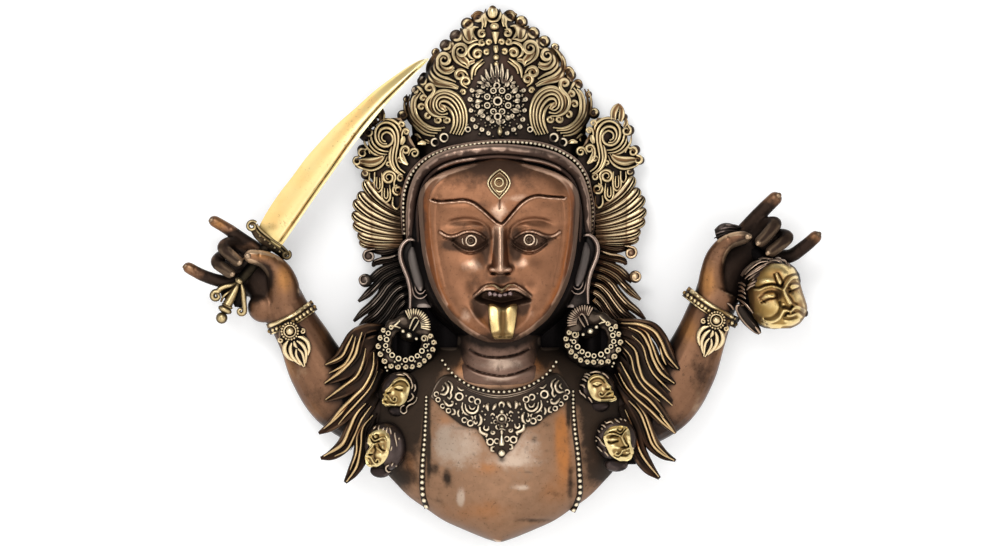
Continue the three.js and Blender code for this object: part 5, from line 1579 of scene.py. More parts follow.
def makeSword():
    def lay(u, v):
        (ax, az), (bx, bz) = evenly(bladeOuter, v), evenly(bladeInner, v)
        t = (u + 1) / 2
        x, z = lerp(ax, bx, t), lerp(az, bz, t)
        d = sword["low"] + sword["swell"] * ramp(t, 0, 0.7)
        return x, z, d - sword["groove"] * hump(away(bladeGroove, x, z), 1.1)

    done(joined("blade", [sheet(*sword["cells"], lay, sword["back"])]), "bladeBrass")
    bar = [(-266, -136.6), (-262, -142.6), (-254, -149.6), (-245, -156), (-236.4, -162), (-230.6, -168)]
    guard = [stroke(6.2, [(x - 2.4, z - 4.4) for x, z in bar], 0.8, 0.9)]
    ridges = [
        stroke(1.3, bar, 0.9, 0.9),
        stroke(1.2, [(x - 1.8, z - 3.4) for x, z in bar], 0.9, 0.9),
        stroke(2.0, curl(-270.6, -139, 6, 40, 1.3, 1), 0.9, 0.8),
        stroke(2.0, curl(-233.4, -170.4, 5, 60, 1.2), 0.9, 0.8)
    ]
    studs = [(-262 + 5.4 * i, -149.6 - 4.3 * i, 57, 1.3, 1.3, 1.4, 0) for i in range(6)]
    grip = limb([(-252, -158, 47, 6.6), (-268, -180, 45, 7), (-285, -200, 48, 5.6)])
    prongs = [
        stroke(
            3.0,
            [(-284, -198), (-292, -203), (-300, -205), (-307, -208.6)] + curl(-310, -215.6, 5.4, 70, 1.1, 1),
            0.5, 0.7
        ),
        stroke(
            2.8,
            [(-284, -199), (-281, -208), (-280, -218), (-279, -227)] + curl(-283, -232, 4.4, 20, 0.9),
            0.5, 0.7
        ),
        leaf([(-284.4, -198, 2), (-288, -206, 3.2), (-293, -216, 4.6), (-298, -225, 5.6)]),
        stroke(1.6, [(-285, -199), (-293, -209), (-302, -216), (-305, -222)], 0.5, 0.7)
    ]
    webs = [
        leaf([(-284, -197, 2), (-290, -206, 8), (-296, -213, 11), (-299, -219, 6)]),
        leaf([(-285, -200, 2), (-284, -210, 6), (-285, -220, 8), (-286, -228, 4)])
    ]

    def flat(x, z):
        return 52 + 0 * np.asarray(x, float)

    balls = copies(ballShapeFine, [
        (-304, -239.6, 53, 6.4, 6.4, 7, 0), (-300.4, -230.6, 53, 8, 4.2, 7, -26),
        (-298, -226.6, 53, 6.6, 2.6, 6, -26), (-285, -199, 55, 4.6, 3.4, 4, -30)])
    done(joined("blade_line", [carve([stroke(0.95, bladeLine, 0.5, 0.4)], "round", flat, 1.5, 0.6)]),
        "wheelDark")
    done(joined("hilt_grip", [grip]), "gripDark")
    done(joined("hilt_guard", [
        carve(guard, "swell", flat, 0, 1.2), carve(webs, "swell", flat, -8, 0.8), copies(ballShape, studs)]),
        "hiltDark")
    done(joined("hilt", [
        carve(ridges, "round", flat, 3.4, 1.2), carve(prongs, "round", flat, 1, 1.1), balls]), "prongBrass")


makeSword()
print("sword made")


# Held head: a face turned three quarters with shut eyes, its hair, knot and ear
heldHead = {"cells": (115, 122), "low": -251, "top": -180, "back": 40}
headLeft = along(
    [-251, 293], [-247, 286], [-242, 281], [-235, 276], [-228, 273], [-220, 271], [-211, 270], [-200, 271],
    [-190, 276], [-184, 283], [-180, 292])
headRight = along(
    [-251, 320], [-247, 328], [-242, 333], [-235, 337], [-228, 338], [-220, 336], [-211, 333], [-200, 330],
    [-190, 327], [-184, 323], [-180, 314])
headRidges = [
    (2.6, 1.2, [
        (279.6, -208.8), (285, -208.6), (291, -206.2), (298, -205), (304, -206.2), (309, -208.4),
        (311, -208.4), (313.6, -205.2), (316, -201), (319, -197.4), (323, -195), (328.4, -195)]),
    (2.6, 1.7, [
        (319, -233), (315, -231), (311.6, -231.8), (309.4, -235), (307, -239.2), (303, -242.4), (298, -244),
        (293, -243.6), (288.6, -241.4)]),
    (2.4, 1.5, [(319, -233), (321, -230), (324, -228), (328, -228.2), (331, -230.4), (335, -232)]),
    (1.6, 1.2, [(315.4, -236.6), (318, -237.4), (321, -236.6), (323.6, -234.8)]),
    (1.8, 2.0, [(290, -245), (296, -247.4), (304, -248.2), (313, -247.8), (321, -246.2), (328, -242.8)]),
    (2.6, 1.7, [(303.6, -192.4), (305.4, -197), (307.4, -201.4)])
]
headCuts = [
    (2.6, 1.2, [(279, -206), (285, -205.8), (291, -203.6), (298, -202.4), (304, -203.4), (308, -205)]),
    (2.4, 1.2, [(309.6, -204.6), (312, -199), (315.4, -194.6), (320, -192.4), (326.4, -191.4)]),
    (2.2, 0.9, [(301, -191.6), (302.4, -197), (304.6, -203)]),
    (2.2, 0.9, [(305.4, -190.6), (308, -195), (310.4, -200), (309.4, -203.4)]),
    (2.4, 1.2, [(285, -217.6), (289, -213.4), (295, -210.8), (302, -211), (306, -214.6)]),
    (2.6, 1.0, [(287, -222.6), (291, -220.8), (295, -218.8), (300, -218.2), (304.6, -216.6)]),
    (1.6, 0.9, [(285.6, -219.6), (288.4, -220.6), (291, -222.4)]),
    (2.2, 1.2, [(316.4, -207), (318.6, -202.6), (323.6, -201), (328.6, -202.6)]),
    (2.4, 1.0, [(317.6, -210.8), (321, -209.8), (325, -207.8), (328.4, -206.2)]),
    (2.4, 1.2, [(313.6, -209.6), (316.8, -214.6), (320, -219), (322, -222.4), (326, -224.4)]),
    (3.0, 1.5, [(307, -222.4), (308.6, -227.4), (313, -227.8), (318, -229.8), (321, -226.8)]),
    (2.2, 1.4, [(307.4, -229.6), (305.6, -234), (302, -237.6), (297, -240), (291, -240.4)]),
    (2.8, 1.3, [(312.6, -237.4), (315, -234.8), (319, -233.9), (323.4, -233.6)]),
    (2.0, 1.4, [(312, -240), (318, -240.6), (325, -238.4)]),
    (2.2, 1.5, [(281, -237), (287, -242.4), (293, -246.4)]),
    (1.8, 1.4, [(324, -231.4), (329, -232.6), (333, -236.4)]),
]


def headDepth(x, z):
    left, right = headLeft(z), headRight(z)
    t = clamp((x - left) / (right - left))
    skew = np.where(t < 0.56, t / 0.56 - 1, (t - 0.56) / 0.44)
    d = 52 + 42 * (1 - np.abs(skew) ** 2.6) ** 0.5 * np.sqrt(clamp(1 - ((z + 214) / 43) ** 4, 0.05, 1))
    d = d + 1.6 * bell(x, z, 296, -226, 10, 8) + 3.0 * bell(x, z, 292, -199, 9, 4) + 2 * bell(
        x, z, 316, -190, 6, 4)
    d = d + 3.4 * bell(x, z, 295, -215.4, 8, 2.6) + 3.4 * bell(x, z, 322.6, -205.4, 5, 2.2)
    d = d + 2.6 * bell(x, z, 319, -243.4, 8, 2.8) + 1.6 * bell(x, z, 327, -216, 5, 6)
    d = d - 5.0 * bell(x, z, 306, -215, 3.2, 6) - 3.0 * bell(x, z, 317.4, -210, 2.4, 4)
    nose = smoothLine([(311.4, -209.6), (313, -214), (315.6, -219.4), (317.6, -223)], 0.6)
    d = d + 6.0 * hump(away(nose, x, z), 2.4) + 2.4 * bell(x, z, 311, -224.4, 2.2, 1.6)
    for high, wide, row in headRidges:
        d = d + high * hump(away(smoothLine(row, 0.7), x, z), wide)
    for deep, wide, row in headCuts:
        d = d - deep * hump(away(smoothLine(row, 0.7), x, z), wide)
    return d


def makeSeveredHead():
    def lay(u, v):
        z = lerp(heldHead["low"], heldHead["top"], v)
        x = lerp(headLeft(z), headRight(z), (u + 1) / 2)
        return x, z, headDepth(x, z)

    done(joined("severed_face", [sheet(*heldHead["cells"], lay, heldHead["back"])]), "headGold")
    skull = [(298, -199, 52, 33, 25, 30, 0), (284, -214, 48, 22, 30, 26, 0), (302, -226, 46, 34, 26, 22, 0)]
    tail = limb([(296, -186, 48, 11), (288, -174, 40, 10), (270, -160, 38, 8), (262, -153, 42, 8)])
    twist = limb([(266, -155, 42, 7), (258, -148, 48, 9.6), (247, -146, 50, 10.6), (238, -148, 49, 6)])
    knot = [
        [(248.6, -137.6), (257.8, -138), (266.9, -140.6)],
        [(243.1, -142.1), (252.3, -140.2), (261.4, -141.2)],
        [(237.6, -147.6), (246.8, -144.5), (255.9, -143.9), (263, -145)],
        [(235.8, -152.2), (244.9, -148.5), (254.1, -147.6)],
        [(238.5, -156), (244.9, -152.6), (250.4, -151.4)]
    ]

    def bun(x, z):
        return 50 + 10 * np.sqrt(clamp(1 - ((x - 249) / 18) ** 2 - ((z + 146) / 12) ** 2, 0.02, 1))

    done(joined("severed_hair", [copies(ballShapeFine, skull), tail]), "hairDark")
    done(joined("severed_knot", [twist, carve([
        stroke(1.1, row, 0.5, 0.5, 0.8) for row in knot
    ], "round", bun, 0.6, 1.2)]), "knotGrey")

    def scalp(x, z):
        return 54 + 36 * np.sqrt(clamp(1 - ((x - 299) / 38) ** 2 - ((z + 210) / 40) ** 2, 0.02, 1))

    sweeps = [
        [(315.5, -184), (313.7, -177.4), (308.2, -175.6)],
        [(310.9, -185.4), (309.1, -178.9), (303.6, -176), (296.3, -176.9)],
        [(306.3, -186), (303.6, -180), (297.2, -178.2), (288.9, -181.5)],
        [(303.6, -186), (299.4, -181.8), (292.6, -181.6), (284.3, -186.4), (274, -193)],
        [(300, -187), (296, -184.4), (288, -186.8), (280, -192), (272.6, -197.6)],
        [(296.3, -188), (291.7, -187), (285.3, -191), (278, -196)],
        [(294.4, -177.2), (285.3, -178.4), (276.1, -184.4), (269, -192)],
        [(287.1, -175.6), (277.9, -179.4), (270.6, -186.4), (266, -194)],
        [(318.6, -185.4), (317, -179.4)], [(300, -174.6), (292, -173.8), (284, -174.6)],
        [(290, -183.6), (280, -188), (271, -194.6)], [(309, -174.4), (303, -173.8)],
        [(292, -180), (284, -184), (276, -190), (269, -196.6)],
        [(298, -190), (291, -189), (284, -193), (277, -198.6)],
        [(292, -193), (285, -196), (277, -201)],
        [(281, -178), (274, -182.6), (268, -188.6), (265, -193)],
        [(286, -198), (279, -200.4), (272, -204)], [(313.6, -186), (311.6, -181), (308, -178.6)],
        [(280, -203), (274, -205.6), (271, -209)]
    ]
    tufts = [
        [(262.6, -205), (265.4, -205.6), (269, -209.4)],
        [(262, -210), (266, -210), (270, -213.6)],
        [(261.6, -214.4), (265.4, -215), (270, -218.6)],
        [(261, -218.6), (266, -221.4), (272, -227), (278, -234.4)],
        [(262, -201), (266, -201.6), (270, -204.6)],
        [(268, -226), (261, -226), (260, -230), (264, -235.6)],
        [(249.6, -223), (254, -226), (257, -230.4)]
    ]
    strands = [stroke(1.15, row, 0.5, 0.5, 0.8) for row in sweeps + tufts]
    done(joined("severed_strands", [carve(strands, "round", scalp, 0.6, 1.2)]), "headHair")
    strap = [leaf([
        (264, -224, 3), (266, -231, 6.4), (272, -240, 7), (279, -248.6, 5.6), (284.6, -255, 3.4),
        (286, -257, 1.6)])]
    shine = [
        stroke(1.1, [(262, -226), (261, -231), (265, -239), (272, -247.6), (279.6, -254.6), (284, -257)]),
        stroke(1.0, [(268, -231), (273, -239), (279, -246), (284, -251)]),
        stroke(1.6, [(280.6, -249), (283.4, -252.4), (286, -256.4)], 0.6, 0.8)
    ]

    def side(x, z):
        return 58 + 0 * np.asarray(x, float)

    done(joined("severed_strap", [carve(strap, "swell", side, 0, 1.0)]), "bandDark")
    done(joined("severed_ear", [
        carve(shine, "round", side, 2.6, 1.2),
        copies(ballShapeFine, [(336, -234.4, 56, 3, 4, 6, 0)])
    ]), "headHair")


# Garland heads: for each the edges of its face, the middle and size of its dome, the dark skull behind it,
# its carved lines as (half width, height, points), its swellings as (x, z, half width, half height, height),
# the locks of its hair
garlandCells = (90, 96)
garland = {
    "right_upper": {
        "low": -331, "top": -301.4,
        "left": along(
            [-331, 110], [-329, 105], [-326, 101.6], [-320, 98.6], [-314, 97], [-308, 97.4], [-304, 99.6],
            [-301.4, 104]),
        "right": along(
            [-331, 124], [-329, 128.4], [-326, 128], [-323.4, 125.6], [-320.5, 125.4], [-317.6, 122.6],
            [-314.5, 122.8], [-311, 119.6], [-307, 117], [-303, 113], [-301.4, 109]),
        "middle": (110, -315.6), "size": (19, 18), "skull": (107, -316, 20, 19),
        "lines": [
            (1.2, 2.0, [(99, -307), (103, -304.2), (108, -303), (113, -304.6), (116.6, -308.6)]),
            (0.8, -1.4, [(99.6, -309.4), (104, -306.6), (109, -305.6), (113, -307.4), (115.6, -310)]),
            (1.3, 3.2, [(116, -308), (118, -310.6), (120.4, -313), (121.8, -314.6)]),
            (0.9, 1.6, [(103, -311.4), (107, -309.8), (111.6, -311)]),
            (0.9, -2.0, [(103.2, -313.4), (107, -314.4), (111.6, -312.4)]),
            (0.9, -2.0, [(117, -317.2), (120, -317.4), (122.8, -316.8)]),
            (0.9, 2.4, [
                (124.8, -320.4), (121, -319.4), (118, -321), (115.4, -324), (112.6, -325.4), (110, -324.4),
                (109.4, -321.8), (111.4, -320.4), (112.8, -322)]),
            (0.8, -1.6, [(118, -323.4), (121, -321.8), (124.4, -322.6)]),
            (1.0, 1.6, [(119.6, -325), (123, -324), (126, -324.6)]),
            (1.1, 2.0, [(113, -329.2), (120, -329.4), (127, -327.6)]),
            (0.9, -1.6, [(112, -327.2), (118, -326.8), (125, -326.4)])
        ],
        "swellings": [
            (107, -312.6, 4, 1.6, 1.4), (104, -320, 4.4, 5, 2.2), (114, -317.6, 3, 3.4, 1.6),
            (119.6, -315.4, 1.6, 1.4, 1.6)],
        "locks": [
            [(93.6, -301), (96.4, -300.6), (99.6, -302.6)], [(92.4, -303.4), (95, -303.6), (98, -305.6)],
            [(90.4, -306.4), (93, -306.8), (95.6, -309)], [(88.4, -312.6), (91.4, -313), (94, -316)],
            [(88, -318.4), (89.4, -321.6), (92.6, -324), (95, -327)],
            [(97.6, -326), (100, -329), (102, -332.4)], [(99.6, -299.6), (105, -298.2), (111, -299)],
            [(113, -299.6), (117, -302), (120, -305.6)]
        ]
    },
    "right_lower": {
        "low": -396, "top": -357.4,
        "left": along(
            [-396, 132], [-392, 125], [-388, 121], [-384, 119], [-380, 117], [-375, 115.4], [-370, 114],
            [-366, 115], [-362, 118], [-359, 122], [-357.4, 128]),
        "right": along(
            [-396, 141], [-393, 145], [-390, 146], [-386, 147.6], [-382, 146], [-378, 144.6], [-374, 144],
            [-368, 143.4], [-362, 142.4], [-358.6, 140], [-357.4, 136]),
        "middle": (129, -376), "size": (21, 22), "skull": (128, -372, 23, 24),
        "lines": [
            (1.7, 1.4, [(120, -363), (124, -361.4), (129, -360)]),
            (0.7, -1.6, curl(132.6, -361, 2.9, 0, 1, 1, 0.95)),
            (0.8, 1.4, [(129.6, -364), (132.6, -365.4), (135.8, -363), (138.6, -358.4)]),
            (0.7, -1.8, [
                (120.6, -364.6), (126, -364.2), (130, -366), (133.4, -367.2), (136, -364), (139.6, -360)]),
            (1.2, 2.2, [
                (115, -369), (118, -367.2), (122, -366.2), (127, -366.6), (131, -368), (133.6, -369)]),
            (0.8, 1.6, [(135, -368.2), (137.6, -364), (141, -360.4)]),
            (0.9, -1.6, [(121.6, -369.8), (126, -368.2), (130.4, -369)]),
            (1.0, -2.2, [(119.6, -375.4), (123, -376.2), (126.6, -375), (130, -374.2)]),
            (1.4, 3.6, [(134.4, -370.4), (136, -374), (138, -378), (139.4, -379.2)]),
            (0.8, -1.8, [(136.6, -371), (139.2, -376), (141.6, -379.6)]),
            (0.9, -2.0, [(134.4, -381), (138, -380.8), (141.4, -380)]),
            (0.9, 2.6, [
                (137.8, -383.6), (135, -384.8), (133.2, -388), (130.6, -389.8), (128, -389.2),
                (126.8, -387.2)]),
            (0.8, 1.8, [(140, -383.2), (142.8, -381.8), (145, -384.6), (147.2, -386)]),
            (0.8, -1.6, [(135.6, -389), (139, -389.8), (143.4, -387.6)]),
            (1.2, 2.2, [(132.6, -391.6), (138, -392.6), (142, -392), (145.4, -389.8)]),
            (0.8, -1.6, [(125.4, -390), (130, -391.8), (134.6, -389.4)])
        ],
        "swellings": [
            (132.6, -361, 1.2, 1.2, 1.8), (124.4, -372.2, 5.4, 1.8, 2.0), (124, -380.6, 6, 4.6, 2.2),
            (130.4, -381.8, 2.6, 1.8, 1.4), (141.4, -368.6, 1.6, 1.1, 1.8), (143, -376.6, 1, 2.4, 1.4),
            (128.8, -386.2, 1.3, 1.3, 2), (140, -386.8, 1.7, 1.1, 1.8)],
        "locks": [
            [(115.6, -352.4), (117.4, -354.4), (120, -353.4), (122.6, -352.8), (124.8, -355)],
            [(111.6, -356.4), (114, -357), (117, -359.4)], [(111.6, -359.6), (113.6, -361.6)],
            [(107.6, -362), (110.4, -364.6)], [(126.4, -349.6), (129, -351.6), (132, -354)],
            [(132, -349), (134.6, -351)],
            [(105.6, -369), (109, -371.4), (112.6, -376.6), (116.6, -380)],
            [(107.4, -380.4), (110, -383), (112.8, -386)], [(115.4, -386), (117.4, -388), (119.6, -391)],
            [(137, -350), (139, -352.4)], [(146, -381), (147.4, -383)], [(105.6, -373), (107, -374.6)]
        ]
    },
    "left_upper": {
        "low": -336, "top": -304,
        "left": along(
            [-336, -124], [-333, -127.6], [-328, -127.4], [-325.6, -125.6], [-323, -127.2], [-321, -124.6],
            [-318.6, -124.8], [-314, -119.6], [-309.4, -116.6], [-306, -113], [-304, -109]),
        "right": along(
            [-336, -109], [-332, -103], [-327, -100.4], [-321, -98.6], [-315, -97.4], [-310, -99],
            [-306, -102], [-304, -105.6]),
        "middle": (-111, -319.6), "size": (18, 18), "skull": (-108, -318, 21, 20),
        "lines": [
            (1.2, 2.0, [
                (-98.6, -311.6), (-101.4, -307.6), (-106.6, -305.8), (-112, -307.6), (-116, -311.4)]),
            (0.8, -1.4, [(-99.6, -313.6), (-103, -309.8), (-108, -308.4), (-113, -310.6), (-116.6, -313.6)]),
            (1.3, 3.2, [(-117, -311.6), (-120, -314.8), (-123, -317.6), (-124.4, -319.2)]),
            (0.9, 1.6, [(-113.6, -315.4), (-109.6, -314), (-105, -315.4)]),
            (0.9, -2.0, [(-113.4, -317), (-109.6, -318.4), (-106, -318.6)]),
            (0.9, -2.0, [(-125, -321.4), (-122, -321.8), (-119, -321)]),
            (0.9, 2.4, [
                (-126.6, -323.6), (-123, -323.4), (-120, -326.4), (-117.4, -330), (-114.4, -331.2),
                (-112, -329.4), (-112.6, -326.4), (-115, -326), (-115.6, -328)]),
            (0.8, -1.6, [(-127, -325.4), (-123.6, -325.6), (-120.6, -328.6)]),
            (1.0, 1.6, [(-127.4, -327.6), (-124, -328.4)]),
            (1.2, 2.0, [(-127.4, -332.4), (-121, -334.6), (-113, -335)]),
            (0.9, -1.6, [(-125.6, -330.2), (-120, -331.8), (-115, -333)])
        ],
        "swellings": [
            (-109.4, -316.4, 3.4, 1.4, 1.4), (-105, -325, 4, 5, 2.2), (-116.4, -322, 3, 3, 1.4),
            (-122.6, -319.6, 1.6, 1.4, 1.6)],
        "locks": [
            [
                (-89.7, -326), (-90.6, -330), (-93.6, -333), (-99, -335.4), (-101, -338.6), (-101, -342),
                (-104.6, -344), (-107.6, -341.4), (-107, -337), (-103.6, -335)],
            [(-95.6, -322), (-93.6, -325.6), (-97, -329.6), (-100, -331)],
            [(-96, -309), (-94.4, -313), (-95.6, -317)], [(-92, -312), (-91.4, -316.4), (-93, -320)],
            [(-100, -303), (-97, -306), (-95.6, -309)], [(-105, -300), (-101, -301.4), (-98.6, -304)],
            [(-112, -301.6), (-107, -301.4), (-103.4, -302.6)]
        ]
    },
    "left_lower": {
        "low": -402.6, "top": -361,
        "left": along(
            [-402.6, -142], [-400, -145], [-396, -146], [-392, -146.6], [-388, -145.6], [-384, -143.8],
            [-380, -141.4], [-376, -143.6], [-370, -143], [-366, -140.6], [-363, -136], [-361, -130]),
        "right": along(
            [-402.6, -134], [-399, -128], [-396, -125], [-390, -121.6], [-384, -120], [-376, -119],
            [-370, -119.4], [-366, -121], [-363, -124], [-361, -127]),
        "middle": (-130, -381), "size": (19, 23), "skull": (-124, -380, 23, 27),
        "lines": [
            (0.9, 2.0, [
                (-140.4, -366.6), (-139.6, -370), (-137.8, -373), (-135.6, -373.8), (-132, -372.4),
                (-128, -370.6), (-125, -370.8), (-123.6, -373.6)]),
            (0.7, -1.8, [
                (-138, -368.4), (-137, -371.4), (-134.6, -372), (-132, -370.6), (-132, -368),
                (-134.6, -366.8)]),
            (0.8, 1.8, [(-143, -368.6), (-141.6, -371.6), (-139.6, -376), (-137, -377.2), (-133.6, -376.4)]),
            (0.8, -1.8, [(-141, -368), (-139, -373), (-136, -375.4), (-131, -374.6)]),
            (1.2, 3.2, [(-137.6, -379), (-140.4, -382.4), (-142.6, -385), (-143.4, -387.4)]),
            (0.8, -2.2, [(-145.8, -388.4), (-142, -389), (-138.4, -388.8)]),
            (0.9, 2.0, [(-133.8, -381.2), (-131, -383.4), (-128.2, -385.6)]),
            (0.8, -1.8, [(-131.6, -378), (-129, -383), (-125, -384.6)]),
            (1.0, -2.0, [(-136, -380), (-135, -384), (-136.6, -389), (-135.6, -393)]),
            (0.9, 2.6, [
                (-142.4, -391), (-139.8, -392.2), (-138.4, -395.4), (-136.4, -398), (-133.6, -399.2),
                (-131.2, -397.4), (-131.6, -394.8), (-133.6, -394.2), (-134.6, -396)]),
            (0.8, -1.6, [(-145.6, -392.4), (-142, -393.4), (-140.6, -396), (-139, -399)]),
            (1.1, 1.8, [(-143, -400.4), (-139, -400.8), (-134.6, -401)]),
            (0.7, 1.4, [(-121.6, -382.6), (-120.4, -387.6)])
        ],
        "swellings": [
            (-135, -369.4, 1.3, 1.3, 2), (-128, -374.8, 2.6, 1.3, 1.8), (-127.2, -380, 1.4, 2.4, 2),
            (-129.6, -390, 4.6, 3.6, 2.6), (-140.6, -387.2, 1.8, 0.9, 1.8), (-143.4, -394.6, 1.6, 0.9, 1.6),
            (-122, -370, 2, 3, 1)],
        "locks": [
            [(-137.4, -361), (-134.6, -357.6)],
            [(-131, -357), (-131.8, -361), (-130.8, -364.6)],
            [(-127.4, -363), (-125.6, -359)], [(-122, -359), (-123, -363), (-122.6, -366)],
            [(-119.6, -359.6), (-118.6, -363), (-118, -366.6)],
            [(-114, -365), (-113.6, -369), (-112.4, -375), (-111.6, -380)],
            [(-117, -380), (-118.4, -385)], [(-109, -370), (-109.4, -373)],
            [(-120.6, -400.4), (-123.4, -402.6), (-123.6, -405.6), (-121, -408), (-118.6, -407.6)],
            [(-116, -398), (-117.6, -401.6)], [(-113, -402), (-111.4, -401)],
            [(-144.4, -375.4), (-143, -377.4)]
        ]
    }
}


def makeGarlandHead(name, made):
    middle, height = made["middle"]
    wide, tall = made["size"]
    lines = [(width, high, smoothLine(row, 0.6)) for width, high, row in made["lines"]]

    def lay(u, v):
        z = lerp(made["low"], made["top"], v)
        x = lerp(made["left"](z), made["right"](z), (u + 1) / 2)
        d = 84 + 12 * np.sqrt(clamp(1 - ((x - middle) / wide) ** 2 - ((z - height) / tall) ** 2, 0.03, 1))
        for a, b, across, up, high in made["swellings"]:
            d = d + high * bell(x, z, a, b, across, up)
        for width, high, row in lines:
            d = d + high * hump(away(row, x, z), width)
        return x, z, d

    done(joined("garland_" + name, [sheet(*garlandCells, lay, 60)]), "garlandGold")
    x, z, a, b = made["skull"]
    neck = (middle * 0.995, made["low"] - 4, 76, wide * 0.62, 8, 8, 0)
    done(joined("garland_hair_" + name, [copies(ballShapeFine, [(x, z, 79, a, b, 13, 0), neck])]),
        "skullDark")

    def dome(i, j):
        fall = 1 - ((i - x) / (a + 3)) ** 2 - ((j - z) / (b + 3)) ** 2
        return 82 + 10 * np.sqrt(clamp(fall, 0.02, 1))

    locks = [stroke(0.9, row, 0.6, 0.5, 0.8) for row in made["locks"]]
    done(joined("garland_locks_" + name, [carve(locks, "round", dome, 0, 1.6)]), "tuftGold")


makeSeveredHead()
for name, made in garland.items():
    makeGarlandHead(name, made)
print("heads made")


# Patina and painted shade: how far each point stands out of the carving around it, and how open it is to the
# room, which the finishes paint as shade in the hollows
patina_and_shade = {"cell": 0.7, "near": 3.0, "wide": 9.0, "reaches": (1.5, 3, 5, 8, 12, 18), "ways": 12}


def listed(things, key, kind, width=1):
    values = np.zeros(len(things) * width, kind)
    things.foreach_get(key, values)
    return values.reshape(-1, width) if width > 1 else values


def heightMap():
    low, high = np.array(cadBox[0]) / mark, np.array(cadBox[1]) / mark
    cell = patina_and_shade["cell"]
    wide = int((high[0] - low[0]) / cell) + 3
    tall = int((high[2] - low[2]) / cell) + 3
    depth = np.zeros((wide, tall))
    for piece, _ in pieces.values():
        mesh = piece.data
        spots = spotsOf(piece) / mark
        centres = listed(mesh.polygons, "center", np.float32, 3) / mark
        corners = listed(mesh.loops, "vertex_index", np.int32)
        middles = np.repeat(centres, listed(mesh.polygons, "loop_total", np.int32), axis=0)
        ends = spots[listed(mesh.edges, "vertices", np.int32, 2)]
        cloud = np.vstack(
            [spots, centres, lerp(spots[corners], middles, 0.35), lerp(spots[corners], middles, 0.7)] + [
                lerp(ends[:, 0], ends[:, 1], share) for share in (0.25, 0.5, 0.75)
            ]
        )
        i = clamp((cloud[:, 0] - low[0]) / cell, 0, wide - 1).astype(int)
        j = clamp((cloud[:, 2] - low[2]) / cell, 0, tall - 1).astype(int)
        np.maximum.at(depth, (i, j), -cloud[:, 1])
    for _ in range(3):
        around = np.max([np.roll(depth, way, axis) for axis in (0, 1) for way in (-1, 1)], axis=0)
        depth = np.where(depth > 0, depth, around)
    return depth, low


def blurred(depth, size):
    # three box blurs, which come close to a round one
    reach = max(1, round(size / patina_and_shade["cell"]))
    out = depth
    for _ in range(3):
        for axis in (0, 1):
            total = np.cumsum(np.concatenate([
                out.take(range(-reach - 1, 0), axis), out, out.take(range(0, reach), axis)], axis), axis)
            width = 2 * reach + 1
            ahead = np.take(total, range(width, total.shape[axis]), axis)
            behind = np.take(total, range(0, total.shape[axis] - width), axis)
            out = (ahead - behind) / width
    return out


def paintAttribute(piece, name, values):
    attribute = piece.data.attributes.new(name, "FLOAT", "POINT")
    attribute.data.foreach_set("value", np.ascontiguousarray(values, np.float32))
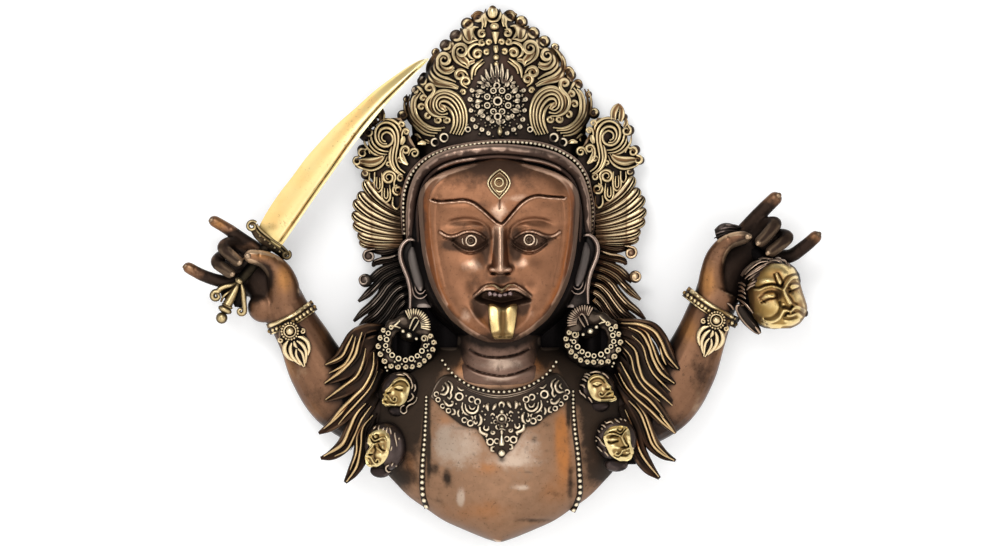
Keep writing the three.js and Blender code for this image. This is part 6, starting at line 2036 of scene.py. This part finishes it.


# Patches on the smooth skin: soil with painted shade, warm copper with painted light, and pale rubbing with
# painted highlights; each x, z, half width, half height, strength
patches = {
    "soil_and_shade": [
        # face: painted shade in the eye openings, above the lids, beside the nose bridge, on the nose flanks,
        # beside the nose, in the mouth gap and under the hair band; darker at the jaw, chin and sides
        (-45, -160, 18, 7, 0.6), (-20, -165, 10, 8, 0.5), (44, -158, 16, 6, 0.5), (18, -165, 8, 8, 0.5),
        (-45, -137, 20, 5, 0.5), (-15, -150, 5, 12, 0.6), (18, -150, 5, 12, 0.6), (-14, -170, 4, 18, 0.7),
        (19, -168, 6, 16, 0.7), (7, -162, 3, 22, 0.3), (1, -198, 12, 5, 0.7),
        (-27, -198, 11, 14, 0.4), (28, -212, 12, 6, 0.4),
        (-20, -228, 9, 10, 0.8), (24, -227, 9, 10, 0.75), (-10, -74, 30, 6, 0.4), (3, -72, 20, 6, 0.5),
        (0, -92, 16, 18, 0.35), (-20, -116, 14, 5, 0.4), (-31, -156, 18, 8, 1.0), (33, -156, 18, 8, 1.0),
        (-52, -160, 12, 6, 0.5), (52, -152, 9, 4, 0.5), (2, -222, 26, 5, 0.8), (-38, -92, 30, 12, 0.45),
        (4, -218, 26, 7, 1.0), (5, -244, 5, 16, 1.2), (2, -256.6, 10, 3, 0.8), (-60, -244, 14, 14, 0.8),
        (62, -244, 14, 14, 0.8), (-76, -212, 8, 22, 0.5), (78, -212, 8, 22, 0.5), (40, -92, 30, 12, 0.4),
        (0, -262, 30, 5, 0.9), (0, -78, 46, 9, 0.6), (-84, -130, 5, 40, 0.6), (85, -130, 5, 40, 0.7),
        (-74, -262, 18, 24, 1.2),
        (76, -262, 18, 24, 1.2),
        # held head: darker in its hollows and at its edges
        (275, -222, 5, 18, 0.9), (283, -240, 8, 6, 0.7), (305, -214, 4, 8, 0.8), (321, -212, 3, 3, 0.6),
        (332, -232, 4, 5, 0.7), (316, -228, 6, 2, 0.6), (303, -236, 6, 4, 0.5),
        # neck and chest: painted shadow under the chin and painted shade at the neck's sides; darker beside
        # the neck; blotches on the chest
        (-78, -274, 30, 5, 1.1), (80, -274, 30, 5, 1.1),
        (-50, -275, 8, 20, 1.0), (51, -275, 8, 20, 1.0), (-42, -280, 8, 20, 0.3), (44, -280, 8, 20, 0.3),
        (0, -268, 25, 7, 0.8), (0, -317, 48, 4, 0.5), (-116, -335, 27, 70, 1.1), (118, -335, 27, 70, 1.1),
        (-92, -306, 25, 26, 1.3), (94, -306, 25, 26, 1.3), (-78, -286, 14, 12, 1.2), (80, -286, 14, 12, 1.2),
        (-57, -414, 6, 11, 0.8), (-70, -405, 6, 10, 0.6), (-92, -350, 10, 50, 0.5), (100, -380, 12, 40, 0.4),
        (40, -461, 25, 3, 0.5), (-105, -415, 16, 12, 0.6), (115, -410, 16, 12, 0.6), (-77, -375, 3, 45, 0.75),
        (76, -345, 3, 22, 0.6), (78, -420, 4, 30, 0.6), (38, -372, 6, 5, 0.4), (30, -382, 4, 4, 0.35),
        (52, -385, 6, 4, 0.35), (62, -432, 10, 5, 0.35), (30, -408, 14, 2, 0.4), (3, -394, 8, 5, 0.5),
        (-28, -388, 4, 3, 0.3), (-66, -440, 8, 8, 0.4), (-40, -360, 18, 3, 0.35), (44, -356, 18, 3, 0.35),
        # arms and hands: painted shade in the hollows between fingers and palm; darker patches on the arms
        (-200, -330, 22, 25, 0.4), (-180, -375, 15, 12, 0.6), (222, -300, 18, 25, 0.5),
        (200, -360, 25, 20, 0.5),
        (-300, -190, 25, 18, 0.9), (-282, -152, 14, 9, 0.9), (-272, -205, 14, 18, 0.95),
        (-264, -200, 13, 17, 1.2),
        (-302, -166, 10, 10, 1.0), (-296, -182, 12, 10, 1.0), (-306, -198, 20, 7, 1.0),
        (-288, -150, 12, 7, 0.8),
        (-257, -192, 9, 12, 0.9), (-320, -128, 5, 4, 0.7), (-350, -180, 6, 4, 0.7), (-232, -262, 8, 22, 0.4),
        (290, -150, 25, 18, 0.85), (275, -170, 25, 14, 0.9), (258, -185, 8, 25, 0.8),
        (335, -165, 14, 10, 0.8),
        (298, -150, 14, 18, 1.2), (310, -160, 14, 14, 1.0), (283, -133, 14, 12, 1.2), (318, -172, 12, 8, 1.0),
        (270, -184, 18, 14, 1.2), (256, -200, 10, 16, 1.1), (292, -122, 10, 10, 0.9), (312, -100, 6, 5, 0.7),
        (330, -164, 12, 8, 0.8), (356, -144, 6, 4, 0.7), (240, -245, 10, 12, 0.4), (302, -111, 10, 10, 0.32),
        (344, -154, 10, 9, 0.36), (-308, -134, 9, 8, 0.3), (-334, -187, 10, 7, 0.3),
        (-22, -231, 8, 9, 0.5), (27, -229, 7, 9, 0.4), (3, -197, 9, 4, 0.5),
        # blade: darker patches, more of them near the guard
        (-240, -105, 10, 16, 0.25), (-222, -75, 6, 12, 0.2), (-250, -140, 12, 6, 0.4),
        (-262, -146, 6, 5, 0.5),
    ],
    "warm_and_lit": [
        # painted light: the lit flanks and bridge of the nose; the rest is warm copper tone
        (-80, -170, 6, 45, 0.6), (-68, -212, 7, 22, 0.5), (76, -190, 7, 30, 0.55), (66, -222, 8, 18, 0.55),
        (1, -165, 6, 25, 0.4),
        (-6, -165, 3, 18, 0.8), (9, -165, 3, 18, 0.6), (-45, -95, 20, 8, 0.3), (-86, -150, 6, 50, 0.6),
        (86, -150, 6, 50, 0.6),
        (68, -368, 7, 26, 1.3), (72, -400, 8, 26, 0.7), (60, -430, 18, 20, 0.5), (-20, -450, 34, 12, 0.5),
        (-12, -403, 14, 8, 0.55), (-60, -352, 8, 8, 0.5), (105, -385, 8, 30, 0.6), (-98, -400, 8, 20, 0.6),
        (-232, -290, 9, 25, 0.7), (-188, -250, 8, 14, 0.6), (-207, -350, 12, 18, 0.6),
        (207, -250, 12, 16, 0.7),
        (245, -280, 6, 20, 0.7), (228, -200, 9, 20, 0.9), (-235, -195, 10, 18, 0.9), (-254, -170, 18, 6, 0.7),
        (-307, -136, 9, 7, 0.7), (-338, -186, 9, 6, 0.3), (345, -153, 7, 7, 0.5),
        (44, -290, 12, 12, 0.8), (-42, -292, 12, 10, 0.6), (0, -308, 40, 4, 0.4),
    ],
    "pale_and_highlight": [
        # painted highlights on the brow, nose bridge and tip, cheeks, lower lip and neck roll; the rest is
        # pale patina on the chest and arms
        (1, -122, 9, 8, 0.8), (-2, -160, 6, 24, 0.8), (1.6, -165, 2.6, 24, 1.2), (5, -186, 6, 4, 0.5),
        (-28, -182, 13, 8, 0.6), (24, -180, 10, 7, 0.5), (20, -108, 18, 5, 0.4),
        (-36, -238, 7, 9, 0.5), (36, -236, 5, 7, 0.3), (-45, -380, 28, 28, 0.6), (24, -385, 30, 28, 0.5),
        (-42, -437, 5, 11, 0.8), (25, -425, 10, 3.4, 0.6), (12, -396, 16, 5, 0.5), (3, -290, 25, 8, 0.6),
        (0, -306, 25, 5, 0.4), (-62, -372, 8, 20, 0.4), (-218, -300, 10, 22, 0.3), (218, -340, 10, 20, 0.4),
    ],
}
# along the face's outline: darker right at its edge, where it turns back, and warmer just inside it
for height in range(-264, -92, 4):
    patches["soil_and_shade"] += [(way * float(faceHalf(height)), height, 3.4, 8, 0.45) for way in (-1, 1)]
    patches["warm_and_lit"] += [(way * (float(faceHalf(height)) - 6), height, 6, 8, 0.22) for way in (-1, 1)]
stained_and_shaded = ("skin", "chestSkin", "neckSkin", "armSkin", "tongueGold", "bladeBrass", "headGold")


def paintPatches(piece, x, z):
    for name, rows in patches.items():
        amount = np.zeros(len(x))
        for middle, height, wide, tall, strength in rows:
            amount += strength * np.exp(-((x - middle) / wide) ** 2 - ((z - height) / tall) ** 2)
        paintAttribute(piece, name, amount)


def paintPatinaAndShade():
    depth, low = heightMap()
    here = (depth > 0).astype(float)
    near, wide = [
        blurred(depth, patina_and_shade[size] / 1.7) / np.maximum(blurred(here, patina_and_shade[size] / 1.7), 0.2) for size in (
            "near", "wide")
    ]
    cell = patina_and_shade["cell"]

    def at(grid, x, z):
        # the grid's value between its cells
        i = clamp((x - low[0]) / cell - 0.5, 0, grid.shape[0] - 1.01)
        j = clamp((z - low[2]) / cell - 0.5, 0, grid.shape[1] - 1.01)
        a, b = i.astype(int), j.astype(int)
        s, t = i - a, j - b
        return lerp(lerp(grid[a, b], grid[a + 1, b], s), lerp(grid[a, b + 1], grid[a + 1, b + 1], s), t)

    for piece, finish in pieces.values():
        x, back, z = spotsOf(piece).T / mark
        d = -back
        if finish in stained_and_shaded:
            paintPatches(piece, x, z)
        shade = np.zeros(len(x))
        for way in range(patina_and_shade["ways"]):
            angle = 2 * math.pi * way / patina_and_shade["ways"]
            horizon = np.zeros(len(x))
            for reach in patina_and_shade["reaches"]:
                over = at(depth, x + reach * math.cos(angle), z + reach * math.sin(angle)) - d
                horizon = np.maximum(horizon, over / np.sqrt(over ** 2 + reach ** 2 + 1e-6))
            shade += horizon
        paintAttribute(piece, "open", clamp(1 - shade / patina_and_shade["ways"]))
        paintAttribute(piece, "rise", clamp((d - at(near, x, z)) / 3, -1, 1))
        paintAttribute(piece, "stand", clamp((d - at(wide, x, z)) / 9, -1, 1))


paintPatinaAndShade()
print("patina worked out")


class Wire:
    # a shader socket that can be used in sums
    def __init__(self, tree, socket):
        self.tree = tree
        self.socket = socket

    def math(self, operation, other, swapped=False):
        pair = (other, self) if swapped else (self, other)
        return self.tree.node("ShaderNodeMath", {"operation": operation}, dict(enumerate(pair)))

    def __add__(self, other):
        return self.math("ADD", other)

    def __sub__(self, other):
        return self.math("SUBTRACT", other)

    def __rsub__(self, other):
        return self.math("SUBTRACT", other, True)

    def __mul__(self, other):
        return self.math("MULTIPLY", other)

    __radd__ = __add__
    __rmul__ = __mul__


class Tree:
    def __init__(self, name):
        self.material = bpy.data.materials.new(name)
        self.material.use_nodes = True
        self.nodes = self.material.node_tree.nodes
        self.links = self.material.node_tree.links
        self.shader = self.nodes["Principled BSDF"]

    def set(self, sockets, key, value):
        if isinstance(value, Wire):
            self.links.new(value.socket, sockets[key])
        else:
            sockets[key].default_value = value

    def node(self, kind, settings=None, values=None, output=0):
        made = self.nodes.new(kind)
        for key, value in (settings or {}).items():
            setattr(made, key, value)
        for key, value in (values or {}).items():
            self.set(made.inputs, key, value)
        return Wire(self, made.outputs[output])

    def attribute(self, name):
        return self.node("ShaderNodeAttribute", {"attribute_name": name}, {}, "Fac")

    def noise(self, scale, detail, roughness=0.6):
        place = self.node("ShaderNodeTexCoord", {}, {}, "Object")
        return self.node(
            "ShaderNodeTexNoise", {},
            {"Vector": place, "Scale": scale, "Detail": detail, "Roughness": roughness},
            "Fac"
        )

    def spots(self, scale):
        place = self.node("ShaderNodeTexCoord", {}, {}, "Object")
        return self.node("ShaderNodeTexVoronoi", {}, {"Vector": place, "Scale": scale}, "Distance")

    def between(self, value, low, high):
        # 0 below low and 1 above high, with a smooth step
        return self.node(
            "ShaderNodeMapRange",
            {"interpolation_type": "SMOOTHSTEP", "clamp": True},
            {"Value": value, "From Min": low, "From Max": high}
        )

    def mix(self, share, one, two):
        one = (*one, 1) if isinstance(one, tuple) else one
        two = (*two, 1) if isinstance(two, tuple) else two
        return self.node("ShaderNodeMix", {"data_type": "RGBA"}, {0: share, 6: one, 7: two}, 2)

    def finish(self, colour, roughness, metallic, bump=None, strength=0.2, distance=0.0006):
        self.set(self.shader.inputs, "Base Color", colour)
        self.set(self.shader.inputs, "Roughness", roughness)
        self.set(self.shader.inputs, "Metallic", metallic)
        if bump is not None:
            normal = self.node(
                "ShaderNodeBump", {},
                {"Height": bump, "Strength": strength, "Distance": distance},
                "Normal"
            )
            self.set(self.shader.inputs, "Normal", normal)
        return self.material


# Carved parts, dark in the recesses with dark patina and painted shade, and rubbed bright on the ridges:
# colours in the depth, of the body and of the ridges, how far they are rubbed, and the colour of the copper
# clouds
carvedFinishes = {
    "crownGold": ((0.008, 0.005, 0.003), (0.15, 0.088, 0.042), (0.82, 0.64, 0.36), 0.2, (0.27, 0.14, 0.06)),
    "crownGround": (
        (0.008, 0.006, 0.005), (0.05, 0.033, 0.025), (0.3, 0.2, 0.12), -0.6, (0.075, 0.042, 0.03)),
    "crownDark": (
        (0.010, 0.008, 0.007), (0.085, 0.06, 0.045), (0.66, 0.54, 0.38), -0.05, (0.10, 0.06, 0.045)),
    "beadGold": ((0.05, 0.03, 0.02), (0.36, 0.25, 0.15), (0.9, 0.78, 0.56), 0.2, (0.3, 0.19, 0.11)),
    "hairBand": ((0.010, 0.006, 0.005), (0.055, 0.034, 0.026), (0.3, 0.2, 0.15), -1.1, (0.075, 0.042, 0.03)),
    "skullDark": (
        (0.004, 0.003, 0.003), (0.022, 0.016, 0.015), (0.07, 0.05, 0.045), -0.6, (0.03, 0.02, 0.018)),
    "wheelDark": (
        (0.004, 0.003, 0.003), (0.014, 0.010, 0.008), (0.07, 0.05, 0.036), -0.9, (0.022, 0.014, 0.010)),
    "gripDark": ((0.004, 0.003, 0.002), (0.035, 0.026, 0.014), (0.2, 0.16, 0.08), -0.8, (0.05, 0.035, 0.02)),
    "prongBrass": ((0.008, 0.006, 0.003), (0.12, 0.085, 0.04), (0.54, 0.41, 0.21), -0.35, (0.2, 0.12, 0.05)),
    "hairDark": (
        (0.003, 0.002, 0.002), (0.007, 0.005, 0.0045), (0.02, 0.015, 0.013), -0.7, (0.010, 0.007, 0.006)),
    "bandDark": ((0.006, 0.005, 0.004), (0.03, 0.022, 0.017), (0.2, 0.15, 0.11), -0.6, (0.04, 0.026, 0.018)),
    "tongueGold": ((0.03, 0.014, 0.006), (0.42, 0.25, 0.085), (0.82, 0.6, 0.26), 0.15, (0.32, 0.17, 0.06)),
    "eyeGold": ((0.010, 0.006, 0.004), (0.13, 0.075, 0.045), (0.66, 0.5, 0.36), 0.0, (0.2, 0.10, 0.05)),
    "thirdGold": ((0.02, 0.012, 0.008), (0.28, 0.17, 0.08), (0.86, 0.7, 0.42), 0.1, (0.3, 0.17, 0.08)),
    "thirdDim": ((0.02, 0.012, 0.008), (0.16, 0.09, 0.045), (0.6, 0.45, 0.26), -0.5, (0.18, 0.095, 0.045)),
    "eyeDim": ((0.010, 0.007, 0.005), (0.12, 0.085, 0.06), (0.5, 0.4, 0.3), -0.3, (0.1, 0.065, 0.045)),
    "teethDim": (
        (0.012, 0.008, 0.007), (0.07, 0.042, 0.042), (0.24, 0.17, 0.16), -0.6, (0.10, 0.065, 0.055)),
    "earSlip": ((0.012, 0.010, 0.009), (0.11, 0.092, 0.082), (0.25, 0.2, 0.17), -0.7, (0.13, 0.10, 0.09)),
    "ribGold": ((0.008, 0.006, 0.005), (0.08, 0.052, 0.038), (0.5, 0.37, 0.27), -0.1, (0.1, 0.06, 0.045)),
    "hairGrey": ((0.006, 0.005, 0.004), (0.05, 0.04, 0.034), (0.36, 0.28, 0.22), -0.3, (0.075, 0.05, 0.038)),
    "hiltDark": ((0.008, 0.006, 0.004), (0.07, 0.05, 0.028), (0.5, 0.38, 0.2), -0.5, (0.09, 0.055, 0.03)),
    "earDark": ((0.008, 0.007, 0.006), (0.10, 0.075, 0.062), (0.42, 0.31, 0.25), -0.35, (0.08, 0.05, 0.04)),
    "earGrey": ((0.012, 0.010, 0.009), (0.075, 0.062, 0.055), (0.25, 0.2, 0.17), -0.5, (0.09, 0.066, 0.056)),
    "earringGold": (
        (0.008, 0.006, 0.005), (0.08, 0.055, 0.04), (0.8, 0.66, 0.44), 0.0, (0.11, 0.065, 0.045)),
    "collarGold": (
        (0.008, 0.006, 0.005), (0.09, 0.065, 0.048), (0.76, 0.62, 0.44), 0.0, (0.12, 0.075, 0.05)),
    "nailGold": ((0.02, 0.012, 0.008), (0.12, 0.075, 0.045), (0.36, 0.25, 0.16), -0.7, (0.15, 0.085, 0.045)),
    "knotGrey": ((0.008, 0.006, 0.005), (0.045, 0.034, 0.03), (0.2, 0.15, 0.13), -0.6, (0.06, 0.042, 0.035)),
    "lockDark": (
        (0.006, 0.004, 0.003), (0.022, 0.014, 0.010), (0.09, 0.05, 0.028), -0.7, (0.042, 0.02, 0.011)),
    "lockGold": ((0.014, 0.008, 0.005), (0.13, 0.075, 0.04), (0.66, 0.46, 0.23), -0.1, (0.3, 0.12, 0.042)),
    "garlandGold": (
        (0.008, 0.005, 0.002), (0.27, 0.175, 0.06), (0.84, 0.67, 0.33), -0.15, (0.36, 0.23, 0.10)),
    "tuftGold": (
        (0.008, 0.006, 0.005), (0.07, 0.045, 0.033), (0.66, 0.52, 0.38), -0.15, (0.10, 0.058, 0.04)),
    "headGold": ((0.008, 0.005, 0.002), (0.35, 0.22, 0.07), (0.85, 0.65, 0.3), -0.1, (0.38, 0.21, 0.08)),
    "headHair": ((0.008, 0.006, 0.005), (0.045, 0.03, 0.024), (0.5, 0.36, 0.26), -0.2, (0.07, 0.04, 0.028)),
    "bladeBrass": ((0.03, 0.02, 0.008), (0.68, 0.53, 0.235), (0.92, 0.83, 0.5), -0.1, (0.74, 0.5, 0.2)),
    "hiltBrass": ((0.015, 0.009, 0.004), (0.34, 0.22, 0.09), (0.86, 0.68, 0.38), 0.05, (0.36, 0.21, 0.08)),
    "plumeGold": ((0.008, 0.005, 0.003), (0.11, 0.068, 0.038), (0.78, 0.61, 0.36), 0.1, (0.19, 0.10, 0.05)),
    "hairGold": ((0.008, 0.006, 0.004), (0.09, 0.052, 0.034), (0.7, 0.5, 0.3), 0.0, (0.16, 0.078, 0.045))
}
skinFinishes = {
    "skin": {
        "body": (0.25, 0.113, 0.058), "copper": (0.29, 0.088, 0.022), "pale_and_highlight": (0.5, 0.32, 0.22), "rub": -0.15,
        "soil_and_shade": (0.062, 0.034, 0.022)},
    "chestSkin": {
        "body": (0.27, 0.15, 0.086), "copper": (0.4, 0.155, 0.048), "pale_and_highlight": (0.43, 0.32, 0.24), "rub": -0.2,
        "soil_and_shade": (0.022, 0.016, 0.012)},
    "neckSkin": {
        "body": (0.17, 0.1, 0.072), "copper": (0.17, 0.085, 0.055), "pale_and_highlight": (0.4, 0.29, 0.22), "rub": -0.1,
        "soil_and_shade": (0.02, 0.014, 0.011)},
    "armSkin": {
        "body": (0.2, 0.1, 0.055), "copper": (0.42, 0.19, 0.06), "pale_and_highlight": (0.46, 0.31, 0.19), "rub": -0.3,
        "soil_and_shade": (0.020, 0.013, 0.010)}
}


metalShare = 0.92


def carvedFinish(name, deep, body, bright, rub, copper):
    tree = Tree(name)
    rise, opening, stand = tree.attribute("rise"), tree.attribute("open"), tree.attribute("stand")
    cloud = tree.noise(22, 3)
    grain = tree.noise(900, 5, 0.7)
    # rubbed bright on the ridges, and brighter where open to the room, which paints a highlight there as well
    worn = tree.between(rise * 2.4 + stand * 0.3 + opening * 0.5 + cloud * 0.5 + rub, 0.55, 1.3)
    # painted shade in the hollows, where little of the room is open; it stands also for the dark patina there
    shadow = tree.between(opening + grain * 0.1, 0.25, 0.8)
    base = tree.mix(tree.between(cloud, 0.42, 0.62), body, copper)
    base = tree.mix(shadow, deep, base)
    colour = tree.mix(worn, base, tree.mix(
        tree.between(grain, 0.3, 0.8), bright, tuple(0.75 * c for c in bright)))
    if name in stained_and_shaded:
        # soil patches, which carry painted shade as well as soil, darken these finishes
        stain_and_shade = tree.between(tree.attribute("soil_and_shade") + cloud * 0.4 + grain * 0.2 - 0.3, 0.15, 0.7)
        colour = tree.mix(stain_and_shade * 0.85, colour, tuple(0.3 * c for c in copper))
        speck = tree.between(tree.noise(300, 5, 0.75) + cloud * 0.3, 0.75, 0.82)
        colour = tree.mix(speck * 0.7, colour, tuple(0.35 * c for c in copper))
        colour = tree.mix(tree.between(tree.noise(60, 5, 0.7), 0.5, 0.75) * 0.3, colour, copper)
    roughness = 0.5 - worn * 0.2 + grain * 0.1
    return tree.finish(colour, roughness, metalShare, grain, 0.15, 0.0003)


def skinFinish(name, body, copper, pale_and_highlight, rub, soil_and_shade):
    tree = Tree(name)
    rise, opening = tree.attribute("rise"), tree.attribute("open")
    cloud = tree.noise(22, 3)
    blot = tree.noise(95, 6, 0.65)
    grain = tree.noise(900, 5, 0.7)
    fleck = tree.between(tree.noise(330, 4, 0.7) + blot * 0.25, 0.72, 0.8)
    # the patches paint warm copper with painted light, pale rubbing with painted highlights, and soil with
    # painted shade
    warm_and_lit = tree.between(tree.attribute("warm_and_lit") * 0.8 + cloud * 0.5 + blot * 0.6, 0.55, 1.35)
    bare_and_highlit = tree.between(tree.attribute("pale_and_highlight") + blot * 0.8, 0.55, 1.1)
    soiled_and_shaded = tree.between(tree.attribute("soil_and_shade") + blot * 0.7 - 0.2, 0.3, 0.9)
    base = tree.mix(warm_and_lit, body, copper)
    base = tree.mix(tree.between(blot, 0.38, 0.62) * 0.3, base, tuple(0.55 * c for c in body))
    base = tree.mix(bare_and_highlit, base, pale_and_highlight)
    base = tree.mix(fleck * 0.45, base, soil_and_shade)
    base = tree.mix(soiled_and_shaded * 0.93, base, soil_and_shade)
    pits = tree.between(tree.spots(190) + blot * 0.3, 0.22, 0.3)
    base = tree.mix(pits * 0.25 + 0.75, soil_and_shade, base)
    # painted shade: darker in the hollows, where little of the room is open
    base = tree.mix(tree.between(opening + blot * 0.15, 0.25, 0.85), soil_and_shade, base)
    # rubbed bright on the raised parts, with a painted highlight there
    worn = tree.between(rise * 3.0 + opening * 0.4 + cloud * 0.4 + rub, 0.75, 1.5) * (1 - soiled_and_shaded * 0.85)
    colour = tree.mix(worn, base, tuple(1.25 * c for c in pale_and_highlight))
    roughness = 0.4 + soiled_and_shaded * 0.15 - bare_and_highlit * 0.06 + grain * 0.1
    return tree.finish(colour, roughness, metalShare, grain, 0.12, 0.0003)


finishes = {name: carvedFinish(name, *looks) for name, looks in carvedFinishes.items()}
finishes.update({name: skinFinish(name, **looks) for name, looks in skinFinishes.items()})
slots = {
    "blade": "sword", "blade_line": "sword", "hilt": "sword", "hilt_guard": "sword", "hilt_grip": "sword"}

for name, (piece, finish) in pieces.items():
    piece.data.materials.clear()
    piece.data.materials.append(finishes[finish])
    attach(piece, "root")
    slot = "severed_head" if name.startswith("severed") else slots.get(name, "figure")
    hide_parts(slot)
print("finishes set")


# Stage: a pale wall that runs down into a floor, soft light and a long lens straight on
stage = {
    "wall": (0.78, 0.775, 0.77), "worn": (0.76, 0.755, 0.75), "glow": (0.3, 0.298, 0.296, 1),
    "room": (0.85, 0.87, 0.9, 1), "roomLight": 0.16}
view = {"far": 16.0, "chip": 36, "wide": 1.1, "aim": (0.0011, -0.1903)}  # metres, but the chip is in mm
lights = {  # spot, size and power
    "key": ((-0.6, -2.3, 1.2), (1.4, 1.0), 36),
    "front": ((0.2, -3.8, -0.3), (2.8, 2.2), 40),
    "fill": ((1.6, -1.2, -0.3), (0.8, 1.8), 9),
    "left": ((-1.7, -1.2, -0.3), (0.8, 1.8), 9),
    "low": ((0.0, -1.6, -1.5), (2.0, 0.8), 9),
}


def makeStage():
    deselect()
    bpy.ops.mesh.primitive_plane_add(size=8, location=(0, 0.004, 0), rotation=(math.pi / 2, 0, 0))
    wall = bpy.context.object
    wall.name = "wall"
    tree = Tree("wallPaint")
    speck = tree.noise(60, 3)
    wall.data.materials.append(tree.finish(tree.mix(speck * 0.3, stage["wall"], stage["worn"]), 0.85, 0.0))
    tree.set(tree.shader.inputs, "Emission Color", stage["glow"])
    tree.set(tree.shader.inputs, "Emission Strength", 1.0)
    deselect()
    bpy.ops.mesh.primitive_plane_add(size=8, location=(0, -4.0, -1.5))
    floor = bpy.context.object
    floor.name = "floor"
    floor.data.materials.append(wall.data.materials[0])


def makeLight(name, spot, size, power):
    bpy.ops.object.light_add(type="AREA", location=spot)
    lamp = bpy.context.object
    lamp.name = name
    lamp.data.shape = "RECTANGLE"
    lamp.data.size, lamp.data.size_y = size
    lamp.data.energy = power
    aim = np.array([0, -0.05, -0.19]) - np.array(spot)
    lamp.rotation_euler = (math.atan2(math.hypot(aim[0], aim[1]), -aim[2]), 0, math.atan2(-aim[0], aim[1]))


makeStage()
for name, settings in lights.items():
    makeLight(name, *settings)

scene = bpy.context.scene
world = bpy.data.worlds.new("room")
world.use_nodes = True
world.node_tree.nodes["Background"].inputs["Color"].default_value = stage["room"]
world.node_tree.nodes["Background"].inputs["Strength"].default_value = stage["roomLight"]
scene.world = world

across, up = view["aim"]
bpy.ops.object.camera_add(location=(across, -view["far"], up), rotation=(math.pi / 2, 0, 0))
camera = bpy.context.object
camera.data.lens = view["chip"] * view["far"] / view["wide"]
camera.data.sensor_width = view["chip"]
scene.camera = camera
scene.view_settings.view_transform = "Standard"
